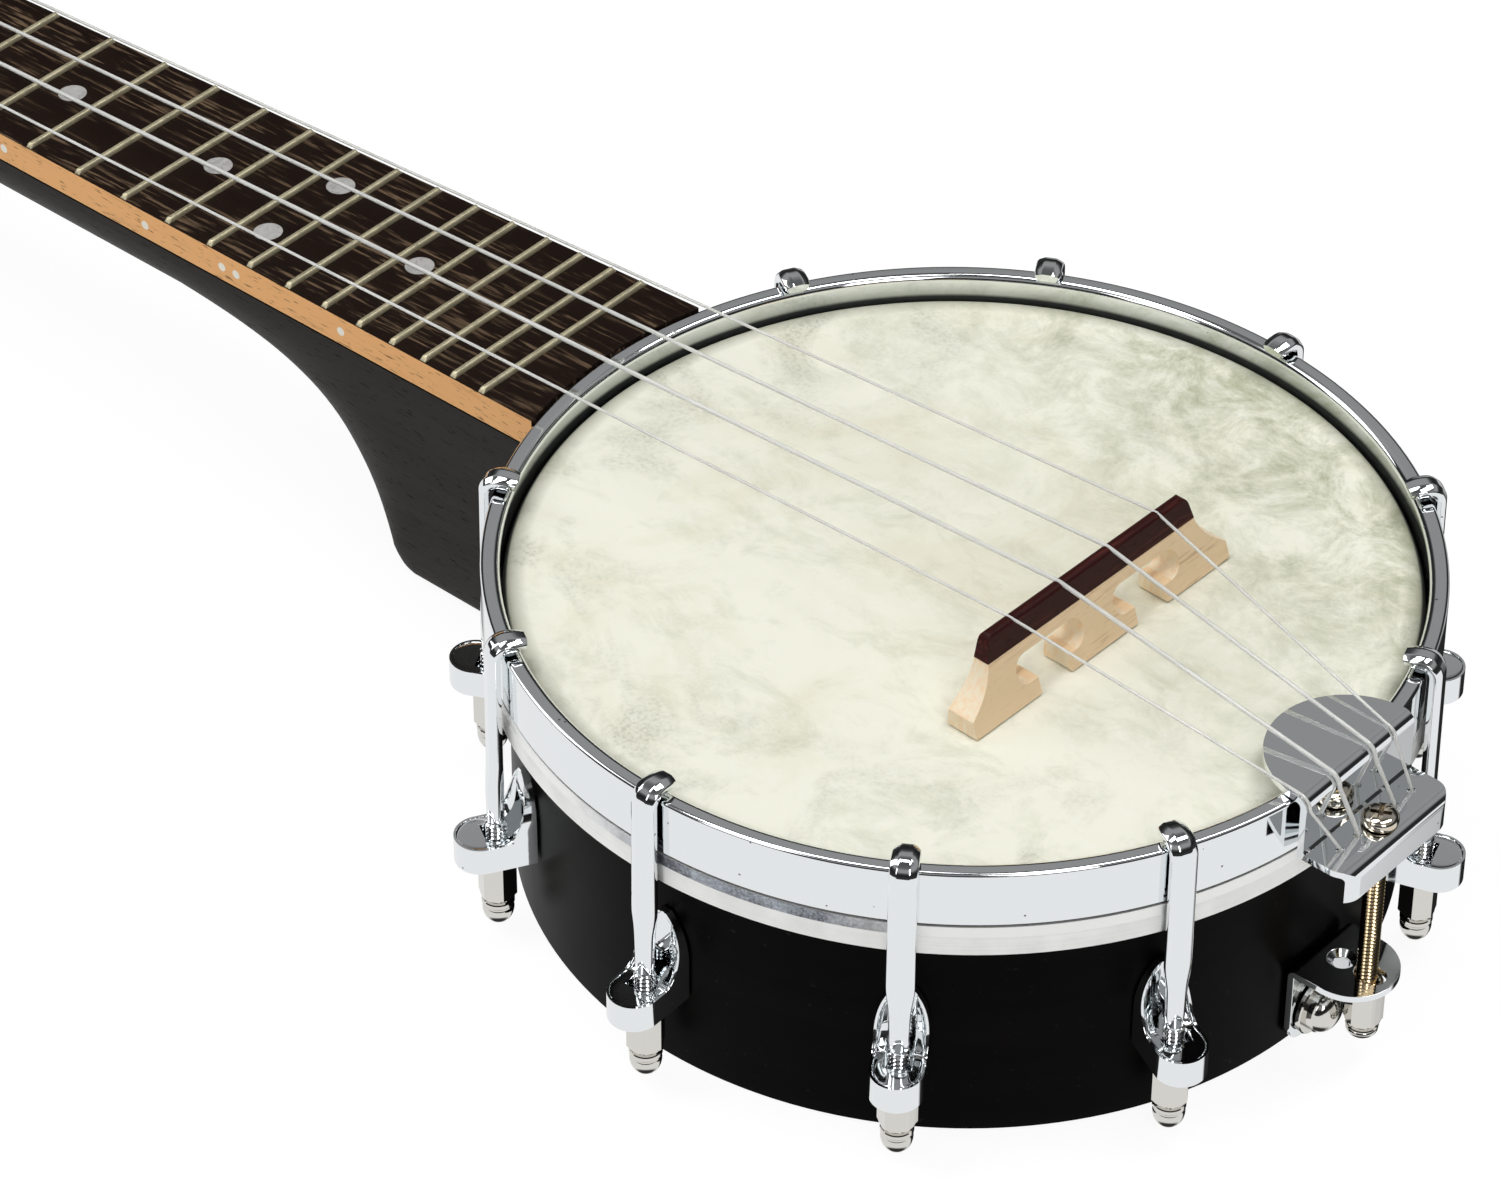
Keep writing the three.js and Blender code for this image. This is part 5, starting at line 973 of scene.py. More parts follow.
def wood_group():
    """Grain along X: streaks, long growth bands and short dark pores"""
    tree, start, end = group_tree(
        "Wood grain", "ShaderNodeTree",
        [
            ("Vector", VECTOR, None), ("Ground", COLOUR, (0.5, 0.4, 0.3, 1)), ("Streak", COLOUR, (0.7, 0.6, 0.5, 1)),
            ("Fineness", FLOAT, 1.0), ("Streaks", FLOAT, 0.5), ("Pores", FLOAT, 0.5),
        ],
        [("Colour", COLOUR), ("Roughness", FLOAT), ("Height", FLOAT)],
    )
    given = start.outputs
    inputs = {0: given["Vector"], 3: given["Fineness"]}
    scaled = node(tree, "ShaderNodeVectorMath", inputs, operation="SCALE").outputs[0]
    bands = noise(tree, scaled, (10, 190, 190), 5, 0.62, 0.6)
    lines = noise(tree, scaled, (70, 1000, 1000), 3, 0.6)
    streak = product(tree, rise(tree, bands, 0.4, 4.5), rise(tree, lines, 0.53, 9))
    streak = product(tree, streak, given["Streaks"], clamp=True)
    pore = rise(tree, noise(tree, scaled, (330, 2600, 2600), 2, 0.5), 0.61, 9)
    pore = product(tree, pore, given["Pores"])
    base = mixed(tree, streak, given["Ground"], given["Streak"])
    fill(tree, end.inputs["Colour"], mixed(tree, pore, base, PORE_TINT))
    fill(tree, end.inputs["Roughness"], line(tree, bands, 0.2, product(tree, pore, 0.25)))
    fill(tree, end.inputs["Height"], reckon(tree, "SUBTRACT", product(tree, lines, 0.5), pore))
    return tree


def group_outputs(tree, name, build, inputs):
    """Outputs of a node group in a material; the group is built at its first use"""
    group = bpy.data.node_groups.get(name) or build()
    return node(tree, "ShaderNodeGroup", inputs, node_tree=group).outputs


def metal_finish(tree, tint, roughness, smudges, specks, depth, speck_tint=DARK_SPECK_TINT):
    """Plated metal with smudges and a few specks"""
    inputs = {"Vector": coordinates(tree), "Least roughness": roughness, "Smudges": smudges, "Specks": specks}
    marks = group_outputs(tree, "Marks on metal", wear_group, inputs)
    surface(
        tree, Metallic=1.0, Base_Color=mixed(tree, marks["Specks"], tint, speck_tint), Roughness=marks["Roughness"],
        Normal=bump(tree, marks["Height"], depth, 0.00004),
    )


def wood_finish(tree, ground, streak, fineness, streaks, pores, roughness, depth, shine=0.2, turn=0.0):
    """Bare, stained or oiled wood, its grain along X unless it is turned"""
    inputs = {
        "Vector": stretched(tree, coordinates(tree), (1, 1, 1), turn), "Ground": rgba(ground),
        "Streak": rgba(streak), "Fineness": fineness, "Streaks": streaks, "Pores": pores,
    }
    grain = group_outputs(tree, "Wood grain", wood_group, inputs)
    surface(
        tree, Specular_IOR_Level=shine, Base_Color=grain["Colour"],
        Roughness=reckon(tree, "ADD", grain["Roughness"], roughness, clamp=True),
        Normal=bump(tree, grain["Height"], depth),
    )


def lacquer(tree, tints):
    """Dark satin lacquer with faint bands of the laminations under it"""
    place = coordinates(tree)
    dust = noise(tree, place, 700, 2, 0.5)
    speck = product(tree, reckon(tree, "GREATER_THAN", dust, 0.72), 0.25)
    tint = toned(tree, noise(tree, place, (6, 6, 240), 4, 0.6), tints.lacquer, (0.3, 0.6), (0.7, 1.7))
    surface(
        tree, Specular_IOR_Level=0.03, Base_Color=mixed(tree, speck, tint, DUST_TINT),
        Roughness=line(tree, noise(tree, place, 40, 4), 0.2, 0.24), Normal=bump(tree, dust, 0.05),
    )


def drum_skin(tree, tints):
    """Cream skin: soft fibres, tan clouds, and grey-green speckled smudges towards the edge, with painted shade and a
    painted dark shadow ring along the hoop
    """
    place = coordinates(tree)
    flat = vector_math(tree, "MULTIPLY", from_pot_centre(tree, place), (1, 1, 0))
    reach = vector_math(tree, "LENGTH", flat, output="Value")
    side = vector_math(tree, "DOT_PRODUCT", flat, DARKER_SIDE, output="Value")
    edge = rise(tree, reach, SMUDGES_FROM, 26)
    tan = rise(tree, noise(tree, place, 26, 6, 0.62, 0.8), 0.5, 2.2)
    base = mixed(tree, tan, tints.skin, tints.skin_tan)
    wisps = noise(tree, place, (60, 85, 60), 9, 0.74, 0.5, turn=-0.5)
    base = mixed(tree, rise(tree, wisps, 0.5, 1.9), base, shade(tints.skin_shade, 1.8))
    mottled = rise(tree, noise(tree, place, 75, 9, 0.76, 0.5), 0.42, 7.5, limited=False)
    darker = product(tree, rise(tree, side, DARKER_SIDE_FROM, 10.5), mottled, clamp=True)
    base = mixed(tree, darker, base, shade(tints.skin_shade, 1.9))
    patches = noise(tree, stretched(tree, place, (1, 1, 1), 1.1), 34, 5, 0.6, 0.9)
    patch = product(tree, rise(tree, patches, 0.51, 7), line(tree, edge, 0.8, 0.12))
    grains = noise(tree, place, 1150, 3, 0.65)
    smudge = product(tree, patch, line(tree, rise(tree, grains, 0.45, 5), 0.36, 0.24))
    base = mixed(tree, smudge, base, tints.skin_shade)
    fibres = noise(tree, place, (260, 360, 260), 8, 0.74, 0.5, turn=0.35)
    base = mixed(tree, rise(tree, fibres, 0.53, 2.4), base, FIBRE_TINT)
    # Painted shade: the skin darkens towards the smudge colour over the last millimetres before the hoop
    base = mixed(tree, rise(tree, reach, PAINTED_SHADE_FROM, 190), base, shade(tints.skin_shade, 0.8))
    # Painted shadow: a near-black ring in the crevice where the skin meets the hoop's inner wall
    base = mixed(tree, rise(tree, reach, PAINTED_CREVICE_SHADOW_FROM, 2600), base, PAINTED_SHADOW_TINT)
    surface(
        tree, Base_Color=base, Roughness=line(tree, grains, 0.15, 0.5),
        Normal=bump(tree, reckon(tree, "ADD", fibres, grains), 0.12, 0.0002),
    )


def chrome(tree, tints):
    metal_finish(tree, tints.chrome, roughness=0.035, smudges=0.07, specks=0.8, depth=0.03)


def aluminium(tree, tints):
    """Satin hoop with fine lines along it"""
    metal_finish(
        tree, tints.aluminium, roughness=0.3, smudges=0.16, specks=0.6, depth=0.05, speck_tint=PALE_SPECK_TINT,
    )
    place = coordinates(tree)
    lines = noise(tree, place, (25, 25, 2600), 3, 0.5)
    clouds = line(tree, noise(tree, place, 120, 5, 0.6), 0.7, product(tree, lines, 0.3))
    tint = toned(tree, clouds, tints.aluminium, (0.35, 0.86), (0.65, 1))
    surface(tree, Metallic=0.6, Base_Color=tint, Normal=bump(tree, lines, 0.12, 0.00006))


def rubbed_band(tree, tints):
    """Dark speckled band, rubbed bright on one side of the pot"""
    metal_finish(tree, tints.rubbed, roughness=0.28, smudges=0.2, specks=0, depth=0.1)
    place = coordinates(tree)
    grains = noise(tree, place, 1700, 3, 0.7)
    clouds = noise(tree, place, 60, 4, 0.6)
    mask = line(tree, clouds, 0.6, product(tree, grains, 0.4))
    dark = toned(tree, mask, tints.rubbed, (0.42, 0.55), (0.62, 2.6))
    axes = node(tree, "ShaderNodeSeparateXYZ", {0: from_pot_centre(tree, place)}).outputs
    turn = reckon(tree, "ARCTAN2", axes["Y"], axes["X"])
    away = reckon(tree, "ABSOLUTE", reckon(tree, "SUBTRACT", turn, RUBBED_SIDE))
    away = line(tree, clouds, 0.35, away)
    tint = mixed(tree, ramp(tree, away, (0.36, 0), (0.62, 1)), dark, tints.aluminium)
    surface(tree, Metallic=0.7, Base_Color=tint, Normal=bump(tree, grains, 0.35))


def nickel(tree, tints):
    """Satin nickel with turning marks"""
    metal_finish(tree, tints.nickel, roughness=0.05, smudges=0.07, specks=1, depth=0.04)
    lines = noise(tree, coordinates(tree), (90, 90, 2600), 2, 0.5)
    surface(tree, Normal=bump(tree, lines, 0.04, 0.00004))


def brass(tree, tints):
    """Plated brass, worn to gold"""
    metal_finish(tree, tints.brass, roughness=0.08, smudges=0.14, specks=0.8, depth=0.08)
    place = coordinates(tree)
    height = node(tree, "ShaderNodeSeparateXYZ", {0: place}).outputs["Z"]
    worn = line(tree, noise(tree, place, 500, 4), 0.9, 0.2)
    worn = product(tree, rise(tree, height, PLATED_FROM, 900), worn, clamp=True)
    surface(tree, Base_Color=mixed(tree, worn, tints.brass, tints.nickel))


def stained_wood(tree, tints):
    wood_finish(
        tree, tints.stain, shade(tints.stain, 1.8), fineness=1, streaks=0.5,
        pores=0.9, roughness=0.42, depth=0.35, shine=0.12,
    )


def board_wood(tree, tints):
    wood_finish(
        tree, tints.board, tints.board_streak, fineness=1, streaks=1.3,
        pores=0.6, roughness=0.36, depth=0.25, shine=0.1,
    )


def board_edge(tree, tints):
    wood_finish(
        tree, tints.board_edge, shade(tints.board_edge, 0.72), fineness=1, streaks=0.8,
        pores=0.75, roughness=0.4, depth=0.25,
    )


def maple(tree, tints):
    wood_finish(
        tree, tints.maple, tints.maple_dark, fineness=1.9, streaks=0.6,
        pores=0.12, roughness=0.36, depth=0.2, shine=0.35, turn=QUARTER_TURN,
    )


def cap_wood(tree, tints):
    wood_finish(
        tree, tints.cap, tints.cap_light, fineness=1.4, streaks=0.7,
        pores=0.8, roughness=0.3, depth=0.2, shine=0.12, turn=QUARTER_TURN,
    )


def fret_metal(tree, tints):
    """Fret wire, dulled with a greenish film"""
    metal_finish(tree, tints.fret, roughness=0.3, smudges=0.25, specks=0.4, depth=0.1)
    film = noise(tree, coordinates(tree), 420, 4, 0.65)
    surface(tree, Metallic=0.55, Base_Color=toned(tree, film, tints.fret, (0.38, 0.84), (0.6, 1)))


def pearl(tree, tints):
    clouds = noise(tree, coordinates(tree), 260, 4, 0.6, 1.5)
    tint = toned(tree, clouds, tints.pearl, (0.3, 0.82), (0.7, 1.12))
    surface(tree, Coat_Weight=0.4, Base_Color=tint, Roughness=line(tree, clouds, 0.2, 0.18))


def bone(tree, tints):
    clouds = noise(tree, coordinates(tree), (200, 60, 200), 4, 0.6)
    tint = toned(tree, clouds, tints.bone, (0.3, 0.9), (0.7, 1))
    surface(tree, Base_Color=tint, Roughness=line(tree, clouds, 0.2, 0.25))


def maple_end(tree, tints):
    """Sawn and end-grain faces of the bridge's base"""
    rings = noise(tree, coordinates(tree), (900, 900, 240), 3, 0.6)
    tint = ramp(tree, rings, (0.36, tints.maple), (0.56, tints.maple_sawn))
    surface(tree, Base_Color=tint, Roughness=line(tree, rings, 0.2, 0.5), Normal=bump(tree, rings, 0.2))


def nylon(tree, tints):
    """Clear nylon with faint lines"""
    lines = noise(tree, coordinates(tree), (60, 1800, 1800), 2, 0.5)
    tint = toned(tree, lines, tints.nylon, (0.3, 0.9), (0.7, 1.08))
    surface(tree, IOR=1.5, Transmission_Weight=0.35, Base_Color=tint, Roughness=line(tree, lines, 0.1, 0.1))


def pale_floor(tree, tints):
    """Matte white studio floor"""
    tint = ramp(tree, noise(tree, coordinates(tree), 3, 2), (0.3, 0.12), (0.7, 0.125))
    surface(tree, Roughness=0.9, Base_Color=tint, Emission_Color=(1, 1, 1, 1), Emission_Strength=0.92)


FINISHES = {
    "rim_lacquer": lacquer, "drum_skin": drum_skin, "chrome": chrome, "aluminium": aluminium,
    "rubbed_band": rubbed_band, "nickel": nickel, "brass": brass, "stained_wood": stained_wood,
    "board_wood": board_wood, "board_edge": board_edge, "fret_metal": fret_metal, "pearl": pearl, "bone": bone,
    "maple": maple, "maple_end": maple_end, "cap_wood": cap_wood, "nylon": nylon, "pale_floor": pale_floor,
}


def finish(key):
    """The material of a finish, made at its first use"""
    name = key + "_surface"
    if name in bpy.data.materials:
        return bpy.data.materials[name]
    material = bpy.data.materials.new(name)
    material.use_nodes = True
    FINISHES[key](material.node_tree, bpy.context.scene.ukulele_finishes)
    return material


# Pot

def rim_shape(m):
    bend = m.rim_edge_round
    edge = arc(m.rim_radius - bend, m.rim_height - bend, bend, 0, QUARTER_TURN, 8)
    ease = m.rim_wall * 0.06
    ring = turned(
        [
            (m.rim_inner + ease, 0), (m.rim_radius - ease, 0), (m.rim_radius, ease), *edge,
            (m.rim_inner + ease, m.rim_height), (m.rim_inner, m.rim_height - ease), (m.rim_inner, ease),
        ],
        POT_STEPS,
    )
    low, high = m.rim_inner - m.rim_wall, m.rim_radius + m.rim_wall
    hole = rod_x(m.bolt_radius + m.running_gap, low, high, 24).shifted(0, 0, m.bolt_height)
    holes = [hole.moved(about("Z", turn)) for turn in hook_angles(m)]
    return cut(ring, *holes, rod_way(m, -high, high))


def rod_way(m, low, high):
    """The room for the rod through the pot"""
    return rod_x(m.rod_radius + m.running_gap, low, high).shifted(0, m.rod_offset, m.rod_height)


def skin_shape(m):
    centre = (m.rim_radius - m.skin_bend, m.rim_height - m.skin_bend)
    inner = m.skin_bend + m.seat_gap
    outer = inner + m.skin_thickness
    under = m.skin_top - m.skin_thickness
    skirt = m.flesh_bottom + m.flesh_hoop_floor + m.seat_gap
    flat = [share * centre[0] for share in (0.25, 0.5, 0.75)]
    return turned(
        [
            (0, under), *[(r, under) for r in flat], *arc(*centre, inner, QUARTER_TURN, 0, 8),
            (m.skin_radius - m.skin_thickness, skirt), (m.skin_radius, skirt),
            *arc(*centre, outer, 0, QUARTER_TURN, 8), *[(r, m.skin_top) for r in reversed(flat)], (0, m.skin_top),
        ],
        POT_STEPS,
    )


def tension_hoop_shape(m):
    level = m.hoop_top - m.hoop_round
    inner = m.hoop_inner_round
    ease = m.hoop_wall * 0.12
    return turned(
        [
            (m.hoop_inner + ease, m.hoop_bottom), (m.hoop_outer - ease, m.hoop_bottom),
            (m.hoop_outer, m.hoop_bottom + ease),
            *arc(m.hoop_outer - m.hoop_round, level, m.hoop_round, 0, QUARTER_TURN, 8),
            *arc(m.hoop_inner + inner, m.hoop_top - inner, inner, QUARTER_TURN, math.pi, 12),
            (m.hoop_inner, m.hoop_bottom + ease),
        ],
        POT_STEPS,
    )


def flesh_hoop_shape(m):
    """A hoop with a narrower band, which has the second finish, round its top"""
    low, high, outer = m.flesh_bottom, m.flesh_top, m.hoop_outer
    floor = low + m.flesh_hoop_floor
    inner = m.rim_radius + m.seat_gap
    step = high - m.flesh_hoop_band
    ease = m.hoop_wall * 0.12
    nick = ease * 0.25
    shape = turned(
        [
            (inner, low), (outer - ease, low), (outer, low + ease), (outer, step - ease), (outer - nick, step),
            (outer - nick, step + nick), (outer - nick / 2, high - nick), (outer - nick, high),
            (m.hoop_inner, high), (m.hoop_inner, floor), (inner, floor),
        ],
        POT_STEPS,
    )
    wall = outer - m.hoop_wall / 2
    return shape.marked(lambda middle, _: middle.z > step and middle.xy.length > wall)


# Half of the hook's section, as shares of its half width and half thickness: outer face, then inner face
HOOK_OUTER_FACE = ((0.985, 0.3), (0.9, 0.55), (0.62, 0.83), (0.5, 0.93), (0.44, 0.99), (0.3, 1))
HOOK_INNER_FACE = ((0.4, -1), (0.72, -1), (0.86, -0.9), (0.985, -0.45))


def hook_shape(m):
    """Claw, bend, flat shaft with three facets, rod and thread, at angle 0"""
    half = m.hook_thickness / 2
    width = m.hook_width / 2
    shaft = m.hoop_outer + m.hook_side_gap + half
    tip_level = m.hoop_top + m.seat_gap + half
    crest = tip_level + m.hook_crest
    bend = (shaft - m.hook_bend, crest - m.hook_bend)
    tip = m.hoop_inner - m.hook_reach
    bar = [(1, 0), *HOOK_OUTER_FACE, (0, 1), *mirrored(HOOK_OUTER_FACE), (-1, 0)]
    bar += [*mirrored(HOOK_INNER_FACE), (0, -1), *HOOK_INNER_FACE]
    # Each row: place, half width, half thickness, and how round the section is
    rows = [(tip, tip_level - half * 0.1, width * 0.8, half * 0.72, 0)]
    for share in (0.04, 0.12, 0.3, 0.5, 0.7, 0.85):
        level = tip_level + m.hook_crest * math.sin(QUARTER_TURN * min(1, share * 1.2))
        claw_width = width * (0.88 + 0.12 * min(1, share * 3))
        rows.append((tip + (bend[0] - tip) * share, level, claw_width, half * (0.94 + 0.06 * share), 0))
    rows += [(x, z, width, half, 0) for x, z in arc(*bend, m.hook_bend, QUARTER_TURN, 0, 8)]
    drop = m.hook_taper_top - bend[1]
    for share in (0.12, 0.35, 0.6, 0.85, 1):
        x = shaft + (m.rod_axis - shaft) * share
        rows.append((x, bend[1] + drop * share, width, half * (1 + 0.05 * share), 0))
    for i in range(1, 9):
        share = i / 8
        ease = share * share * (3 - 2 * share)
        level = m.hook_taper_top + (m.hook_taper_bottom - m.hook_taper_top) * share
        taper_width = width + (m.hook_rod * 1.2 - width) * ease
        rows.append((m.rod_axis, level, taper_width, half * 1.05 + (m.hook_rod - half * 1.05) * ease, 0.7 * ease))
    end = m.thread_top
    for z, share, roundness in ((end + 3, 1.12, 0.85), (end + 1, 1.06, 0.95), (end + 0.35, 0.98, 1), (end, 0.8, 1)):
        rows.append((m.rod_axis, z, m.hook_rod * share, m.hook_rod * min(1, share), roundness))
    places = [Vector((x, 0, z)) for x, z, *_ in rows]
    rings = []
    for i, (_, _, w, thickness, roundness) in enumerate(rows):
        along = direction_at(places, i) if i else Vector((1, 0, 0.1)).normalized()
        out = Vector((-along.z, 0, along.x))
        ring = []
        for a, b in bar:
            turn = math.atan2(b, a)
            point = places[i] + out * (thickness * (b + (math.sin(turn) - b) * roundness))
            ring.append((point.x, w * (a + (math.cos(turn) - a) * roundness), point.z))
        rings.append(ring)
    thread = threaded(m.thread_radius, HOOK_THREAD_DEPTH, m.thread_pitch, m.shoe_bottom - 1, end + 0.3, 20)
    plain = rod(m.thread_radius - 0.4, m.thread_bottom, m.shoe_bottom, 20)
    return loft(rings).with_shape(thread.with_shape(plain).shifted(m.rod_axis, 0, 0))


def shoe_half_width(m, z):
    """Half the width of the shoe's arch at a height"""
    half, tip = m.shoe_width / 2, m.shoe_tip / 2
    if z <= m.shoe_spring:
        return half
    knee = (m.shoe_spring + 2 * (m.shoe_top - tip)) / 3
    low, high = 0.0, 1.0
    for _ in range(30):
        t = (low + high) / 2
        w, level = bent((half, m.shoe_spring), (half, knee), (tip, m.shoe_top), t)
        low, high = (t, high) if level < z else (low, t)
    return w


def shoe_shape(m):
    """Scooped shoe with a thin lip round its bowl, a pocket for the rod, and its bolt"""
    half = m.shoe_width / 2
    back = m.rim_radius + m.seat_gap
    front = m.nose_axis + half
    plan = [(back, -half), *arc(m.nose_axis, 0, half, -QUARTER_TURN, QUARTER_TURN, 32), (back, half)]
    reach = m.rod_axis - back - m.shoe_back
    rise_up = m.shoe_top - m.shoe_floor
    turns = evenly(0, QUARTER_TURN, 16)
    scoop = [(m.rod_axis - reach * math.sin(turn), m.shoe_top - rise_up * math.cos(turn)) for turn in turns]
    over = m.shoe_width / 3
    side = [
        (back, m.shoe_bottom), (front + over, m.shoe_bottom), (front + over, m.shoe_floor), *scoop,
        (back, m.shoe_top),
    ]
    right = [(shoe_half_width(m, z), z) for z in evenly(m.shoe_spring, m.shoe_top, 14)]
    arch = [(-half, m.shoe_bottom), (half, m.shoe_bottom), *right, *mirrored(right)]
    block = common(
        prism(plan, m.shoe_bottom, m.shoe_top, "Z"),
        prism(side, -m.shoe_width, m.shoe_width, "Y"),
        prism(arch, back - over, front + over, "X"),
    )
    # The bowl: rounded troughs along the scoop, inside the lip
    stations = []
    nose = front - m.shoe_lip
    for i in range(13):
        x = nose - (nose - m.rod_axis) * (i / 12) ** 1.6
        wide = half - m.shoe_lip
        if x > m.nose_axis:
            wide = math.sqrt(max(0.0025, wide * wide - (x - m.nose_axis) ** 2))
        stations.append((Vector((x, 0, m.shoe_floor)), wide, m.shoe_bowl, Vector((0, 0, 1))))
    for i in range(1, 13):
        turn = QUARTER_TURN * i / 12
        c, s = math.cos(turn), math.sin(turn)
        z = m.shoe_top - rise_up * c
        wide = max(0.15, shoe_half_width(m, z) - m.shoe_lip * 1.1)
        depth = m.shoe_bowl + (m.shoe_trough - m.shoe_bowl) * math.sin(math.pi * min(1, i / 10)) ** 1.5
        normal = Vector((rise_up * s, 0, reach * c)).normalized()
        stations.append((Vector((m.rod_axis - reach * s, 0, z)), wide, depth, normal))
    rings = []
    for place, wide, depth, normal in stations:
        edge, lip = Vector((0, wide, 0)), place + normal * m.shoe_lip
        ring = [lip + edge]
        for turn in evenly(0, math.pi, 12):
            flat = math.copysign(abs(math.cos(turn)) ** 0.6, math.cos(turn))
            ring.append(place - normal * (depth * math.sin(turn) ** 0.6) + Vector((0, wide * flat, 0)))
        rings.append([*ring, lip - edge])
    hole = rod(m.thread_radius + m.running_gap, m.shoe_bottom - over, m.shoe_top, 32).shifted(m.rod_axis, 0, 0)
    wide = m.pocket_width / 2
    end = m.rod_axis + wide
    pocket = box(end - m.pocket_length, end, -wide, wide, m.pocket_floor, m.shoe_top + over)
    body = cut(block, loft(rings), hole, pocket)
    face = m.rim_inner - m.seat_gap
    head_low = face - m.bolt_head_thickness
    head = m.bolt_head
    end = back + m.shoe_back / 2
    bolt = turned_x(
        [
            (0, head_low), (head * 0.6, head_low), (head * 0.92, head_low + head * 0.12),
            (head, head_low + head * 0.3), (head, face), (m.bolt_radius, face), (m.bolt_radius, end), (0, end),
        ],
        32,
    ).shifted(0, 0, m.bolt_height)
    half = BOLT_SLOT_HALF
    slot = box(head_low - 1, head_low + head * 0.25, -head, head, m.bolt_height - half, m.bolt_height + half)
    return body, cut(bolt, slot)


def nut_shape(flats, hexagon, height, bore, depth):
    """Hexagon with turned chamfers, a groove, a collar and a dome, hanging down from z = 0"""
    flat = flats / 2
    corner = flat / math.cos(math.pi / 6)
    dome = height - hexagon
    rows = [
        (bore, -depth), (bore, -0.3), (bore + 0.3, 0), (flat * 0.97, 0), (flat * 1.05, -0.3), (corner, -0.75),
        (corner, -hexagon + 0.7), (flat * 1.04, -hexagon + 0.3), (flat * 0.9, -hexagon),
    ]
    rows += [(flat * r, -hexagon - z) for r, z in ((0.8, 0.15), (0.8, 0.45), (0.93, 0.6), (0.97, 0.85))]
    collar = ((0.97, 0.24), (0.93, 0.28), (0.88, 0.31), (0.88, 0.36), (0.92, 0.4))
    rows += [(flat * r, -hexagon - dome * z) for r, z in collar]
    start = -hexagon - dome * 0.45
    rows += oval_arc(0, start, flat * 0.94, -height - start, 0, QUARTER_TURN, 9)[:-1]
    rings = []
    for r, z in rows:
        ring = []
        for turn in evenly(0, FULL_TURN, 72)[:-1]:
            reach = min(r, flat / math.cos((turn + math.pi / 6) % (math.pi / 3) - math.pi / 6))
            ring.append((reach * math.cos(turn), reach * math.sin(turn), z))
        rings.append(ring)
    return loft(rings)


# Tail

def tailpiece_shape(m):
    """Bent sheet: half-moon plate over the hoop, web, shelf and front lip"""
    t, bend = m.sheet, m.bend_round
    inner = m.web_inner
    start = inner - m.tongue
    inside = max(0.2, bend - t)
    low = m.shelf_top - m.lip_drop

    def over(x, top):
        return arc(x - bend, top - bend, bend, 0, QUARTER_TURN, 8)

    def under(x, top):
        return arc(x - t - inside, top - t - inside, inside, QUARTER_TURN, 0, 4)

    profile = [
        (start, m.plate_top - t), *under(inner + t, m.plate_top), (inner, m.shelf_top - t),
        *under(m.lip_outer, m.shelf_top), (m.lip_outer - t, low), (m.lip_outer, low),
        *over(m.lip_outer, m.shelf_top), (inner + t + 0.4, m.shelf_top), (inner + t, m.shelf_top + 0.4),
        *over(inner + t, m.plate_top), (start, m.plate_top),
    ]
    half, corner = m.tail_width / 2, m.tail_corner
    front = m.lip_outer - corner
    plan = [
        (inner + 1, -half), *arc(front, -half + corner, corner, -QUARTER_TURN, 0, 12),
        *arc(front, half - corner, corner, 0, QUARTER_TURN, 12), (inner + 1, half),
        *oval_arc(inner, 0, m.tongue, half, QUARTER_TURN, 3 * QUARTER_TURN, 48),
    ]
    sheet = common(prism(profile, -half - 1, half + 1, "Y"), prism(plan, low - 3, m.plate_top + 3, "Z"))
    bottom, top = m.shelf_top - t - 2, m.shelf_top + 2
    holes = [rod(m.string_hole, bottom, top, 20).shifted(m.string_hole_x, y, 0) for y in m.string_holes_y]
    holes.append(rod(m.screw_radius + m.running_gap, bottom, top, 32).shifted(m.screw_x, 0, 0))
    return cut(sheet, *holes)


def tail_screw_shape(m):
    seat = m.shelf_top + m.seat_gap
    end = m.bracket_top - m.bracket_sheet - m.screw_past
    head, height = m.screw_head, m.screw_head_height
    profile = ((0, 0), (0.96, 0), (1, 0.12), (1, 0.5), (0.94, 0.72), (0.8, 0.9), (0.55, 1), (0, 1))
    cap = turned([(head * r, seat + height * z) for r, z in profile], 48)
    wide, reach = head * 0.13, head * 0.6
    floor, top = seat + height * 0.4, seat + height + 1
    taper = [(-reach, -wide, floor), (-reach, wide, floor), (reach, wide, floor), (reach, -wide, floor)]
    slot = loft([[(x * 0.8, y * 0.8, z) for x, y, z in taper], [(x * 1.05, y * 1.25, top) for x, y, _ in taper]])
    head_shape = cut(cap, slot, slot.moved(about("Z", QUARTER_TURN))).moved(about("Z", CROSS_TURN))
    thread = threaded(m.screw_radius, SCREW_THREAD_DEPTH, m.screw_pitch, end, seat - 0.2, 18)
    return head_shape.with_shape(thread).shifted(m.screw_x, 0, 0)


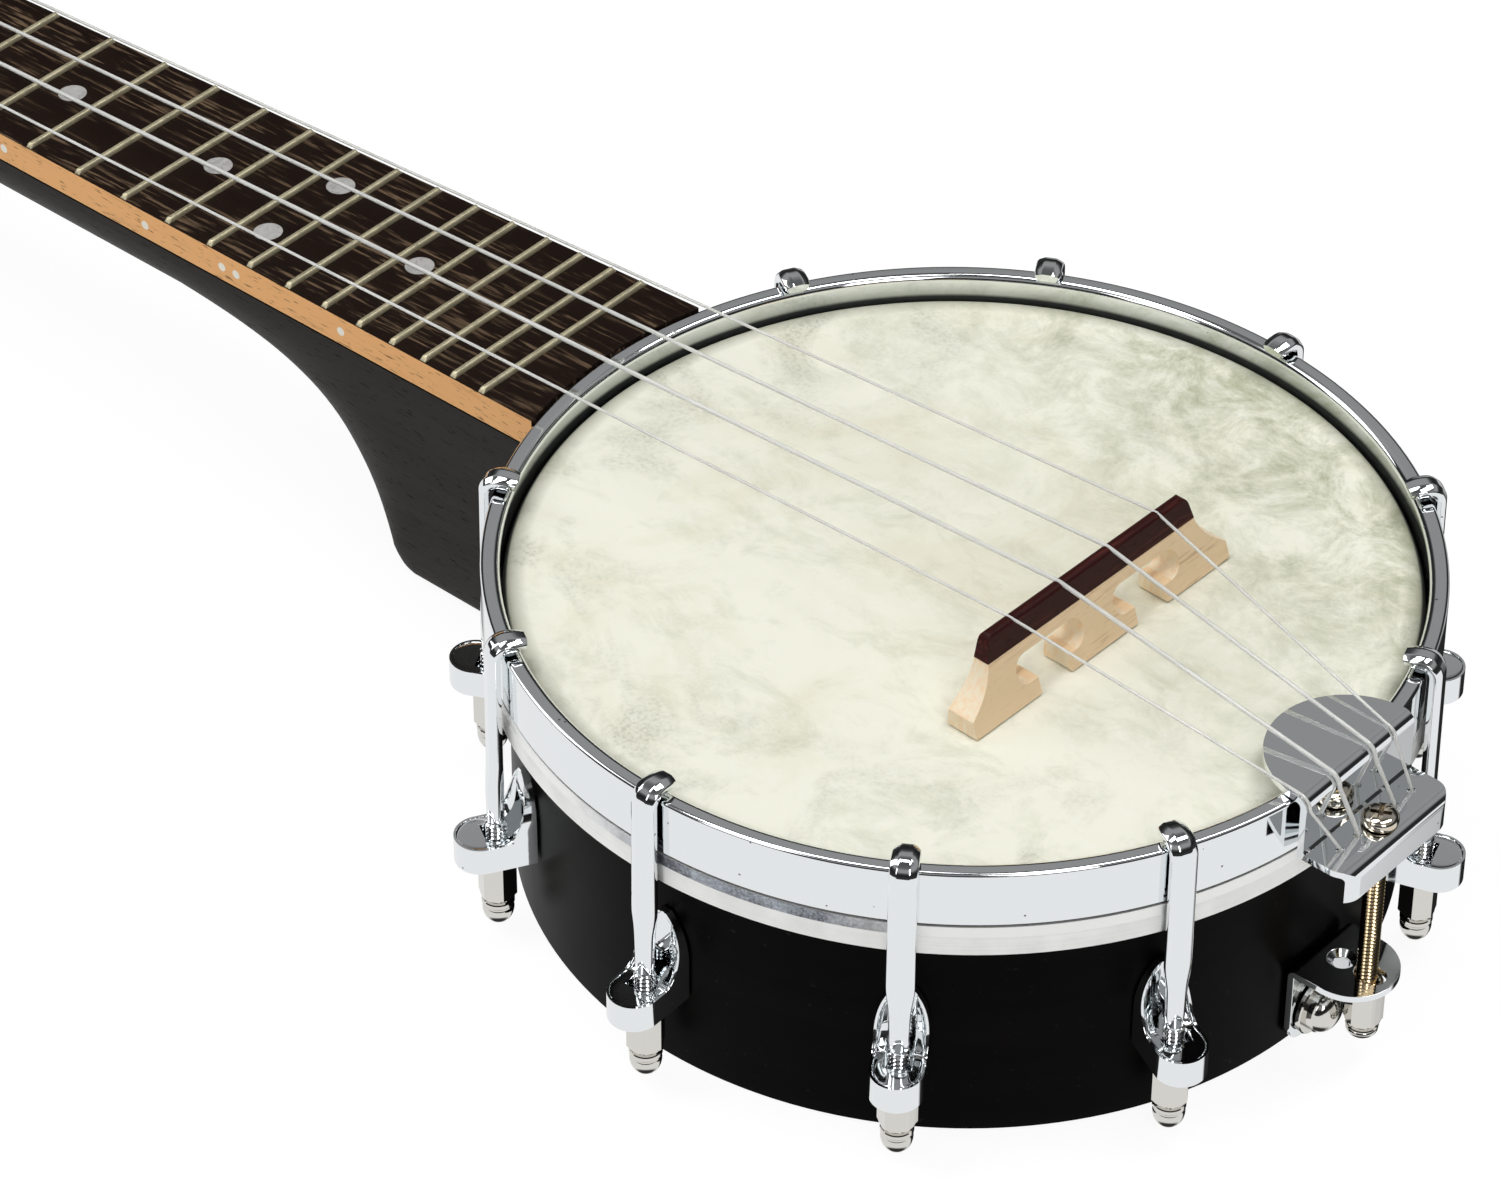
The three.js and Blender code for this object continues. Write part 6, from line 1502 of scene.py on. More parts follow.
def tail_bracket_shape(m):
    half = m.bracket_width / 2
    back = m.bracket_back
    front = back + m.bracket_reach
    bend = m.bracket_sheet * 1.2
    plan = [(back, -half), *arc(front - half, 0, half, -QUARTER_TURN, QUARTER_TURN, 40), (back, half)]
    plate = prism(plan, m.bracket_top - m.bracket_sheet, m.bracket_top, "Z")
    corner = m.bracket_corner
    outline = [
        (-half, m.bracket_top),
        *arc(-half + corner, m.bracket_foot + corner, corner, math.pi, 1.5 * math.pi, 12),
        *arc(half - corner, m.bracket_foot + corner, corner, -QUARTER_TURN, 0, 12),
        (half, m.bracket_top),
    ]
    leg = prism(outline, back, back + m.bracket_sheet, "X")
    low, high = m.bracket_top - m.bracket_sheet - 2, m.bracket_top + 2
    hole = m.screw_radius + m.running_gap
    slot = [
        *arc(m.screw_x + m.bracket_slot, 0, hole, -QUARTER_TURN, QUARTER_TURN, 14),
        *arc(m.screw_x, 0, hole, QUARTER_TURN, 1.5 * math.pi, 14),
    ]
    mouth, sink = m.spare_hole + m.spare_sink, m.bracket_top - m.spare_sink
    spare = turned(
        [(0, low), (m.spare_hole, low), (m.spare_hole, sink), (mouth, m.bracket_top), (mouth, high), (0, high)], 32,
    ).shifted(back + m.spare_reach, 0, 0)
    edge = [
        (back - 1, m.bracket_top - bend), *arc(back + bend, m.bracket_top - bend, bend, math.pi, QUARTER_TURN, 8),
        (back + bend, m.bracket_top + 1), (back - 1, m.bracket_top + 1),
    ]
    bend_cut = prism(edge, -half - 1, half + 1, "Y")
    return cut(joined(plate, leg), prism(slot, low, high, "Z"), rod_way(m, back - 2, front), spare, bend_cut)


def coordinator_rod_shape(m):
    """The rod with a washer and a nut on either side of the pot, and the domed end nut"""
    inside = m.rim_inner - m.seat_gap - 0.2
    ease = m.washer * 0.2

    def collar(face, way):
        thick, end = m.washer, m.washer + m.rod_nut_thickness
        rows = (
            (m.rod_radius, 0), (m.washer_radius - ease, 0), (m.washer_radius, ease),
            (m.washer_radius, thick - ease), (m.washer_radius - ease, thick), (m.rod_nut, thick),
            (m.rod_nut, end - ease), (m.rod_nut - ease, end), (m.rod_radius, end),
        )
        return [(radius, face + way * along) for radius, along in rows]

    outside = collar(m.bracket_back + m.bracket_sheet + m.seat_gap, 1)[:-2]
    dome = oval_arc(0, outside[-1][1] + ease, m.rod_nut * 0.92, m.dome - ease, 0, QUARTER_TURN, 8)
    heel_end = -m.rim_radius - m.rod_in_heel
    profile = [(0, heel_end), (m.rod_radius, heel_end), *collar(-inside, 1), *reversed(collar(inside, -1))]
    return turned_x([*profile, *outside, *dome], 48).shifted(0, m.rod_offset, m.rod_height)


# Neck

def board_half_width(m, x):
    share = (x - m.nut_line) / (-m.hoop_outer - m.nut_line)
    return (m.nut_width + (m.board_end_width - m.nut_width) * share) / 2


def neck_point(m, x, y, z):
    return m.neck @ Vector((x - m.pivot, y, z))


def pot_space(m):
    """What the pot takes out of the heel and the board"""
    step = m.flesh_bottom - m.seat_gap
    low, high = m.rim_radius + m.seat_gap, m.hoop_outer + m.seat_gap
    top = m.board_top + 5
    return turned([(0, -3), (low, -3), (low, step), (high, step), (high, top), (0, top)], POT_STEPS)


def neck_section(m, top_x, back_point, foot_share=1, box_share=1, top_drop=0):
    """One section, from its flat top round its back; a small box share makes it squarer"""
    quarter = 14
    half = board_half_width(m, top_x)
    top = neck_point(m, top_x, 0, m.neck_top - top_drop)
    ring = []
    for i in range(-quarter, quarter + 1):
        turn = QUARTER_TURN * (quarter - abs(i)) / quarter
        depth = math.sin(turn) ** box_share
        wide = 0 if i == 0 else math.cos(turn) ** box_share
        point = top.lerp(back_point, depth)
        point.y = math.copysign(1, i) * half * wide * (1 + (foot_share - 1) * depth)
        ring.append(point)
    return ring


def neck_shape(m):
    """Shaft, heel and head in one, with the room for the pot, rod and tuners taken out"""
    foot = -m.rim_radius - m.foot_length
    turn = -m.rim_radius - m.heel_turn
    foot_share = m.foot_width / m.board_end_width

    def section_at(x, depth, top_drop=0):
        return neck_section(m, x, neck_point(m, x, 0, m.neck_top - depth), top_drop=top_drop)

    inset = m.head_thickness * 0.25
    rows = smooth_table(
        [
            (m.head_start - m.head_thickness, inset * 2, inset),
            (m.head_start - m.head_thickness / 2, m.head_thickness, inset / 2),
            (m.head_start, m.neck_depth_at_nut, 0),
        ],
        5,
    )
    rings = [section_at(x, depth, max(0, drop)) for x, depth, drop in rows]
    depths = evenly(m.neck_depth_at_nut, m.neck_depth, 12)
    rings += [section_at(x, depth) for x, depth in list(zip(evenly(m.head_start, turn, 12), depths))[1:]]
    fall_shares = [
        (0, 1), (0.14, 0.985), (0.3, 0.955), (0.46, 0.9), (0.6, 0.81), (0.71, 0.69),
        (0.8, 0.54), (0.88, 0.37), (0.95, 0.18), (0.995, 0.04), (1.04, 0),
    ]
    fall_top = neck_point(m, turn, 0, m.neck_top - m.neck_depth).z
    for length_share, height_share in smooth_table(fall_shares, 4)[1:]:
        height_share = max(0, height_share)
        fall = 1 - height_share
        back_x = turn + (foot - turn) * length_share
        top_x = back_x + (foot - turn) * 0.62 * fall
        back = Vector((back_x, 0, fall_top * height_share))
        rings.append(neck_section(m, top_x, back, 1 + (foot_share - 1) * fall, 1 - 0.88 * min(1, fall * 1.15)))
    inside = -m.rim_radius + 3
    rings.append(neck_section(m, inside, Vector((inside, 0, 0)), foot_share, 0.12))
    half_shares = [
        (0, m.nut_width / m.head_widest), (0.03, 0.56), (0.1, 0.68), (0.18, 0.84), (0.27, 0.93), (0.42, 0.97),
        (0.62, 0.98), (0.8, 1), (0.9, 1), (0.955, 0.9), (0.985, 0.6), (1, 0),
    ]
    half = [(-m.head_length * a, m.head_widest / 2 * b) for a, b in smooth_table(half_shares, 3)]
    outline = half + [(x, -y) for x, y in reversed(half[:-1])]
    head = pillow(outline, -m.head_thickness, 0, m.head_round, 4).moved(m.head)
    hole = rod(m.bushing + m.seat_gap, -m.head_thickness - 3, 3, 40)
    holes = [hole.shifted(x, side * m.post_side, 0).moved(m.head) for x, side in m.posts]
    socket = rod_way(m, -m.rim_radius - m.rod_in_heel - m.seat_gap, -m.rim_inner)
    return cut(joined(loft(rings), head), pot_space(m), socket, *holes)


def fingerboard_shape(m):
    start, end = m.nut_line + m.seat_gap, -m.hoop_outer + 6
    outline = [
        (x - m.pivot, side * board_half_width(m, x))
        for x, side in ((start, -1), (end, -1), (end, 1), (start, 1))
    ]
    board = cut(prism(outline, -m.board_thickness, 0, "Z").moved(m.neck), pot_space(m))
    return board.marked(lambda _, direction: abs(direction.y) > 0.8)


def fret_mesh(m):
    """One fret of unit length along Y, its ends filed to a slope"""
    half = m.fret_width / 2
    section = [(half * math.cos(turn), m.fret_height * math.sin(turn) ** 0.75) for turn in evenly(0, math.pi, 10)]
    section += [(-half, -m.fret_height / 2), (half, -m.fret_height / 2)]
    rings = []
    for y, lean in ((-0.5, 0), (-0.486, 1), (-0.478, 1), (0.478, 1), (0.486, 1), (0.5, 0)):
        rings.append([(x, y / MM, z * lean if z > 0 else z) for x, z in section])
    return piece_mesh("fret", loft(rings), ["fret_metal"], Vector(), 0, 40)


def dots_shape(m):
    """Dots on the board's face and, with the second finish, on its bass edge"""
    def fret_place(number):
        return m.nut_line + m.scale_length * (1 - 2 ** (-number / 12))

    round_dot = rod(m.dot_radius, -DOT_SUNK, DOT_PROUD, 40)
    side_dot = rod(m.side_dot_radius, -DOT_SUNK, DOT_PROUD, 24).moved(about("X", QUARTER_TURN))
    face, edge = [], []
    for fret in DOT_FRETS:
        x = (fret_place(fret - 1) + fret_place(fret)) / 2
        for side in (-1, 1) if fret == PAIR_FRET else (0,):
            face.append(round_dot.shifted(x - m.pivot, side * PAIR_SPREAD, 0).moved(m.neck))
            place = x + side * SIDE_PAIR_SPREAD
            y = -board_half_width(m, place)
            edge.append(side_dot.shifted(place - m.pivot, y, -m.board_thickness / 2).moved(m.neck))
    for dot in edge:
        dot.marks = [1] * len(dot.faces)
    return face[0].with_shape(*face[1:], *edge)


def string_nut_shape(m):
    half = m.nut_width / 2
    back = m.head_start - m.pivot + m.seat_gap
    front = m.nut_line - m.pivot
    base = m.neck_top + m.seat_gap
    middle = (back + front) / 2
    crown = ((front, 0.9), (front - 0.4, 1), (middle, 0.97), (middle - 1, 0.75), (back, 0.3))
    side = [(back, base), (front, base), *[(x, m.nut_rise * share) for x, share in crown]]
    slots = [
        groove(y, m.nut_level - r - m.seat_gap, r + m.seat_gap / 2, m.nut_rise + 2, back - 2, front + 2)
        for y, r in zip(m.nut_y, m.string_radii)
    ]
    return cut(prism(side, -half, half, "Y"), *slots).moved(m.neck)


# Bridge

def bridge_base_shape(m):
    """Three feet under two long arches that open downwards between the feet"""
    foot = m.bridge_foot
    toe = foot + m.toe_height
    half, cap_half = m.bridge_length / 2, m.cap_length / 2
    flare = half - cap_half
    top = m.bridge_seat - m.seat_gap / 6
    elbow = toe + (top - toe) * 0.45
    level = toe + m.arch_radius
    reach = m.arch_half - m.arch_radius
    outline = [(-half, foot)]
    for end in (-1, 1):
        centre = end * m.arch_centre
        start, stop = centre - m.mouth_half, centre + m.mouth_half
        outline += [(start, foot), (start, toe)]
        outline += arc(centre - reach, level, m.arch_radius, -QUARTER_TURN, -1.5 * math.pi, 16)
        outline += arc(centre + reach, level, m.arch_radius, QUARTER_TURN, -QUARTER_TURN, 16)
        outline += [(stop, toe), (stop, foot)]
    end = [bent((half, toe), (cap_half + flare * 0.15, elbow), (cap_half, top), share) for share in evenly(0, 1, 14)]
    outline += [(half, foot), *end, *mirrored(end)]
    back = -m.back_setback
    slope = (m.foot_thickness - m.seam_thickness) / (top - foot)
    rear = [(back, y, z) for y, z in outline]
    front = [(back + m.foot_thickness - slope * (z - foot), y, z) for y, z in outline]
    shape = loft([rear, front]).marked(lambda _, way: abs(way.x) < 0.35 and abs(way.z) < 0.999)
    return shape.moved(m.bridge)


def bridge_cap_shape(m):
    seat, top = m.bridge_seat, m.bridge_top
    half = m.cap_length / 2
    soft = m.cap_height * 0.45
    ends = (half - soft * 0.3, top - soft), (half - soft * 0.5, top), (half - soft * 1.4, top)
    end = [bent(*ends, share) for share in evenly(0, 1, 8)]
    outline = [(-half, seat), (half, seat), *end, *mirrored(end)]
    back = -m.back_setback
    low, high = back - 1, back + m.foot_thickness
    crown = oval_arc(back + m.top_thickness / 2, top - soft * 0.4, m.top_thickness / 2, soft * 0.4, 0, math.pi, 10)
    side = [(back, seat), (back + m.seam_thickness, seat), *crown]
    block = common(prism(outline, low, high, "X"), prism(side, -half - 1, half + 1, "Y"))
    gap = m.seat_gap / 3
    notches = [
        groove(y, top - m.below_top - radius - gap, radius + gap, top + 1, low, high)
        for y, radius in zip(m.bridge_y, m.string_radii)
    ]
    return cut(block, *notches).moved(m.bridge)


# Tuners, for a post at the origin with its button towards +Y

def tuner_housing_shape(m):
    """Plate with two ears for the worm's shaft, and the bushing round the post"""
    bottom = m.tuner_top - m.plate
    worm_x = -m.worm_offset
    front = m.gear_outer + m.bushing_wall
    corner = 2
    x0, x1, y1 = front - m.plate_length + corner, front - corner, m.plate_width / 2 - corner
    outline = []
    for k, (x, y) in enumerate(((x0, -y1), (x1, -y1), (x1, y1), (x0, y1))):
        outline += arc(x, y, corner, (k - 2) * QUARTER_TURN, (k - 1) * QUARTER_TURN, 8)
    plate = prism(outline, bottom, m.tuner_top, "Z")
    barrel = rod(m.bushing, bottom + 0.1, m.seat_gap + m.flange_height / 2)
    profile = ((0, 0), (1, 0), (1, 0.4), (0.82, 1), (0, 1))
    flange = turned([(m.flange_radius * r, m.seat_gap + m.flange_height * z) for r, z in profile], 48)
    low = m.worm_level - m.worm_shaft - m.running_gap - m.ear
    half, top = m.ear_width / 2, m.tuner_top - m.plate / 2
    section = [(worm_x + half, top), (worm_x - half, top), *arc(worm_x, low + half, half, math.pi, FULL_TURN, 16)]
    ears = [prism(section, inner, inner + m.ear, "Y") for inner in (-m.ear_distance - m.ear, m.ear_distance)]
    bore = rod(m.post_radius + m.running_gap, bottom - 3, m.flange_height + 3)
    reach = m.ear_distance + m.ear + 3
    shaft = rod(m.worm_shaft + m.running_gap, -reach, reach, 32).moved(about("X", QUARTER_TURN))
    return cut(joined(plate, barrel, flange, *ears), bore, shaft.shifted(worm_x, 0, m.worm_level))


def gear_outline(m):
    step = FULL_TURN / m.gear_teeth
    outline = []
    for i in range(m.gear_teeth):
        for turn_share, height_share in ((-0.3, 0), (-0.2, 0.5), (-0.11, 1), (0.11, 1), (0.2, 0.5), (0.3, 0)):
            turn = math.pi + (i + turn_share) * step
            radius = m.gear_root + (m.gear_outer - m.gear_root) * height_share
            outline.append((radius * math.cos(turn), radius * math.sin(turn)))
    return outline


def string_post_shape(m):
    """Post with its gear and the gear's screw"""
    bottom = m.gear_top - m.gear_thickness
    middle = bottom + m.gear_thickness / 2
    screw, screw_height = m.gear_screw, m.gear_screw_height
    top, r = m.post_height, m.post_radius
    step = r - m.waist_radius
    levels = evenly(m.waist_bottom, m.waist_top + step, 12)
    waist = [(r - step * math.sin(turn), z) for turn, z in zip(evenly(0, math.pi, 12), levels)]
    post = turned(
        [
            (0, bottom - screw_height), (screw * 0.85, bottom - screw_height), (screw, bottom - screw_height * 0.7),
            (screw, middle), (r, middle), *waist, (r, top - 0.6), (r * 0.93, top - 0.15), (r * 0.8, top), (0, top),
        ],
        48,
    )
    gear = prism(gear_outline(m), bottom, m.gear_top, "Z")
    hole = rod(m.post_hole, -r - 2, r + 2, 16).moved(about("X", QUARTER_TURN))
    slot = box(-POST_SLOT_HALF, POST_SLOT_HALF, -screw, screw, bottom - screw_height - 1, bottom - screw_height * 0.5)
    return cut(joined(post, gear), hole.shifted(0, 0, m.post_hole_height), slot)


def tuner_button_shape(m):
    """Worm, shaft and oval button, along Z"""
    def oval(z, half_x, half_y, square):
        ring = []
        for turn in evenly(0, FULL_TURN, 40)[:-1]:
            c, s = math.cos(turn), math.sin(turn)
            wide, high = math.copysign(abs(c) ** square, c), math.copysign(abs(s) ** square, s)
            ring.append((half_x * wide, half_y * high, z))
        return ring

    shaft = m.worm_shaft
    collar = shaft * 1.8
    outer = m.ear_distance + m.ear + m.running_gap
    start = m.button_start
    stem = (
        (-outer, shaft * 0.9), (0.2 - outer, shaft), (outer, shaft), (outer, collar * 0.92), (outer + 0.3, collar),
        (outer + collar * 0.6, collar), (outer + collar * 0.8, collar * 0.85), (outer + collar, shaft * 1.05),
        (start, shaft),
    )
    knob = (
        (0.05, 0.5, 0.62, 0.95), (0.14, 0.78, 0.86, 0.92), (0.3, 0.95, 0.97, 0.9), (0.5, 1, 1, 0.88),
        (0.7, 1, 0.99, 0.88), (0.86, 0.9, 0.88, 0.9), (0.96, 0.72, 0.66, 0.93), (1, 0.5, 0.45, 0.95),
    )
    body = loft([oval(z, radius, radius, 1) for z, radius in stem] + [
        oval(start + m.button_length * along, m.button_half_length * wide, m.button_half_thickness * high, square)
        for along, wide, high, square in knob
    ])
    count = m.worm_turns * TURN_STEPS
    root = shaft * 0.8
    rings = []
    for i in range(count + 1):
        turn = FULL_TURN * (i - count / 2) / TURN_STEPS
        height = m.worm_pitch * turn / FULL_TURN
        fade = min(1, i / 6, (count - i) / 6)
        crest = root + (m.worm_outer - root) * max(0.35, fade)
        corners = [(root, -0.24), (crest, -0.09), (crest, 0.09), (root, 0.24)]
        rings.append([(r * math.cos(turn), r * math.sin(turn), height + share * m.worm_pitch) for r, share in corners])
    return body.with_shape(loft(rings).moved(about("Z", math.pi)))


# Strings

def string_shape(m, i):
    radius = m.string_radii[i]
    bend_radius = m.bend_round + m.seat_gap * 0.4 + radius
    bend_x = m.web_inner + m.sheet - m.bend_round
    bend_z = m.plate_top - m.bend_round
    knot_top = m.shelf_top - m.sheet - m.seat_gap
    points, radii = [], []

    def add(point, r=radius):
        points.append(Vector(point))
        radii.append(r)

    x, y = m.string_hole_x, m.string_holes_y[i]
    for share in evenly(0, 1, 6):
        add((x, y, knot_top - 2 * m.knot * (1 - share)), m.knot * math.sin(math.pi * (0.12 + 0.76 * share)))
    add((x, y, knot_top + m.seat_gap / 2))
    add((x, y, m.shelf_top + radius))
    for across, up in arc(bend_x, bend_z, bend_radius, 0, QUARTER_TURN * 0.92, 10):
        add((across, m.bend_places[i], up))
    top_middle = (-m.back_setback + m.top_thickness / 2, m.bridge_y[i], m.bridge_top - m.below_top)
    add(m.bridge @ Vector(top_middle))
    add(neck_point(m, m.nut_line - m.nut_thickness / 4, m.nut_y[i], m.nut_level))
    from_nut = neck_point(m, m.head_start + m.nut_thickness / 4, m.nut_y[i], m.nut_level - radius)
    add(from_nut)
    post_x, side = m.posts[i]
    post = Vector((post_x, side * m.post_side, 0))
    reach = m.waist_radius + m.seat_gap + radius
    to_post = ((m.head.inverted() @ from_nut) - post).xy
    first = math.atan2(to_post.y, to_post.x) - side * math.acos(reach / to_post.length)
    pitch = 2 * radius + m.turn_gap
    winding = []
    for turns in evenly(0, m.turns, m.turns * TURN_STEPS):
        turn = first - side * FULL_TURN * turns
        height = m.winding_top - radius - pitch * turns
        winding.append(post + Vector((reach * math.cos(turn), reach * math.sin(turn), height)))
    last = winding[-1]
    run = (last - winding[-2]).normalized() * m.string_tail
    out = ((last - post).xy.normalized() * radius).to_3d()
    for point in (*winding, last + run / 2 + out, last + run + out * 2):
        add(m.head @ point)
    return tube(points, radii, 10)


# Operators

class BuildRim(Operator):
    """Rim, skin, flesh hoop and tension hoop"""
    bl_idname = "ukulele.rim"
    bl_label = "Rim, skin and hoops"

    def execute(self, context):
        m = measures()
        make_piece("laminated_rim", rim_shape(m), ["rim_lacquer"], ["rim"], crease=40)
        make_piece("skin_head", skin_shape(m), ["drum_skin"], ["drum_head"], crease=40)
        make_piece(
            "banded_flesh_hoop", flesh_hoop_shape(m), ["aluminium", "rubbed_band"], ["flesh_hoop"],
            crease=30,
        )
        make_piece(
            "rounded_tension_hoop", tension_hoop_shape(m), ["chrome"], ["tension_hoop"], crease=30,
        )
        return {"FINISHED"}


class BuildHooks(Operator):
    """Tension hooks and bracket shoes, repeated round the rim"""
    bl_idname = "ukulele.hooks"
    bl_label = "Hooks and shoes"

    def execute(self, context):
        m = measures()
        tree = ring_of_fittings_tree()
        values = {
            "On each side": m.hooks_per_side, "First angle": m.first_angle, "Treble step": m.treble_step,
            "Bass step": m.bass_step, "Pot centre": POT_CENTRE, "Finish": finish("chrome"),
        }
        numbers = range(1, 2 * m.hooks_per_side + 1)
        hook = piece_mesh("hook", hook_shape(m), ["chrome"], Vector(), 0, 38)
        hooks = grown("tension_hooks", hook, tree, values)
        settle("tension_hooks", hooks, [f"hook_{n}" for n in numbers])
        body, bolt = shoe_shape(m)
        shoe = piece_mesh("shoe", body, ["chrome"], Vector(), 0.16, 34)
        shoes = grown("scooped_shoes", shoe, tree, values)
        settle("scooped_shoes", shoes, [f"bracket_shoe_{n}" for n in numbers])
        screw = piece_mesh("bolt", bolt, ["chrome"], Vector(), 0.12, 34)
        settle("shoe_bolts", grown("shoe_bolts", screw, tree, values))
        return {"FINISHED"}


class BuildNuts(Operator):
    """Domed nuts under the shoes and under the tailpiece's bracket, each on its own body"""
    bl_idname = "ukulele.nuts"
    bl_label = "Domed nuts"

    def execute(self, context):
        m = measures()
        top = m.shoe_bottom - m.seat_gap
        depth = top - m.thread_bottom + m.seat_gap
        nut = nut_shape(m.nut_flats, m.nut_hex, m.nut_height, m.thread_radius + m.seat_gap, depth)
        for i, turn in enumerate(hook_angles(m), 1):
            placed = nut.moved(about("Z", turn) @ Matrix.Translation((m.rod_axis, 0, top)))
            make_piece(
                f"domed_nut_{i}", placed, ["nickel"], [f"hook_nut_{i}"], f"hook_nut_{i}", crease=26,
            )
        top = m.bracket_top - m.bracket_sheet - m.seat_gap
        nut = nut_shape(m.nut_flats, m.tail_nut_hex, m.tail_nut_height, m.screw_radius + m.seat_gap, m.screw_past)
        make_piece(
            "tail_domed_nut", nut.shifted(m.screw_x, 0, top), ["nickel"], ["tailpiece_nut"],
            "tailpiece_nut", crease=26,
        )
        return {"FINISHED"}


class BuildTail(Operator):
    """Tailpiece, its screw, the bracket and the rod through the pot"""
    bl_idname = "ukulele.tail"
    bl_label = "Tailpiece, bracket and rod"

    def execute(self, context):
        m = measures()
        make_piece("bent_tailpiece", tailpiece_shape(m), ["chrome"], ["tailpiece"], bevel=0.16)
        make_piece("cross_head_screw", tail_screw_shape(m), ["brass"], ["tailpiece_screw"])
        make_piece("angle_bracket", tail_bracket_shape(m), ["chrome"], ["tail_bracket"], bevel=0.18)
        make_piece("rod_through_pot", coordinator_rod_shape(m), ["nickel"], ["coordinator_rod"])
        return {"FINISHED"}


class BuildNeck(Operator):
    """Neck with its heel and head, and the string nut"""
    bl_idname = "ukulele.neck"
    bl_label = "Neck and string nut"

    def execute(self, context):
        m = measures()
        make_piece("carved_neck", neck_shape(m), ["stained_wood"], ["neck"], crease=30)
        make_piece("slotted_nut", string_nut_shape(m), ["bone"], ["string_nut"], bevel=0.15)
        return {"FINISHED"}


class BuildBoard(Operator):
    """Fingerboard with its frets and position dots"""
    bl_idname = "ukulele.board"
    bl_label = "Fingerboard and frets"

    def execute(self, context):
        m = measures()
        make_piece(
            "hollow_ended_board", fingerboard_shape(m), ["board_wood", "board_edge"], ["fingerboard"],
            bevel=0.2,
        )
        values = {
            "Frets": m.frets, "Scale length": m.scale_length * MM,
            "Width at the nut": (m.nut_width - 2 * m.fret_inset) * MM,
            "Widening": (m.board_end_width - m.nut_width) / (-m.hoop_outer - m.nut_line),
            "Nut place": POT_CENTRE + neck_point(m, m.nut_line, 0, 0) * MM,
            "Slope": -m.tilt, "Finish": finish("fret_metal"),
        }
        settle("frets", grown("frets", fret_mesh(m), frets_tree(), values))
        make_piece("position_dots", dots_shape(m), ["pearl", "bone"])
        return {"FINISHED"}


class BuildBridge(Operator):
    """Maple bridge with its hardwood cap"""
    bl_idname = "ukulele.bridge"
    bl_label = "Bridge"

    def execute(self, context):
        m = measures()
        make_piece(
            "arched_bridge", bridge_base_shape(m), ["maple", "maple_end"], ["bridge_base"], bevel=0.2,
        )
        make_piece("notched_cap", bridge_cap_shape(m), ["cap_wood"], ["bridge_cap"], bevel=0.2)
        return {"FINISHED"}


class BuildTuners(Operator):
    """Four worm-geared tuners; each button and each post has its own body"""
    bl_idname = "ukulele.tuners"
    bl_label = "Tuners"

    def execute(self, context):
        m = measures()
        housing = tuner_housing_shape(m)
        post = string_post_shape(m)
        button = tuner_button_shape(m).moved(about("X", -QUARTER_TURN)).shifted(-m.worm_offset, 0, m.worm_level)
        for i, (x, side) in enumerate(m.posts, 1):
            place = m.head @ Matrix.Translation((x, side * m.post_side, 0)) @ Matrix.Diagonal((1, side, 1, 1))
            make_piece(
                f"geared_housing_{i}", housing.moved(place), ["chrome"], [f"tuner_housing_{i}"],
                bevel=0.2,
            )
            for name, shape, body in (("geared_post", post, "string_post"), ("oval_button", button, "tuner_button")):
                body = f"{body}_{i}"
                make_piece(f"{name}_{i}", shape.moved(place), ["chrome"], [body], body)
        return {"FINISHED"}


class BuildStrings(Operator):
    """Four strings from their knots to their windings"""
    bl_idname = "ukulele.strings"
    bl_label = "Strings"

    def execute(self, context):
        m = measures()
        for i in range(len(m.string_radii)):
            number = i + 1
            make_piece(
                f"nylon_string_{number}", string_shape(m, i), ["nylon"], [f"string_{number}"],
                crease=60,
            )
        return {"FINISHED"}


FLOOR_REACH = 4

# Name, place, size, power in watts, and turn about its own axis; all of them point at the light target
LIGHT_TARGET = Vector((0.1, 0, 0))
SOFT_LIGHTS = (
    ("overhead_softbox_left", (-0.3, -0.3, 1.95), (0.5, 1.3), 13.5, 0.71),
    ("overhead_softbox_right", (0.6, 0.5, 1.95), (0.5, 1.3), 13.5, 0.71),
    ("left_softbox", (-1.5, -0.7, 1.2), (1.0, 1.4), 9, 0),
    ("camera_side_softbox", (1.7, -0.9, 1.4), (0.7, 1.2), 8, 0),
    ("front_softbox", (-0.1, -1.9, 1.3), (0.7, 1.2), 5, 0),
)

# The photograph's view, solved from it: angles in degrees, lengths in millimetres, distance in metres
CAMERA_AZIMUTH, CAMERA_ELEVATION, CAMERA_ROLL = 40.895, 39.339, 0.178
CAMERA_DISTANCE = 1.159546
CAMERA_TARGET = Vector((-50.976, -0.7, 27.509))
CAMERA_LENS, CAMERA_SENSOR = 146.26, 36

# Direction towards which the room's lower half darkens, and greys over the height of a direction
DARK_SIDE = (-0.17, 0.985, 0)
LOWER_GREYS = ((0.52, 0.88), (0.62, 0.02), (0.8, 0.02), (0.95, 0.5))
UPPER_GREYS = ((0.5, 0.04), (0.68, 0.015), (0.75, 0.06), (0.795, 0.27), (0.87, 0.3), (0.93, 0.12), (1.0, 0.08))


class BuildStage(Operator):
    """Pale floor, soft studio light and the camera"""
    bl_idname = "ukulele.stage"
    bl_label = "Stage"

    def execute(self, context):
        scene = context.scene
        mesh = bpy.data.meshes.new("floor")
        r = FLOOR_REACH
        mesh.from_pydata([(-r, -r, 0), (r, -r, 0), (r, r, 0), (-r, r, 0)], [], [(0, 1, 2, 3)])
        mesh.materials.append(finish("pale_floor"))
        floor = linked("floor", mesh)
        floor.visible_glossy = False
        for row in SOFT_LIGHTS:
            soft_light(*row)
        studio_world(scene)
        place_camera(scene)
        scene.view_settings.view_transform = "Standard"
        return {"FINISHED"}


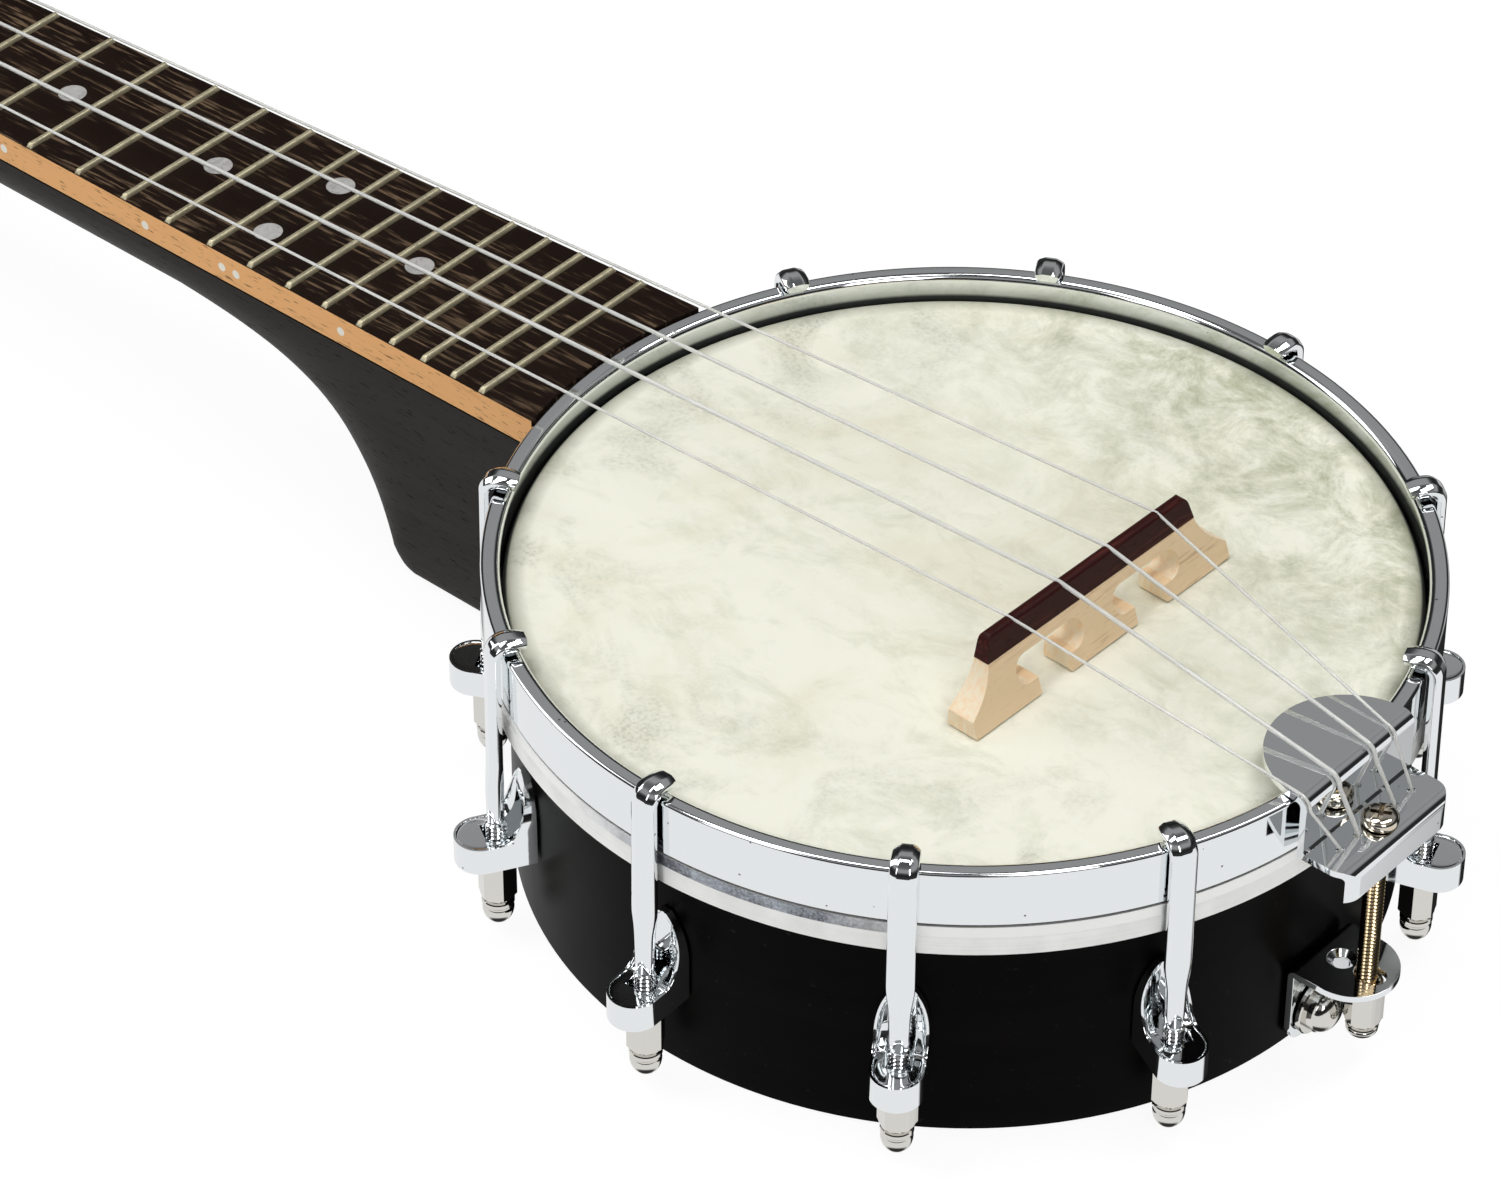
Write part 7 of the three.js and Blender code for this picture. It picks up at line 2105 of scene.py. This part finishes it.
def soft_light(name, place, size, power, spin):
    light = bpy.data.lights.new(name, "AREA")
    light.shape = "RECTANGLE"
    light.size, light.size_y = size
    light.energy = power
    lamp = linked(name, light)
    lamp.location = place
    turn = (Vector(place) - LIGHT_TARGET).to_track_quat("Z", "Y") @ Quaternion((0, 0, 1), spin)
    lamp.rotation_euler = turn.to_euler()


def studio_world(scene):
    """Grey room with a dark band above the horizon; white below it, but dark on one side and at the foot"""
    world = bpy.data.worlds.new("studio")
    world.use_nodes = True
    tree = world.node_tree
    direction = node(tree, "ShaderNodeTexCoord").outputs["Generated"]
    up = node(tree, "ShaderNodeSeparateXYZ", {0: direction}).outputs["Z"]
    side = vector_math(tree, "DOT_PRODUCT", direction, DARK_SIDE, output="Value")
    height = line(tree, up, 0.5, 0.5)
    lower = mixed(tree, ramp(tree, height, (0.03, 0), (0.07, 1)), 0.04, ramp(tree, side, *LOWER_GREYS))
    below = reckon(tree, "LESS_THAN", up, 0)
    background = tree.nodes["Background"].inputs
    fill(tree, background["Color"], mixed(tree, below, ramp(tree, height, *UPPER_GREYS), lower))
    fill(tree, background["Strength"], 1)
    scene.world = world


def place_camera(scene):
    """The photograph's view: where the camera looks, from which side, how high and how far"""
    azimuth, elevation, roll = map(math.radians, (CAMERA_AZIMUTH, CAMERA_ELEVATION, CAMERA_ROLL))
    side, front = math.sin(azimuth), math.cos(azimuth)
    back = Vector((side * math.cos(elevation), -front * math.cos(elevation), math.sin(elevation)))
    right = Vector((front, side, 0))
    up = back.cross(right)
    turned_right = right * math.cos(roll) + up * math.sin(roll)
    turned_up = up * math.cos(roll) - right * math.sin(roll)
    data = bpy.data.cameras.new("camera")
    data.sensor_fit = "HORIZONTAL"
    data.sensor_width = CAMERA_SENSOR
    data.lens = CAMERA_LENS
    data.clip_start, data.clip_end = 0.01, 50
    camera = linked("camera", data)
    place = POT_CENTRE + CAMERA_TARGET * MM + back * CAMERA_DISTANCE
    turn = Matrix((turned_right, turned_up, back)).transposed().to_4x4()
    camera.matrix_world = Matrix.Translation(place) @ turn
    scene.camera = camera


BUILDERS = [
    BuildStage, BuildRim, BuildHooks, BuildNuts, BuildTail, BuildNeck, BuildBoard, BuildBridge, BuildTuners,
    BuildStrings,
]


class UkulelePanel(Panel):
    """Lists the pieces that can be built"""
    bl_idname = "VIEW3D_PT_ukulele"
    bl_label = "Banjo ukulele"
    bl_space_type = "VIEW_3D"
    bl_region_type = "UI"
    bl_category = "Banjo ukulele"

    def draw(self, context):
        for builder in BUILDERS:
            self.layout.operator(builder.bl_idname)
        for key in SETTINGS:
            column = self.layout.column()
            group = getattr(context.scene, key)
            for prop in group.bl_rna.properties:
                if prop.identifier not in ("rna_type", "name"):
                    column.prop(group, prop.identifier)


def register():
    for item in [*SETTINGS.values(), *BUILDERS, UkulelePanel]:
        bpy.utils.register_class(item)
    for key, group in SETTINGS.items():
        setattr(bpy.types.Scene, key, PointerProperty(type=group))


def unregister():
    for key in SETTINGS:
        delattr(bpy.types.Scene, key)
    for item in reversed([*SETTINGS.values(), *BUILDERS, UkulelePanel]):
        bpy.utils.unregister_class(item)


def main():
    register()
    for builder in BUILDERS:
        category, name = builder.bl_idname.split(".")
        getattr(getattr(bpy.ops, category), name)()


if __name__ == "__main__":
    main()
